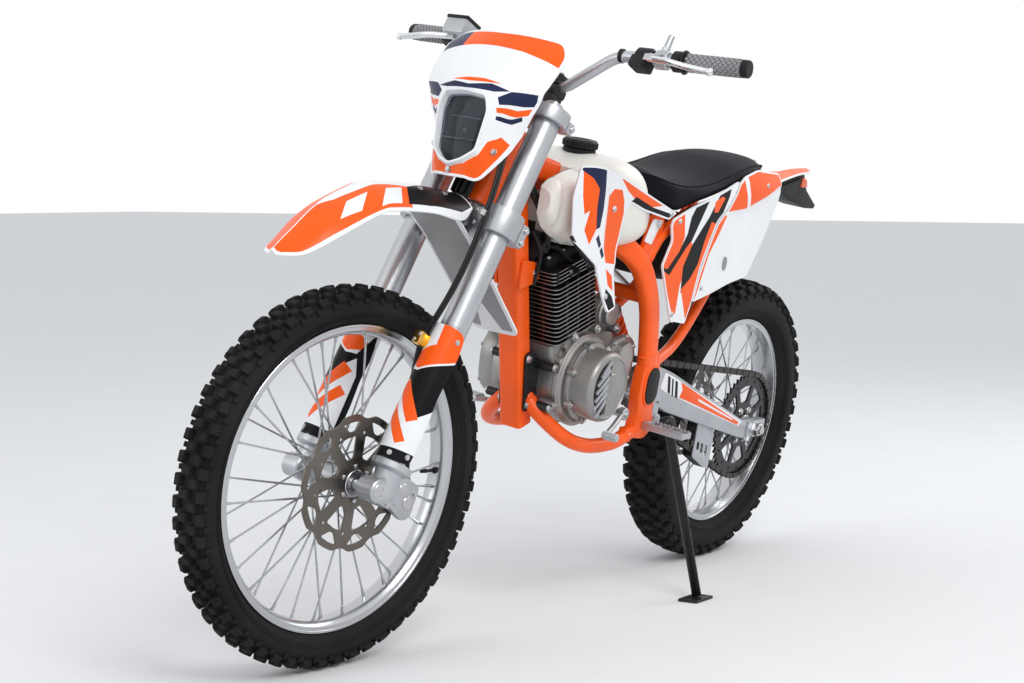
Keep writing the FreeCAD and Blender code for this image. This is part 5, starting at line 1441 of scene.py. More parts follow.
def make_switches(root):
    left = on_bar(222, 34, 19.5, sides=28, edge=4)
    body = box((-14, -18, -26), (20, 18, -2), 5)
    shifted(body, back_on_bar(206))
    rocker = box((-4, -9, -2), (4, 9, 4), 1.6)
    shifted(rocker, back_on_bar(206) + Vector((-18, 0, 8)))
    collar = on_bar(147, 18, 19.5, sides=28, edge=3)
    band = on_bar(258, 8, 13.5, sides=28)
    on_fork("left_switches", joined(left, body, rocker, collar, band), "black_plastic", smooth=40)
    adjuster = rod(root + Vector((16, -14, -6)), root + Vector((15, -52, -9)), 6, 16, 4.4, 0.8)
    wheel = rod(root + Vector((15.6, -26, -7)), root + Vector((15.4, -35, -7.6)), 8.5, 14, edge=1)
    on_fork("clutch_adjuster", joined(adjuster, wheel), "cast_aluminium", smooth=35)
    post = rod(root + Vector((2, -2, 14)), root + Vector((2, -2, 50)), 6.5, 20, 6, 0.8)
    foot = rod(root + Vector((2, -2, 12)), root + Vector((2, -2, 24)), 8.4, 6, edge=0.8)
    on_fork("mirror_post", joined(post, foot), "cast_aluminium", smooth=30)
    flip = Matrix.Scale(-1, 4, (0, 1, 0))
    housing = on_bar(154, 27, 22, sides=28, edge=4)
    gate = box((-12, -13, -22), (24, 13, 2), 6)
    shifted(gate, back_on_bar(140))
    start_box = on_bar(214, 26, 18.5, sides=28, edge=4)
    whole = moved(joined(housing, gate, start_box), flip)
    on_fork("throttle_housing", whole, "black_plastic", smooth=40)


def make_reservoir(root):
    flip = Matrix.Scale(-1, 4, (0, 1, 0))
    middle = root + Vector((34, -14, -6))
    pot = shifted(box((-24, -27, -10), (20, 27, 22), 5), middle)
    barrel = rod(root + Vector((26, -34, -10)), root + Vector((26, 20, -8)), 9, 20, edge=1.5)
    whole = moved(joined(pot, barrel), flip)
    on_fork("brake_reservoir", whole, "cast_aluminium", smooth=35)
    lid = shifted(box((-25, -28, 21), (21, 28, 28), 2.4), middle)
    on_fork("reservoir_lid", moved(lid, flip), "black_plastic", smooth=35)


HOSE_ROUTE = (
    (43.8, 58, 1132), (66, 58, 1132), (72, 72, 1060), (72, 84, 1000), (70, 93, 940), (68, 97, 880),
    (66, 99, 820), (67, 97, 760), (67, 90, 708), (56, 68, 660), (28, 52, 610), (-6, 47, 560), (-34, 49, 510),
    (-58, 53, 462), (-70, 58, 421.6),
)


def make_brake():
    """Caliper halves on the foot's lug, and the line that comes down to it in front of the leg."""
    place = FRONT_DISC_SIDE
    ahead, up = AXLE_LEAD, FRONT_AXLE_UP
    inner = slab(
        [(-104, 372), (-96, 420), (-52, 424), (-42, 404), (-46, 368), (-90, 358)], place - 16, place - 5.4,
        3, corner=8,
    )
    outer = slab(
        [(-106, 366), (-98, 424), (-50, 428), (-38, 404), (-42, 362), (-92, 352)], place + 5.4, place + 22,
        4, corner=10,
    )
    bridge = box((-100, place - 10, 416), (-58, place + 12, 427), 4)
    arm = slab(
        [(-60, 372), (-60, 400), (-10, 408), (4, 400), (4, 376), (-20, 366)], place + 12, 78, 3, corner=6,
    )
    whole = joined(inner, outer, bridge, arm)
    on_fork("front_caliper_shown", whole, "cast_aluminium", "front_caliper", smooth=38)
    heads = [bolt((x, place + 21.6, z), (0, 1, 0), 5.5) for x, z in ((-92, 408), (-56, 376))]
    heads += bolts_at(((-30, 388), (-6, 388)), 77.6, 6)
    pistons = [pin(x, z, place + 21, place + 24, 13, 28, edge=1.2) for x, z in ((-84, 386), (-60, 402))]
    fork_bolts("caliper_bolts", *heads, *pistons)
    line = tube(HOSE_ROUTE, 4, 12, steps=8)
    banjo = pin(-70, 424, 52, 64, 6.5, 16, edge=0.8)
    cover = tube(HOSE_ROUTE[9:14], 5.4, 12, steps=8)
    second = tube([Vector(point) + Vector((1, 8.4, 0)) for point in HOSE_ROUTE[2:12]], 2.6, 10, steps=8)
    on_fork("brake_hose_shown", joined(line, banjo, cover, second), "hose_rubber", "brake_hose", smooth=40)
    clip = box((52, 63, 640), (74, 80, 664), 3)
    back = box((30, 66, 640), (56, 88, 664), 3)
    on_fork("hose_clamp", joined(clip, back), "gold_clamp", smooth=38)
    screws = [bolt((74, 68, 646), (1, 0, 0), 3.6, 2.6), bolt((74, 76, 658), (1, 0, 0), 3.6, 2.6)]
    guide = ring((69, 92.4, 900), (69.4, 94.4, 912), 7.4, 4.2, 20)
    fork_bolts("hose_screws", *screws, guide)


class BIKE_OT_fork(bpy.types.Operator):
    """Fork legs, feet, guards, clamps, brake caliper and line"""

    bl_idname = "bike.fork"
    bl_label = "Fork"

    def execute(self, context):
        make_fork_legs()
        make_fork_feet()
        make_fork_guards()
        make_clamps()
        make_brake()
        return {"FINISHED"}


class BIKE_OT_bars(bpy.types.Operator):
    """Handlebar, grips, levers, switches and reservoir"""

    bl_idname = "bike.bars"
    bl_label = "Bars"

    def execute(self, context):
        make_bar()
        make_grips()
        make_controls()
        return {"FINISHED"}


# Mask, lamp and front fender

PLATE_ROWS = (
    (956, 102, 90, 60), (1000, 122, 84, 84), (1030, 132, 80, 96), (1060, 142, 84, 109),
    (1095, 148, 100, 128), (1124, 149, 109, 142), (1160, 144, 106, 150), (1190, 138, 101, 152),
    (1221, 129, 95, 151), (1249, 120, 90, 126),
)
CREASE = (
    (960, 40), (1000, 60), (1040, 70), (1075, 80), (1096, 96), (1110, 114), (1130, 138), (1300, 400),
)
LAMP = (
    (-50, 1100), (0, 1103), (50, 1100), (59, 1074), (50, 1004), (26, 984), (0, 974), (-26, 984), (-50, 1004),
    (-59, 1074),
)
LAMP_MIDDLE = 1046


def arc_drop(across, half, drop):
    """How far an arc through a middle point and both edges falls back at one place across."""
    drop = max(drop, 0.01)
    radius = (half**2 + drop**2) / (2 * drop)
    return radius - math.sqrt(max(radius**2 - min(abs(across), half) ** 2, 0))


def plate_surface(side, up):
    """Bowed front of the mask, with its cheeks set back below a crease."""
    _, middle, edge, half = read_table(PLATE_ROWS, up)
    fall = arc_drop(side, half, middle - edge)
    crease = read_table(CREASE, up)[1]
    step = clamped((abs(side) - crease) / 9)
    return (middle - fall - 7 * step * step * (3 - 2 * step), side, up)


def plate_edge():
    left = [(row[3], row[0]) for row in PLATE_ROWS]
    return [
        *left, (60, 1247), (0, 1245), (-60, 1247), *[(-side, up) for side, up in reversed(left)], (0, 952),
    ]


def mirrored_blocks(*blocks, flip=(-1, 1)):
    """Colour blocks with their mirror images across the middle."""
    return [*blocks, *[(index, [(a * flip[0], b * flip[1]) for a, b in block]) for index, block in blocks]]


PLATE_BLOCKS = [
    (1, (
        (-84, 1270), (-84, 1206), (-40, 1208), (10, 1208), (70, 1205), (124, 1197), (160, 1188), (160, 1270),
    )),
    (2, ((-160, 1270), (-160, 1196), (-128, 1202), (-84, 1206), (-84, 1270))),
    *mirrored_blocks(
        (1, (
            (0, 940), (0, 972), (30, 978), (56, 1000), (66, 1026), (82, 1044), (100, 1036), (92, 1000),
            (60, 940),
        )),
        (2, ((70, 1104), (92, 1120), (150, 1132), (150, 1118), (104, 1100), (76, 1092))),
        (1, ((72, 1086), (104, 1094), (140, 1112), (140, 1104), (104, 1084), (74, 1078))),
        (2, ((74, 1072), (96, 1078), (112, 1088), (112, 1082), (96, 1070), (74, 1066))),
    ),
    (2, ((-84, 1114), (-40, 1122), (0, 1118), (50, 1126), (90, 1120), (60, 1112), (0, 1110), (-56, 1110))),
    (1, ((-50, 1126), (-10, 1132), (30, 1134), (70, 1130), (40, 1127), (0, 1124))),
]


def lamp_outline(share):
    """Edge of the lamp's window, larger or smaller about its middle."""
    return [(a * share, LAMP_MIDDLE + (b - LAMP_MIDDLE) * share) for a, b in LAMP]


POST_PARTS = ((43.8, 142, 7.6), (120, 143, 11))


def make_plate():
    opening = rounded(LAMP, 4)
    sheet = panel(
        plate_edge(), plate_surface, (1, 0, 0), 9, holes=[opening], blocks=PLATE_BLOCKS, corner=14,
        rim=(0, 5),
    )
    on_fork("number_plate_shown", sheet, LIVERY[:3], "number_plate", wall=3, smooth=40)
    rims = []
    for share, proud in ((1.10, -1.5), (1.09, 3.5), (1.05, 6), (1.0, 5), (0.98, -3), (0.97, -16)):
        loop = rounded(lamp_outline(share), 8)
        rims.append([Vector(plate_surface(*point)) + Vector((proud, 0, 0)) for point in loop])
    lip = lofted(rims, caps=False)
    on_fork("lamp_lip", lip, "white_plastic", smooth=40)
    post = joined(*[
        rod((start, 36, 1132), (end, 36, 1132), radius, 20, edge=1) for start, end, radius in POST_PARTS
    ])
    on_fork("plate_posts", both(post), "black_plastic", smooth=35)
    spots = ((0, 964), (-74, 1016), (74, 1016))
    bolts = [bolt(Vector(plate_surface(*spot)) - Vector((1, 0, 0)), (1, 0, -0.1), 6, 5) for spot in spots]
    fork_bolts("plate_bolts", *bolts)


def make_lamp():
    def section(share, ahead, follow=1.0):
        loop = rounded(lamp_outline(share), 8)
        return [(ahead + follow * (plate_surface(*point)[0] - 145), *point) for point in loop]

    shell = lofted([
        section(0.99, 126), section(0.97, 118), section(0.9, 84), section(0.6, 60, 0), section(0.3, 54, 0),
    ])
    leg = box((43.8, -18, 898), (56, 18, 1022), 3)
    fins = [box((56, side - 1.5, 940), (66, side + 1.5, 1010), 0.8) for side in (-12, 0, 12)]
    on_fork("headlamp_shown", joined(shell, leg, *fins), "black_plastic", "headlamp", smooth=38)
    bowl = lofted([
        section(0.965, 129), section(0.93, 118), section(0.8, 98), section(0.5, 86, 0.4),
        section(0.22, 82, 0),
    ])
    bowl.faces.ensure_lookup_table()
    front = max(bowl.faces, key=lambda face: len(face.verts) * 1000 + face.calc_center_median().x)
    bmesh.ops.delete(bowl, geom=[front], context="FACES")
    on_fork("lamp_bowl", bowl, "lamp_mirror", smooth=30)
    bulb = joined(
        rod((82, 0, 1044), (104, 0, 1044), 9, 24, edge=2), rod((103, 0, 1044), (112, 0, 1044), 6, 20, 4, 2),
    )
    fences = [box((90, -40, up - 0.8), (116, 40, up + 0.8)) for up in (1022, 1066)]
    on_fork("lamp_bulb", joined(bulb, *fences), "lamp_mirror", smooth=40)

    def glass(side, up):
        return (plate_surface(side, up)[0] - 10, side, up)

    lens = panel(lamp_outline(0.975), glass, (1, 0, 0), 8, corner=8)
    on_fork("lamp_lens", lens, "lamp_lens", wall=2, smooth=40)


FENDER_ROWS = (
    (1180, 865, 52, 22), (1224, 871, 70, 48), (1300, 880, 74, 44), (1391, 882, 74, 43), (1434, 872, 70, 41),
    (1517, 836, 64, 44), (1572, 792, 50, 30), (1597, 771, 36, 16), (1612, 757, 9, 4),
)
FENDER_SHAPE = through(FENDER_ROWS, 57)
FLAP_ROWS = (
    (866, 1252, 29, 4), (850, 1246, 53, 8), (830, 1232, 66, 12), (782, 1180, 62, 10), (706, 1110, 62, 8),
    (602, 1018, 60, 6),
)


def fender_surface(x, y):
    """Arched blade with a raised ridge along its nose and rolled edges."""
    _, top, half, drop = read_table(FENDER_SHAPE, x)
    ridge = 4.5 * max(0.0, 1 - abs(y) / 16) * clamped((x - 1380) / 90)
    groove = 2.2 * math.exp(-(((abs(y) - half * 0.62) / 5) ** 2)) * clamped((x - 1190) / 40)
    return (x, y, top - arc_drop(y, half, drop) + ridge - groove)


FENDER_BLOCKS = mirrored_blocks(
    (1, (
        (1618, 0), (1600, 1.2), (1520, 1.6), (1492, 12), (1430, 18), (1370, 24), (1334, 29), (1366, 90),
        (1434, 90), (1517, 90), (1600, 90),
    )),
    (3, ((1334, 29), (1243, 0), (1176, 0), (1172, 46), (1219, 62), (1309, 67), (1362, 67))),
    (0, ((1352, 34), (1392, 36), (1424, 64), (1378, 66))),
    (0, ((1432, 32), (1478, 30), (1508, 50), (1464, 56))),
    flip=(1, -1),
)


def make_front_fender():
    left = [(row[0], row[2]) for row in FENDER_SHAPE]
    blade = panel(
        with_mirror(left), fender_surface, (0, 0, 1), 8, blocks=FENDER_BLOCKS, corner=6, rim=(0, 3.5),
    )
    finished(
        "front_fender_shown", blade, STEERED_BIKE, LIVERY[:4], "steering", "front_fender", wall=3.2,
        smooth=40,
    )

    def flap_surface(y, z):
        _, x, half, bow = read_table(FLAP_ROWS, z)
        return (x + bow * (1 - (y / half) ** 2) + 4, y, z)

    edge = [(row[2], row[0]) for row in FLAP_ROWS]
    # The flap's grey face is painted shade; the white triangle at its foot and its white rim are painted
    # sunlight.
    sides = mirrored_blocks((1, ((0, 690), (12, 650), (34, 590), (34, 560), (0, 560))))
    flap = panel(
        [*edge, *[(-y, z) for y, z in reversed(edge)]], flap_surface, (1, 0, 0), 12, blocks=sides, corner=14,
        rim=(1, 8),
    )
    finished(
        "fender_flap", flap, STEERED_BIKE, ("grey_plastic", "white_plastic"), "steering", wall=3.4,
        smooth=40,
    )
    boss = rod(FORK_IN_BIKE @ Vector((8, 0, 885.7)), FORK_IN_BIKE @ Vector((8, 0, 860)), 15, 28, edge=1)
    finished("fender_boss", boss, STEERED_BIKE, "black_plastic", "steering", smooth=35)
    spots = ((1236, 30), (1300, 30))
    bolts = [bolt(Vector(fender_surface(*spot)) - Vector((0, 0, 0.5)), (0, 0.3, 1), 5, 3) for spot in spots]
    finished("fender_bolts", both(*bolts), STEERED_BIKE, "bolt_steel", "steering", smooth=30)


class BIKE_OT_front(bpy.types.Operator):
    """Mask with its lamp, front fender and flap"""

    bl_idname = "bike.front"
    bl_label = "Mask and fender"

    def execute(self, context):
        make_plate()
        make_lamp()
        make_front_fender()
        return {"FINISHED"}


# Tank, shrouds, seat and rear bodywork, drawn upright: X forward, Z up

TANK_ROWS = (
    (990, 838, 891, 80), (975, 818, 902, 85), (950, 800, 911, 88), (915, 785, 922, 94), (880, 774, 929, 100),
    (836, 770, 942, 117), (790, 768, 951, 128), (724, 770, 943, 129), (690, 776, 905, 122),
    (640, 790, 859, 100),
)
TANK_SHAPE = through(TANK_ROWS, 91)


def tank_fold(x, z):
    """Depth of the two upright folds pressed into the tank's nose."""
    fade = clamped((z - 790) / 30) * clamped((915 - z) / 30)
    return fade * (10 * math.exp(-(((x - 948) / 9) ** 2)) + 6 * math.exp(-(((x - 908) / 9) ** 2)))


def tank_loop(row, inner):
    """Section of the tank at one place along it; the noses are flat on their inner side."""
    x, low, high, half = row
    middle, rise = (low + high) / 2, (high - low) / 2
    loop = []
    spots = 30
    for step in range(spots + 1):
        turn = math.pi * step / spots - math.pi / 2
        side = half * abs(math.cos(turn)) ** 0.5
        up = middle + rise * math.copysign(abs(math.sin(turn)) ** 0.62, math.sin(turn))
        loop.append((x, max(inner, side - tank_fold(x, up)), up))
    if inner > 0:
        return loop
    return loop[:-1] + [(x, -y, z) for x, y, z in reversed(loop)][:-1]


def make_tank():
    body = lofted([tank_loop(row, 0) for row in TANK_SHAPE if row[0] < 897])
    nose = lofted([tank_loop(row, 54) for row in reversed(TANK_SHAPE) if row[0] > 880])
    on_frame("fuel_tank_shown", joined(body, both(nose)), "tank_plastic", "fuel_tank", smooth=50)
    base = turned([(0, -4), (33, -4), (33, 4), (30, 7), (0, 7)], 48, closed=False)
    knob_profile = [(0, 7), (34.6, 7), (35, 9), (35, 19), (32, 23), (20, 24), (18, 22), (0, 21.6)]
    ribs = ring_of(box((34, -1.6, 8), (36.2, 1.6, 19), 0.6), 22, "black_plastic")
    cap = joined(base, turned(knob_profile, 48, closed=False), ribs)
    on_frame("tank_cap_shown", shifted(cap, (790, 0, 951)), "black_plastic", "tank_cap", smooth=35)


SHROUD_SHEET = ((960, 136.3), (800, 136.3), (764, 138), (732, 141.3), (690, 147), (640, 155.3))
SHROUD_EDGE = (
    (885, 940), (930, 944), (962, 942), (968, 880), (956, 799), (907, 765), (884, 752), (849, 683),
    (832, 658), (803, 667), (816, 741), (803, 790), (797, 850), (779, 872), (724, 856), (618, 836),
    (590, 850), (729, 893), (830, 925),
)
SHROUD_FOLD = ((640, 900), (740, 856), (800, 866), (887, 876), (934, 884), (960, 880))


def shroud_surface(x, z):
    """Side of the shroud: its front curves in to the tank, its tail lies behind a step."""
    out = read_table(SHROUD_SHEET, z)[1]
    fold = read_table(SHROUD_FOLD, z)[1]
    front = max(0.0, (x - 895) / 75)
    step = clamped((fold - x) / 10) * clamped((z - 752) / 30)
    return (x, out - 22 * front**1.6 - 5 * step * step * (3 - 2 * step), z)


SHROUD_BLOCKS = (
    (1, (
        (956, 932), (948, 884), (938, 850), (926, 858), (932, 820), (914, 792), (900, 822), (908, 862),
        (910, 900), (930, 920),
    )),
    (2, (
        (980, 952), (926, 952), (898, 936), (890, 900), (886, 860), (888, 826), (900, 822), (908, 862),
        (910, 900), (930, 920), (956, 932),
    )),
    (2, ((888, 812), (874, 792), (880, 784), (896, 804))),
    (2, ((870, 788), (858, 770), (865, 764), (877, 780))),
    (1, (
        (872, 880), (850, 900), (820, 898), (806, 876), (798, 840), (806, 800), (816, 752), (850, 756),
        (856, 800), (866, 838),
    )),
    (1, ((836, 926), (800, 915), (729, 893), (640, 866), (700, 862), (760, 876), (798, 896))),
    (3, ((780, 874), (724, 857), (618, 838), (600, 846), (690, 862), (762, 884))),
    (1, ((846, 744), (822, 730), (816, 700), (836, 712))),
    (3, ((842, 706), (818, 690), (806, 668), (828, 662), (846, 686))),
)


def make_shrouds():
    sheet = panel(SHROUD_EDGE, shroud_surface, (0, 1, 0), 8, blocks=SHROUD_BLOCKS, corner=7, rim=(0, 3.5))
    on_frame("shrouds_shown", both(sheet), LIVERY[:4], "shrouds", wall=4, smooth=36)
    boss = pin(838, 860, 92, 126, 12, 24, edge=1)
    vent = tube([(958, 119, 806), (932, 125, 780), (908, 130, 762), (884, 134, 748)], 3.6, 10, 0.7)
    on_frame("shroud_bosses", both(boss, vent), "black_plastic", smooth=40)
    spots = ((838, 860), (842, 690), (612, 848))
    bolts = [bolt(Vector(shroud_surface(*spot)) - Vector((0, 1, 0)), (0, 1, 0), 6, 3.5) for spot in spots]
    frame_bolts("shroud_bolts", both(*bolts))


SEAT_ROWS = (
    (704, 908, 938, 58, 60), (684, 896, 938, 78, 72), (650, 874, 935, 96, 86), (611, 860, 926, 113, 96),
    (575, 851, 919, 122, 100), (540, 856, 916, 122, 101), (500, 866, 915, 122, 101),
    (450, 875, 918, 121, 100), (400, 884, 925, 118, 99), (340, 897, 938, 114, 98), (290, 908, 949, 110, 95),
    (240, 918, 955, 102, 88), (200, 926, 957, 95, 82), (160, 931, 956, 84, 72), (128, 935, 952, 68, 58),
)
SEAT_SHAPE = through(SEAT_ROWS, 81)


def seat_loop(row):
    """Section of the seat: a crowned top, a rolled seam line and sides that pull in below it."""
    x, low, high, half, top_half = row
    rise = high - low
    skirt = min(rise * 0.55, 22)
    right = [
        (0.0, high), (top_half * 0.35, high - 0.8), (top_half * 0.66, high - 3),
        (top_half * 0.88, high - 7.5), (top_half, high - 13),
        (top_half + (half - top_half) * 0.42, high - 15), (top_half + (half - top_half) * 0.62, high - 18),
        (half - 3, high - rise * 0.62), (half, low + skirt * 0.62), (half - 1.5, low + skirt * 0.25),
        (half - 5, low + 1), (half - 14, low), (half * 0.5, low + 2), (0.0, low + 2),
    ]
    fixed = []
    for y, z in right:
        fixed.append((x, y, max(low, min(high, z))))
    return fixed + [(x, -y, z) for x, y, z in reversed(fixed[1:-1])]


def make_seat():
    """Foam pad under a tight vinyl cover, with a piped seam along each side and a stitched line."""
    pad = lofted([seat_loop(row) for row in SEAT_SHAPE])
    cover = on_frame("seat_shown", pad, "seat_vinyl", "seat", smooth=60, level=1)
    line = []
    for row in SEAT_SHAPE[2::4]:
        loop = seat_loop(row)
        line.append(Vector(loop[5]) + Vector((0, 0.6, 0.2)))
    piping = tube(line, 1.6, 8, steps=4)
    on_frame("seat_piping", both(piping), "seat_vinyl", smooth=50)
    path = curve_path([point + Vector((0, -4, 1.6)) for point in line], 4)
    places, turns = evenly(path, 7)
    stitch = box((-2, -0.45, -0.45), (2, 0.45, 0.45), 0.2)
    stitches = run_of(stitch, places, turns, "stitch_thread")
    on_frame("seat_stitches", both(stitches), "stitch_thread", smooth=50)


def evenly(path, step):
    """Places and turns at an even distance along a line."""
    places = []
    turns = []
    left = step / 2
    for first, second in zip(path, path[1:]):
        way = second - first
        span = way.length
        while left < span:
            places.append(first.lerp(second, left / span))
            turns.append(tuple(way.to_track_quat("X", "Z").to_euler()))
            left += step
        left -= span
    return places, turns


PANEL_SHEET = (
    (960, 112), (944, 114), (914, 128), (885, 134), (828, 134), (780, 135.4), (750, 137), (700, 140),
    (660, 143), (610, 146),
)
FRONT_PANEL_EDGE = (
    (600, 838), (531, 861), (453, 881), (350, 911), (334, 915), (376, 862), (415, 829), (461, 737),
    (481, 663), (501, 617), (562, 626), (622, 742), (594, 792), (606, 824),
)
REAR_PANEL_EDGE = (
    (477, 661), (457, 727), (427, 790), (409, 826), (372, 856), (330, 911), (303, 925), (240, 938),
    (124, 930), (104, 894), (113, 868), (164, 796), (202, 750), (238, 706), (318, 693), (442, 668),
)


STRIP_LINE = ((420, 838), (388, 846), (299, 852), (225, 872), (135, 896), (100, 902))


def panel_surface(x, z):
    return (x, read_table(PANEL_SHEET, z)[1] - 3 * math.exp(-(((x - 250) / 90) ** 2)) * (z > 700), z)


def rear_panel_surface(x, z):
    """Rear panel, which tucks in towards the tail and steps in below its upper strip."""
    back = max(0.0, (260 - x) / 160)
    below = read_table(STRIP_LINE, x)[1] - z
    step = 5 / (1 + math.exp(-below / 2.5)) * clamped((400 - x) / 80)
    return (x, read_table(PANEL_SHEET, z)[1] - 16 * back * back - 0.8 - step, z)


FRONT_PANEL_BLOCKS = (
    (1, ((640, 740), (594, 792), (606, 830), (560, 850), (545, 800), (560, 760), (600, 715))),
    (3, (
        (634, 742), (600, 735), (560, 770), (536, 806), (530, 842), (514, 866), (462, 880), (490, 830),
        (522, 776), (580, 722), (618, 694),
    )),
    (1, ((560, 640), (622, 735), (590, 722), (534, 776), (516, 790), (500, 775), (540, 700), (546, 640))),
    (3, (
        (534, 683), (496, 700), (462, 737), (436, 762), (408, 802), (396, 850), (372, 900), (424, 886),
        (456, 838), (508, 784), (536, 738),
    )),
    (1, (
        (500, 625), (534, 690), (500, 712), (474, 742), (458, 790), (440, 830), (420, 826), (461, 730),
        (484, 660),
    )),
    (1, ((440, 872), (412, 884), (398, 880), (420, 850), (436, 850))),
)
REAR_PANEL_BLOCKS = (
    (1, (
        (477, 655), (462, 680), (430, 760), (400, 800), (372, 840), (392, 850), (420, 800), (450, 730),
        (482, 661),
    )),
    (1, (
        (384, 850), (340, 912), (303, 935), (240, 948), (110, 940), (90, 908), (135, 900), (225, 876),
        (299, 856),
    )),
    (0, ((318, 940), (296, 940), (276, 856), (288, 856))),
)


def make_side_panels():
    front = panel(
        FRONT_PANEL_EDGE, panel_surface, (0, 1, 0), 9, blocks=FRONT_PANEL_BLOCKS, corner=6, rim=(0, 3.5),
    )
    rear = panel(
        REAR_PANEL_EDGE, rear_panel_surface, (0, 1, 0), 10, blocks=REAR_PANEL_BLOCKS, corner=8, rim=(0, 3.5),
    )
    whole = both(front, rear)
    on_frame("side_panels_shown", whole, LIVERY, "side_panels", wall=4, smooth=36)
    oval = [(9 * math.cos(turn / 12 * math.pi), 15 * math.sin(turn / 12 * math.pi)) for turn in range(24)]
    out = rear_panel_surface(352, 738)[1]
    boss = slab([(352 + a, 738 + b) for a, b in oval], out - 2, out + 2.4, 1)
    on_frame("panel_bosses", both(boss), "grey_plastic", smooth=40)
    bolts = []
    for surface, spots in (
        (panel_surface, ((575, 833), (560, 640))), (rear_panel_surface, ((200, 905), (446, 690))),
    ):
        for spot in spots:
            bolts.append(bolt(Vector(surface(*spot)) - Vector((0, 0.6, 0)), (0, 1, 0), 5.5, 3))
    frame_bolts("panel_bolts", both(*bolts))


REAR_ROWS = (
    (124, 950, 100, 50), (28, 944, 80, 33), (-83, 938, 60, 17), (-165, 934, 45, 11), (-215, 929, 22, 5),
)
REAR_SHAPE = through(REAR_ROWS, 41)


def rear_surface(x, y):
    _, top, half, drop = read_table(REAR_SHAPE, x)
    step = 2.5 * (1 / (1 + math.exp((abs(y) - half * 0.42) / 1.6)))
    return (x, y, top - arc_drop(y, half, drop) - 2.5 + step)


REAR_BLOCKS = mirrored_blocks(
    (1, (
        (130, 70), (25, 58), (-60, 43), (-120, 34), (-165, 27), (-190, 18), (-220, 30), (-165, 60),
        (-83, 80), (28, 100), (130, 120),
    )),
    flip=(1, -1),
)


def make_rear():
    edge = [(row[0], row[2]) for row in REAR_SHAPE]
    blade = panel(with_mirror(edge), rear_surface, (0, 0, 1), 9, blocks=REAR_BLOCKS, corner=6, rim=(0, 3))
    on_frame("rear_fender_shown", blade, LIVERY[:2], "rear_fender", wall=3.2, smooth=40)
    lug = box((88, -32, 906), (112, 32, 945), 4)
    on_frame("rear_fender_lug", lug, "black_plastic", smooth=35)
    tail_edge = [
        (-14, 888), (-60, 908), (-152, 926), (-196, 876), (-275, 837), (-266, 829), (-206, 832), (-110, 850),
    ]
    tail = slab(tail_edge, -35, 35, 3, corner=5)
    for vert in tail.verts:
        narrow = clamped((-150 - vert.co.x) / 120)
        vert.co.y *= 1 - 0.35 * narrow
    rib = slab([(-30, 884), (-140, 906), (-150, 898), (-108, 860), (-30, 878)], 34, 38, 1.4, corner=4)
    on_frame("tail_shown", joined(tail, both(rib)), "black_plastic", "tail_lamp", smooth=38)
    amber = slab([(-146, 884), (-146, 908), (-170, 902), (-178, 884)], 32, 39.5, 1.6, corner=4)
    on_frame("reflectors", both(amber), "reflector_amber", smooth=40)
    lamp = box((-186, -24, 884), (-160, 24, 912), 5)
    on_frame("rear_lamp", lamp, "lamp_red", smooth=40)


class BIKE_OT_body(bpy.types.Operator):
    """Tank, shrouds, seat, side panels and rear fender"""

    bl_idname = "bike.body"
    bl_label = "Bodywork"

    def execute(self, context):
        make_tank()
        make_shrouds()
        make_seat()
        make_side_panels()
        make_rear()
        return {"FINISHED"}


# Frame, drawn upright: X forward, Z up

CRANK_X, CRANK_UP = 758, 499
CRANK = Vector((CRANK_X, 0, CRANK_UP))
TILTED_LOCAL = Matrix.Translation(CRANK) @ Matrix.Rotation(math.radians(17), 4, "Y")
TILTED = UPRIGHT @ TILTED_LOCAL


def beam(path, width, depth, corner=9.0):
    """Box tube with rounded corners along a path; its width lies across the bike."""
    loops = []
    for index, point in enumerate(path):
        way = (path[min(index + 1, len(path) - 1)] - path[max(index - 1, 0)]).normalized()
        across = (Vector((0, 1, 0)) - way * way.y).normalized()
        other = way.cross(across)
        half, rise = width / 2, depth / 2
        section = rounded([(-half, -rise), (half, -rise), (half, rise), (-half, rise)], corner, 4)
        loops.append([point + across * a + other * b for a, b in section])
    return lofted(loops)


def weld(middle, way, radius, thick=2.2, flat=1.0):
    """Bead round a joint."""
    made = turned([(radius + a, b) for a, b in circle(thick, 8)], 40)
    for vert in made.verts:
        vert.co.z += 0.35 * math.sin(math.atan2(vert.co.y, vert.co.x) * 36)
    place = direction_place(middle, Vector(middle) + Vector(way))
    return moved(made, place @ Matrix.Diagonal((1, flat, 1, 1)))


CRADLE = (
    (866, 12, 470), (864, 34, 446), (852, 64, 420), (815, 98, 386), (760, 110, 370), (700, 113, 366),
    (640, 119, 372), (600, 121, 392),
)
SPAR = (
    (850, 16, 838), (790, 50, 810), (717, 88, 780), (672, 112, 748), (640, 120, 700), (614, 121, 650),
    (602, 121, 610), (588, 121, 552), (579, 121, 500),
)


def make_front_frame():
    """Head tube with its bearing cups, box downtube, cradle, head bracket and gusset."""
    head = ring((0, 0, 946), (0, 0, 1106), 31, 24, 48, 2.5)
    cups = [ring((0, 0, low), (0, 0, low + 12), 33, 24, 48, 1.5) for low in (944, 1096)]
    top = FORK_IN_BIKE @ Vector((-21, 0, 1087))
    foot = Vector((855, 0, 400))
    downtube = beam([top, top.lerp(foot, 0.5), foot], 50, 44)
    cradle = tube(CRADLE, 15, 20, steps=8)
    bands = [weld((864, 28, 452), (0.1, 1, -1), 15.6), weld((602, 121, 394), (0.1, 0, 1), 15.4)]
    tab = slab(
        [(972, 742), (918, 734), (904, 720), (908, 700), (924, 692), (970, 682)], 25, 31, 1.6, corner=8,
    )
    gusset = slab([(1010, 848), (958, 812), (900, 700), (918, 700), (1002, 822)], -5, 5, 1.5, corner=4)
    whole = joined(moved(joined(head, *cups), FORK_IN_BIKE), downtube, both(cradle, *bands, tab), gusset)
    on_frame("front_frame_shown", whole, "frame_orange", "front_frame", smooth=40)
    frame_bolts("frame_bolts", both(*bolts_at([(922, 714)], 30.6, 7.5, 5)))


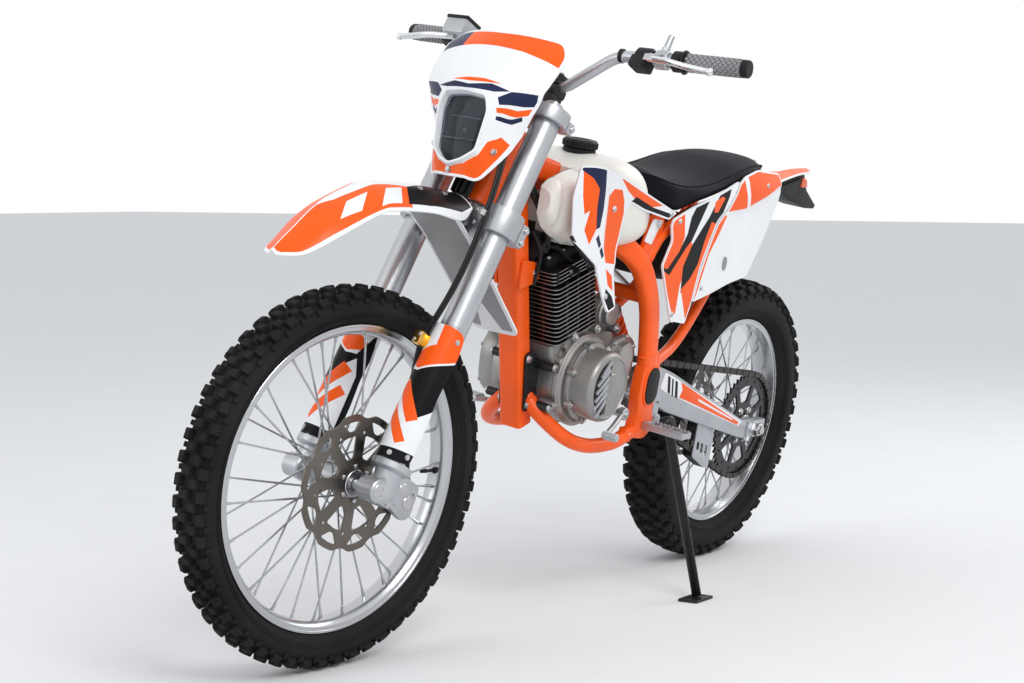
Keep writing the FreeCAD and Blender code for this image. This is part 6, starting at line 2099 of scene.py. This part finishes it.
PIVOT_PLATE = (
    (596, 552), (612, 520), (616, 470), (608, 430), (610, 392), (596, 374), (566, 372), (546, 384),
    (536, 404), (548, 430), (544, 470), (546, 520), (556, 556),
)
PIVOT_OVAL = ((552, 462), (566, 448), (586, 448), (598, 466), (598, 508), (584, 526), (564, 526), (552, 510))
SEAT_BRACKET = ((672, 770), (650, 842), (622, 846), (606, 838), (604, 812), (622, 760), (640, 700))


def make_spars():
    """Backbone, side spars with their pivot plates and caps, cross tube and small patches."""
    head = FORK_IN_BIKE @ Vector((-14, 0, 1059))
    backbone = beam([head, Vector((900, 0, 908)), Vector((810, 0, 820))], 60, 50, 12)
    spar = beam(curve_path(SPAR, 6), 30, 48, 14)
    oval = rounded(PIVOT_OVAL, 10)
    pivot_plate = slab(PIVOT_PLATE, 108, 134, 5, corner=12)
    boss = slab(inset(oval, -5), 106, 137, 3)
    upper = slab(SEAT_BRACKET, 104, 116, 3, corner=9)
    bead = weld((588, 121, 552), (0.22, 0, 1), 15.5, 2.4, 1.6)
    lower_lug = slab([(612, 392), (634, 402), (640, 384), (612, 366)], 112, 130, 2.5, corner=6)
    sides = both(spar, pivot_plate, boss, upper, bead, lower_lug)
    whole = joined(backbone, sides, pin(600, 668, -112, 112, 15, 28))
    on_frame("spar_frame_shown", whole, "frame_orange", "spar_frame", smooth=40)
    on_frame("pivot_caps", both(slab(oval, 136, 140, 1.6)), "black_plastic", smooth=36)
    heads = bolts_at([(632, 824)], 115.6, 8, 6) + bolts_at([(622, 385)], 129.6, 6, 4)
    frame_bolts("pivot_bolts", pin(575, 487, -134, 134, 9, 24, edge=1), both(*heads))
    patch = slab([(654, 835), (613, 832), (632, 808), (646, 782), (676, 790)], 115.6, 117.4, 0.5, corner=4)
    on_frame("frame_patches", both(patch), "white_plastic", smooth=36)


RAIL = (
    (640, 110, 750), (620, 109.5, 782), (590, 108, 806), (540, 103, 826), (450, 92, 846), (250, 78, 874),
    (60, 66, 900),
)
STRUT = (
    (560, 121, 532), (500, 109, 542), (451, 100, 556), (400, 93, 588), (326, 80, 642), (230, 74, 754),
    (130, 68, 872),
)
LOOM_LINES = (
    (((1008, 33, 900), (984, 40, 868), (948, 44, 832), (920, 42, 800), (906, 34, 770)), 8),
    (((1000, -34, 890), (976, -42, 850), (940, -44, 812), (914, -38, 780)), 7),
    (((956, 30, 800), (938, 42, 770), (926, 40, 740), (922, 30, 690)), 4.5),
    (((912, 38, 768), (880, 44, 770), (862, 50, 752), (846, 62, 742)), 4),
)


def make_subframe():
    """Seat rails and struts, their cross tube, bosses and gussets."""
    rail = tube(RAIL, 12, 18, steps=6)
    strut = tube(STRUT, 12, 18, steps=6)
    gusset = slab([(130, 872), (190, 878), (232, 868), (196, 800), (176, 806)], 66, 70, 1.2, corner=6)
    bosses = pins_at(((480, 838), (250, 874)), 84, 127, 8, 20, edge=1)
    whole = joined(pin(100, 894, -72, 72, 12, 24), both(rail, strut, gusset, *bosses))
    on_frame("subframe_shown", whole, "frame_orange", "subframe", smooth=40)


def make_loom():
    """Wiring and coil that sit under the tank, strapped to the frame."""
    coil = [box((888, -30, 744), (938, 30, 792), 5), pin(912, 768, -30, 40, 14, 28, edge=2)]
    lines = [tube(route, radius, 12, steps=6) for route, radius in LOOM_LINES]
    straps = [box((x - 4, -27, z - 10), (x + 4, 27, z + 10), 2) for x, z in ((948, 806), (930, 740))]
    on_frame("wiring_loom", joined(*coil, *lines, *straps), "black_plastic", smooth=42)


class BIKE_OT_frame(bpy.types.Operator):
    """Head tube, downtube, cradle, spars, pivot plates and subframe"""

    bl_idname = "bike.frame"
    bl_label = "Frame"

    def execute(self, context):
        make_front_frame()
        make_spars()
        make_subframe()
        make_loom()
        return {"FINISHED"}


# Engine; the barrel and head are drawn up the tilted cylinder

FIN_STEP = 9
FIN_THICK = 1.9
FIN_FINISHES = ("engine_black", "fin_edge")
FIN_COUNT = 14
FIN_LOW = 104


def fin_row(outline, low, count, step, corner):
    """Stack of cooling fins whose cut edges show bare metal."""
    fin = plate([rounded(outline, corner, 5)], low, low + FIN_THICK)
    faces = row_of(fin, count, (0, 0, step), "engine_black")
    for face in faces.faces:
        face.normal_update()
        if abs(face.normal.z) < 0.5:
            face.material_index = 1
    return faces


def rectangle(x_low, x_high, half):
    return [(x_low, -half), (x_high, -half), (x_high, half), (x_low, half)]


def on_cylinder(name, made, material, node=(), smooth=35):
    """Piece drawn up the tilted cylinder."""
    finished(name, made, TILTED, material, "chassis", node, smooth)


def make_barrel():
    fins = fin_row(rectangle(-61, 85, 75), FIN_LOW, FIN_COUNT, FIN_STEP, 16)
    core = plate([rounded(rectangle(-52, 74, 62), 18)], 103, 230)
    ties = [box((78, side - 3, 106), (83, side + 3, 228), 1) for side in (-40, -14, 14, 40)]
    ties += [box((side - 3, 69, 106), (side + 3, 73.5, 228), 1) for side in (-30, 8, 46)]
    on_cylinder("cylinder_shown", joined(fins, core, *ties), FIN_FINISHES, "cylinder", smooth=30)
    flange = plate([rounded(rectangle(-56, 80, 62), 12)], 98, 104)
    on_cylinder("barrel_flange", flange, "engine_grey", smooth=30)


def make_head():
    """Finned head with its domed cover, ports, bolts and spark plug."""
    low = 230.3
    core = plate([rounded(rectangle(-45, 73, 58), 12)], low, low + 27)
    fins = fin_row(rectangle(-55, 85, 70), low + 1, 4, 7.6, 12)
    dome = lofted([
        [(14 + (a - 14) * share, b * share, height) for a, b in rounded(rectangle(-40, 68, 46), 12)]
        for share, height in ((1.0, low + 24), (1.0, low + 40), (0.97, low + 46), (0.88, low + 50))
    ])
    caps = [rod((x, y, low + 36), (x, y, low + 50.5), 13, 28, edge=2) for x in (-22, 48) for y in (-22, 22)]
    posts = [box((x - 4, 60, low), (x + 4, 70.6, low + 27), 1.5) for x in (-30, 28, 74)]
    lug = box((71, -23, low + 2), (96, 23, low + 24), 4)
    port_up = low + 20.5
    ports = [
        rod((x, y, port_up), (x + length, y, port_up), 20, 32, edge=1.5)
        for x, y, length in ((71, -54, 22), (-73, 10, 32))
    ]
    whole = joined(core, fins, dome, *caps, *posts, lug, *ports)
    on_cylinder("cylinder_head_shown", whole, FIN_FINISHES, "cylinder_head", smooth=34)
    heads = [bolt((x, y, low + 46), (0, 0, 1), 4.4, 3.6) for x in (-34, 14, 62) for y in (-40, 40)]
    heads += bolts_at(((-30, low + 14), (28, low + 14)), 70, 4.4, 3.4)
    on_cylinder("head_bolts", joined(*heads), "bolt_steel", smooth=30)
    nut = rod((20, 56, low + 12), (20, 76, low + 14), 9, 6, edge=0.8)
    tip = rod((20, 74, low + 14), (20, 84, low + 15), 5, 16)
    on_cylinder("spark_plug", joined(nut, tip), "black_plastic", smooth=30)


CASE_FRONT = ((740, 412), (796, 412), (836, 450), (838, 545), (800, 592), (735, 590))
CASE_REAR = ((622, 440), (700, 410), (760, 412), (770, 590), (718, 600), (646, 600), (622, 575))
CASE_BOSSES = ((838, 452), (838, 540), (806, 590), (726, 602), (650, 598))


def make_cases():
    """Crankcase halves with a raised joint line, bosses and bolts round the edge."""
    drum = pin(CRANK_X, CRANK_UP, -85, 85, 92, 96, edge=4)
    front = slab(CASE_FRONT, -77, 77, 6, corner=20)
    rear = slab(CASE_REAR, -85, 55, 6, corner=16)
    wide = [(a + (a - 740) * 0.03, b + (b - 500) * 0.03) for a, b in CASE_FRONT]
    seam = [slab(wide, -4, 4, 1.5, corner=20), pin(CRANK_X, CRANK_UP, -4, 4, 95, 96, edge=1.5)]
    rim = pin(CRANK_X, CRANK_UP, 66, 80, 95, 96, edge=3)
    lower = box((690, -40, 402), (780, 46, 420), 6)
    deck = moved(plate([rounded(rectangle(-58, 84, 62), 10)], 56, 99), TILTED_LOCAL)
    front_box = box((800, 40, 566), (834, 70, 600), 6)
    bosses = pins_at(CASE_BOSSES, 40, 76, 10, 24, edge=2)
    ribs = [box((786 + k * 12, 70, 440), (789 + k * 12, 80, 560), 1.2) for k in range(3)]
    whole = joined(drum, front, rear, *seam, rim, lower, deck, front_box, *bosses, *ribs)
    on_frame("engine_cases_shown", whole, "engine_grey", "engine_cases", smooth=36)
    right = bolts_at(((636, 460), (640, 580)), -84.6, 5, 4)
    frame_bolts("case_bolts", *bolts_at(CASE_BOSSES, 75.6, 5, 4), *right)


COVER_LEFT = ((606, 520), (610, 572), (640, 592), (690, 584), (704, 560), (690, 480), (645, 464), (608, 476))
COVER_RAISED = ((636, 520), (638, 566), (656, 582), (684, 574), (694, 556), (682, 490), (654, 478))
COVER_CLUTCH = (
    (640, 470), (648, 560), (715, 590), (800, 582), (842, 535), (834, 452), (780, 418), (680, 424),
)
STARTER = (682, 630.3)
STARTER_CASE = ((650, 596), (648, 640), (672, 662), (704, 656), (716, 628), (706, 596))
COVER_BOLTS = ((618, 500), (620, 566), (650, 588), (694, 576), (624, 480))
STARTER_BOLTS = ((656, 608), (660, 648), (706, 640))
CLUTCH_BOLTS = (
    (656, 486), (664, 556), (716, 580), (792, 572), (830, 530), (822, 458), (776, 430), (692, 436),
)


def cover_rib(height):
    """One slanting rib on the round cover, between its window's straight side and its rim."""
    reach = math.sqrt(58**2 - height**2)
    start = CRANK + Vector((14, 0, height + 16))
    end = CRANK + Vector((min(reach, 52), 0, height - 16))
    way = (end - start).normalized()
    across = Vector((-way.z, 0, way.x)) * 4.7
    outline = [start + across, end + across * 0.6, end - across * 0.6, start - across]
    return slab([(point.x, point.z) for point in outline], 140, 149, 1.2)


def make_covers():
    """Round cover on the left with its ribbed window, sprocket and clutch covers and the starter."""
    middle = Matrix.Translation(CRANK) @ Matrix.Rotation(-math.pi / 2, 4, "X")
    drum = turned([
        (0, 86), (80, 86), (80.5, 95.5), (78, 97), (73, 98), (72, 101), (72, 134), (69, 141), (64, 145),
        (61, 145.6), (60, 143.8), (31, 143.8), (30, 146), (28, 148), (0, 148.6),
    ], 96, closed=False)
    moved(drum, middle)
    wall = box((764, 142, 446), (769, 148.6, 552), 1.4)
    ribs = joined(*[cover_rib(height) for height in (40, 24, 8, -8, -24, -40)])
    on_frame("cover_ribs", ribs, "cast_aluminium", smooth=34)
    # Black crescent sheet in the recess under the ribs: painted shade between the ribs.
    arc = [polar(57.5, math.radians(-76 + 152 * step / 24)) for step in range(25)]
    painted_shade_sheet = slab([(CRANK_X + a, CRANK_UP + b) for a, b in arc], 143, 144.6, 0.3)
    on_frame("cover_hollow", painted_shade_sheet, "engine_black", smooth=34)
    round_spots = [polar(77, math.radians(20 + step * 51.4)) for step in range(7)]
    round_spots = [(CRANK_X + a, CRANK_UP + b) for a, b in round_spots]
    lugs = pins_at(round_spots, 86, 103, 8.5, 20, edge=1.5)
    outer = slab(COVER_LEFT, 86, 102, 5, corner=24)
    raised = slab(COVER_RAISED, 98, 117, 6, corner=20)
    hump = pin(664, 548, 96, 118, 24, 40, edge=3)
    clutch = slab(COVER_CLUTCH, -124, -86, 9, corner=30)
    disc = pin(740, 500, -125, -118, 58, 64, edge=2)
    motor = [pin(*STARTER, -30, 66, 29.5, 40, edge=3), pin(*STARTER, 64, 80, 24, 40, edge=3)]
    motor.append(ring((682, 52, 630.3), (682, 58, 630.3), 30.2, 20, 40))
    gear_case = slab(STARTER_CASE, 30, 54, 5, corner=14)
    whole = joined(drum, wall, *lugs, outer, raised, hump, clutch, disc, *motor, gear_case)
    on_frame("engine_covers_shown", whole, "engine_grey", "engine_covers", smooth=34)
    frame_bolts(
        "cover_bolts", *bolts_at(round_spots, 102.6, 4.6, 4), *bolts_at(COVER_BOLTS, 101.6, 4.6, 4),
        *bolts_at(STARTER_BOLTS, 53.6, 4, 3), *bolts_at(CLUTCH_BOLTS, -123.6, 4.6, 3.6),
    )


def make_mounts():
    """Black plates between the downtube and the crankcase, with three bolts on each side."""
    outline = [
        (905, 548), (884, 556), (856, 540), (846, 500), (850, 452), (862, 434), (880, 430), (886, 462),
    ]
    case_spots = ((862, 530), (860, 448))
    spacers = pins_at(case_spots, 28, 74, 9, 20, edge=1)
    whole = both(slab(outline, 25.5, 31.3, 1.4, corner=10), *spacers)
    on_frame("engine_mounts_shown", whole, "black_paint", "engine_mounts", smooth=34)
    heads = bolts_at(((894, 540), (873, 446)), 30.8, 7.5, 6) + bolts_at(case_spots, 73.6, 7, 5)
    frame_bolts("mount_bolts", both(*heads))


class BIKE_OT_engine(bpy.types.Operator):
    """Finned cylinder and head, crankcase, covers and mounts"""

    bl_idname = "bike.engine"
    bl_label = "Engine"

    def execute(self, context):
        make_barrel()
        make_head()
        make_cases()
        make_covers()
        make_mounts()
        return {"FINISHED"}


# Intake, exhaust, swingarm and feet

PORT_UP = 250.8


def make_intake():
    """Carburettor on the head, with its boot and the airbox behind."""
    start, middle, end = (TILTED_LOCAL @ Vector(place) for place in (
        (-73, 10, PORT_UP), (-123, 10, PORT_UP), (-161, 12, PORT_UP),
    ))
    throat = rod(start, middle, 24, 32, edge=2)
    bands = [sleeve_at(start, middle, share, 0.12, 26, 1.0) for share in (0.02, 0.8)]
    bowl = box((start.x - 46, -14, start.z - 50), (start.x - 12, 34, start.z), 6)
    nut = rod((start.x - 29, 10, start.z - 56), (start.x - 29, 10, start.z - 48), 8, 6, edge=1)
    boot = tube([middle, end, (548, 24, 766)], 24, 24)
    folds = [sleeve_at(middle, end, share, 0.16, 27, 2) for share in (0.2, 0.6)]
    airbox = slab(
        [(555, 700), (552, 800), (500, 828), (372, 828), (385, 720), (440, 690)], -77, 77, 8, corner=16,
    )
    on_frame("intake_shown", joined(boot, airbox, *folds), "black_plastic", "intake", smooth=38)
    on_frame("carburettor", joined(throat, bowl, nut, *bands), "cast_aluminium", smooth=36)


def sleeve_at(start, end, share, span, outer, edge):
    """Band round a pipe between two shares of the way along it."""
    return ring(start.lerp(end, share), start.lerp(end, share + span), outer, 20, 32, edge)


def make_exhaust():
    """Header round the right of the engine and the silencer with its strap and arm."""
    low = Vector((449, -190, 665))
    high = Vector((80, -198, 800))
    back = (low - high).normalized()
    flange, neck, bend = (TILTED_LOCAL @ Vector((x, -54, PORT_UP)) for x in (93.3, 99, 125))
    route = [
        flange, bend, (948, -104, 668), (892, -140, 628), (790, -158, 612), (680, -176, 604),
        low + back * 110, low,
    ]
    collar = ring(flange, neck, 27, 17, 32, 1.5)
    header = joined(tube(route, 19, 28, steps=10), collar)
    on_frame("exhaust_header_shown", header, "pipe_steel", "exhaust_header", smooth=45)
    span = (high - low).length
    profile = [
        (0, 0), (24, 0), (25, 3), (43, 68), (44, 72), (44, 82), (43.2, 83), (43.2, span - 44),
        (44, span - 43), (44, span - 31), (43, span - 28), (31, span - 1), (29, span), (20, span),
        (18, span - 24), (0, span - 24),
    ]
    can = moved(turned(profile, 56, closed=False), direction_place(low, high))
    strap_start = low.lerp(high, 0.3)
    strap = ring(strap_start, strap_start - back * 16, 45.4, 43, 56, 0.6)
    arm = rod((340, -164, 676), (340, -92, 636), 7, 16, edge=0.8)
    on_frame("silencer_shown", joined(can, arm), "satin_aluminium", "silencer", smooth=36)
    on_frame("silencer_strap", strap, "black_paint", smooth=36)


ARM_EDGE = (
    (600, 506), (570, 520), (540, 522), (486, 512), (430, 496), (60, 356), (-42, 349), (-46, 315), (50, 311),
    (430, 408), (486, 430), (540, 450), (600, 468),
)
ARM_FIELD = ((466, 499), (430, 488), (315, 445), (66, 354), (82, 344), (312, 412), (456, 456), (478, 466))
ARM_ORANGE = ((390, 472), (315, 443), (84, 354), (90, 348), (312, 416), (388, 438), (378, 454))


def make_swingarm():
    """Arm with its axle blocks, cross member and axle, and the colour blocks on its sides."""
    arm = slab(ARM_EDGE, 84, 104, 4.5, corner=12)
    block = box((-46, 82, 313), (36, 108, 351), 4)
    tube_part = pin(575, 487, -84, 84, 20, 32)
    member = box((445, -86, 434), (495, 86, 478), 9)
    boss = pin(480, 398, 96, 112, 13, 24, edge=1)
    web = box((468, 86, 384), (492, 104, 440), 3)
    whole = joined(both(arm, block), tube_part, member, boss, web)
    on_frame("swingarm_shown", whole, "cast_aluminium", "swingarm", smooth=34)
    axle = [pin(0, REAR_RADIUS, -128, 128, 10, 24, edge=1)]
    for low, high, radius, sides, edge in ((104, 122, 16, 6, 1.6), (104, 109.5, 19, 28, 0.8)):
        axle += [pin(0, REAR_RADIUS, side * low, side * high, radius, sides, edge=edge) for side in (-1, 1)]
    axle += [rod((-46, side, REAR_RADIUS), (-56, side, REAR_RADIUS), 5, 6, edge=0.6) for side in (-95, 95)]
    on_frame("rear_axle", joined(*axle), "bolt_steel", smooth=32)
    base = slab(ARM_FIELD, 103.8, 105, 0.3, corner=3)
    orange = tinted(slab(ARM_ORANGE, 104.6, 105.6, 0.3), 1)
    bars = []
    for start, wide in ((454, 12), (434, 7), (418, 12)):
        high = 496 + (start - 466) * 0.36
        bar = [
            (start, high), (start - wide, high - wide * 0.38), (start - wide - 10, high - 42),
            (start - 10, high - 38),
        ]
        bars.append(tinted(slab(bar, 104.6, 105.5, 0.3), 2))
    stripe = slab([(300, 428), (120, 366), (118, 362), (298, 422)], 105.2, 106, 0.2)
    finishes = ("white_plastic", "orange_plastic", "black_decal")
    on_frame("swingarm_decals", both(base, orange, stripe, *bars), finishes, smooth=30)


def helix(start, end, radius, turns):
    """Places along a coil between two points, twelve to a turn."""
    place = direction_place(start, end)
    span = (Vector(end) - Vector(start)).length
    count = int(turns * 12)
    spots = [(polar(radius, 2 * math.pi * step / 12), span * step / count) for step in range(count + 1)]
    return [place @ Vector((*spot, height)) for spot, height in spots]


def make_shock():
    """Damper between its eyes, with spring seats and the coil."""
    low = Vector((470, 0, 493))
    high = Vector((597, 0, 638))
    way = (high - low).normalized()
    body = [rod(low, high, 8, 24), rod(low.lerp(high, 0.42), high - way * 8, 17, 32, edge=2)]
    eyes = [pin(point.x, point.z, -16, 16, 14, 32, edge=2) for point in (low, high)]
    seats = [rod(seat, seat + way * 7, 31, 40, edge=1.5) for seat in (low + way * 22, high - way * 40)]
    on_frame("rear_shock_shown", joined(*body, *eyes, *seats), "cast_aluminium", "rear_shock", smooth=36)
    coil = tube(helix(low + way * 28, high - way * 39, 26.5, 6.5), 5, 10, steps=2)
    on_frame("shock_spring", coil, "frame_orange", smooth=60)


def guide_slot(number):
    x, z = 172 + number * 20, 276 + number * 9
    low = 300 + number * 6
    return rounded([(x, z), (x + 12, z + 6), (x + 12, low + 6), (x, low)], 4)


def make_guide_and_caliper():
    outline = [(152, 248), (172, 250), (236, 282), (236, 392), (208, 392), (186, 366), (152, 330)]
    slots = [guide_slot(number) for number in range(3)]
    inner, outer = (slab(outline, low, low + 3.4, 0.8, holes=slots, corner=6) for low in (56.4, 80.2))
    bridge = slab([(208, 350), (236, 350), (236, 392), (208, 392)], 58, 82, 1, corner=4)
    lower = slab([(156, 252), (172, 250), (230, 281), (230, 288), (170, 258), (156, 262)], 58, 82, 1)
    on_frame("guide_plate", outer, "cast_aluminium", smooth=36)
    on_frame("chain_guide_shown", joined(inner, bridge, lower), "black_plastic", "chain_guide", smooth=36)
    frame_bolts("guide_bolts", *bolts_at(((222, 380), (222, 362)), 83.2, 5, 0.8))
    body = slab([(30, 408), (60, 442), (76, 442), (110, 410), (92, 366), (60, 392)], -82, -44, 5, corner=9)
    bracket = slab([(30, 332), (30, 408), (90, 410), (98, 336), (66, 326)], -83.4, -76, 1.6, corner=9)
    on_frame("rear_caliper_shown", joined(body, bracket), "cast_aluminium", "rear_caliper", smooth=38)
    frame_bolts("rear_caliper_bolts", *bolts_at(((44, 396), (84, 400)), -83, 5.4, 0.8))


PEG_RAILS = (547, 578)


def footpeg(side):
    """Serrated peg: two toothed rails joined by bars."""
    rails = [slab([(x, 396), (x + 7, 396), (x + 7, 410), (x, 410)], 134.6, 232, 1) for x in PEG_RAILS]
    bars = [box((548, place, 397), (584, place + 6, 409), 1) for place in (140, 164, 188, 212, 227)]
    teeth = []
    for x in PEG_RAILS:
        tooth = slab([(x, 408), (x + 7, 408), (x + 7, 411.8), (x + 3.5, 410.4), (x, 411.8)], 0, 5, 0)
        teeth.append(shifted(row_of(tooth, 10, (0, 9.4, 0), "bolt_steel"), (0, 138, 0)))
    whole = joined(*rails, *bars, *teeth, box((552, 134.6, 393), (580, 150, 411), 3))
    bmesh.ops.scale(whole, vec=(1, side, 1), verts=whole.verts)
    return whole


def make_foot_controls():
    """Serrated pegs, gear lever with its ribbed toe piece and the brake pedal."""
    shift = [pin(655, 432, 56, 133, 8, 20, edge=1), pin(655, 432, 118, 134, 13, 24, edge=2)]
    shift.append(tube([(655, 126, 432), (680, 132, 426), (705, 140, 418), (769, 160, 407)], 6.5, 14, 0.8))
    shift.append(pin(769, 407, 154, 188, 7.4, 20, edge=1))
    grooves = row_of(ring((0, 0, 0), (0, 0, 3), 9, 6, 20), 6, (0, 0, 5), "bolt_steel")
    moved(grooves, direction_place((769, 158, 407), (769, 188, 407)))
    pivot = pin(593, 411, -134.6, -158, 11, 24, edge=1)
    pedal = tube([(593, -150, 411), (640, -154, 396), (680, -158, 388), (772, -166, 400)], 7, 14, 0.8)
    pad = box((750, -184, 400), (784, -150, 409), 2)
    steps = [box((753 + k * 7, -182, 408), (756 + k * 7, -152, 412), 0.8) for k in range(5)]
    whole = joined(footpeg(-1), footpeg(1), *shift, grooves, pivot, pedal, pad, *steps)
    on_frame("foot_controls_shown", whole, "cast_aluminium", "foot_controls", smooth=36)
    frame_bolts("foot_bolts", *bolts_at([(655, 432)], 133.4, 4.6, 4), *bolts_at([(593, 411)], -157.6, 5, 4))


class BIKE_OT_running_gear(bpy.types.Operator):
    """Intake, exhaust, swingarm, shock, chain guide, rear caliper and foot controls"""

    bl_idname = "bike.running_gear"
    bl_label = "Running gear"

    def execute(self, context):
        make_intake()
        make_exhaust()
        make_swingarm()
        make_shock()
        make_guide_and_caliper()
        make_foot_controls()
        return {"FINISHED"}


class BIKE_OT_side_stand(bpy.types.Operator):
    """Clean copy of the side stand, whose CAD shape is right, with its finish"""

    bl_idname = "bike.side_stand"
    bl_label = "Side stand"

    def execute(self, context):
        dressed("side_stand", "black_paint")
        return {"FINISHED"}


OPERATORS = (
    BIKE_OT_stage,
    BIKE_OT_wheels,
    BIKE_OT_drive,
    BIKE_OT_fork,
    BIKE_OT_bars,
    BIKE_OT_front,
    BIKE_OT_body,
    BIKE_OT_frame,
    BIKE_OT_engine,
    BIKE_OT_running_gear,
    BIKE_OT_side_stand,
)


class BIKE_PT_panel(bpy.types.Panel):
    """Buttons for every piece of the bike"""

    bl_label = "Enduro Bike"
    bl_idname = "BIKE_PT_panel"
    bl_space_type = "VIEW_3D"
    bl_region_type = "UI"
    bl_category = "Enduro Bike"

    def draw(self, context):
        for operator in OPERATORS:
            self.layout.operator(operator.bl_idname)


CLASSES = (BikeColours, BikeView, *OPERATORS, BIKE_PT_panel)


def register():
    for item in CLASSES:
        bpy.utils.register_class(item)
    bpy.types.Scene.bike_colours = bpy.props.PointerProperty(type=BikeColours)
    bpy.types.Scene.bike_view = bpy.props.PointerProperty(type=BikeView)


def unregister():
    del bpy.types.Scene.bike_view
    del bpy.types.Scene.bike_colours
    for item in reversed(CLASSES):
        bpy.utils.unregister_class(item)


def main():
    register()
    make_materials()
    for operator in OPERATORS:
        group, name = operator.bl_idname.split(".")
        getattr(getattr(bpy.ops, group), name)()


if __name__ == "__main__":
    main()
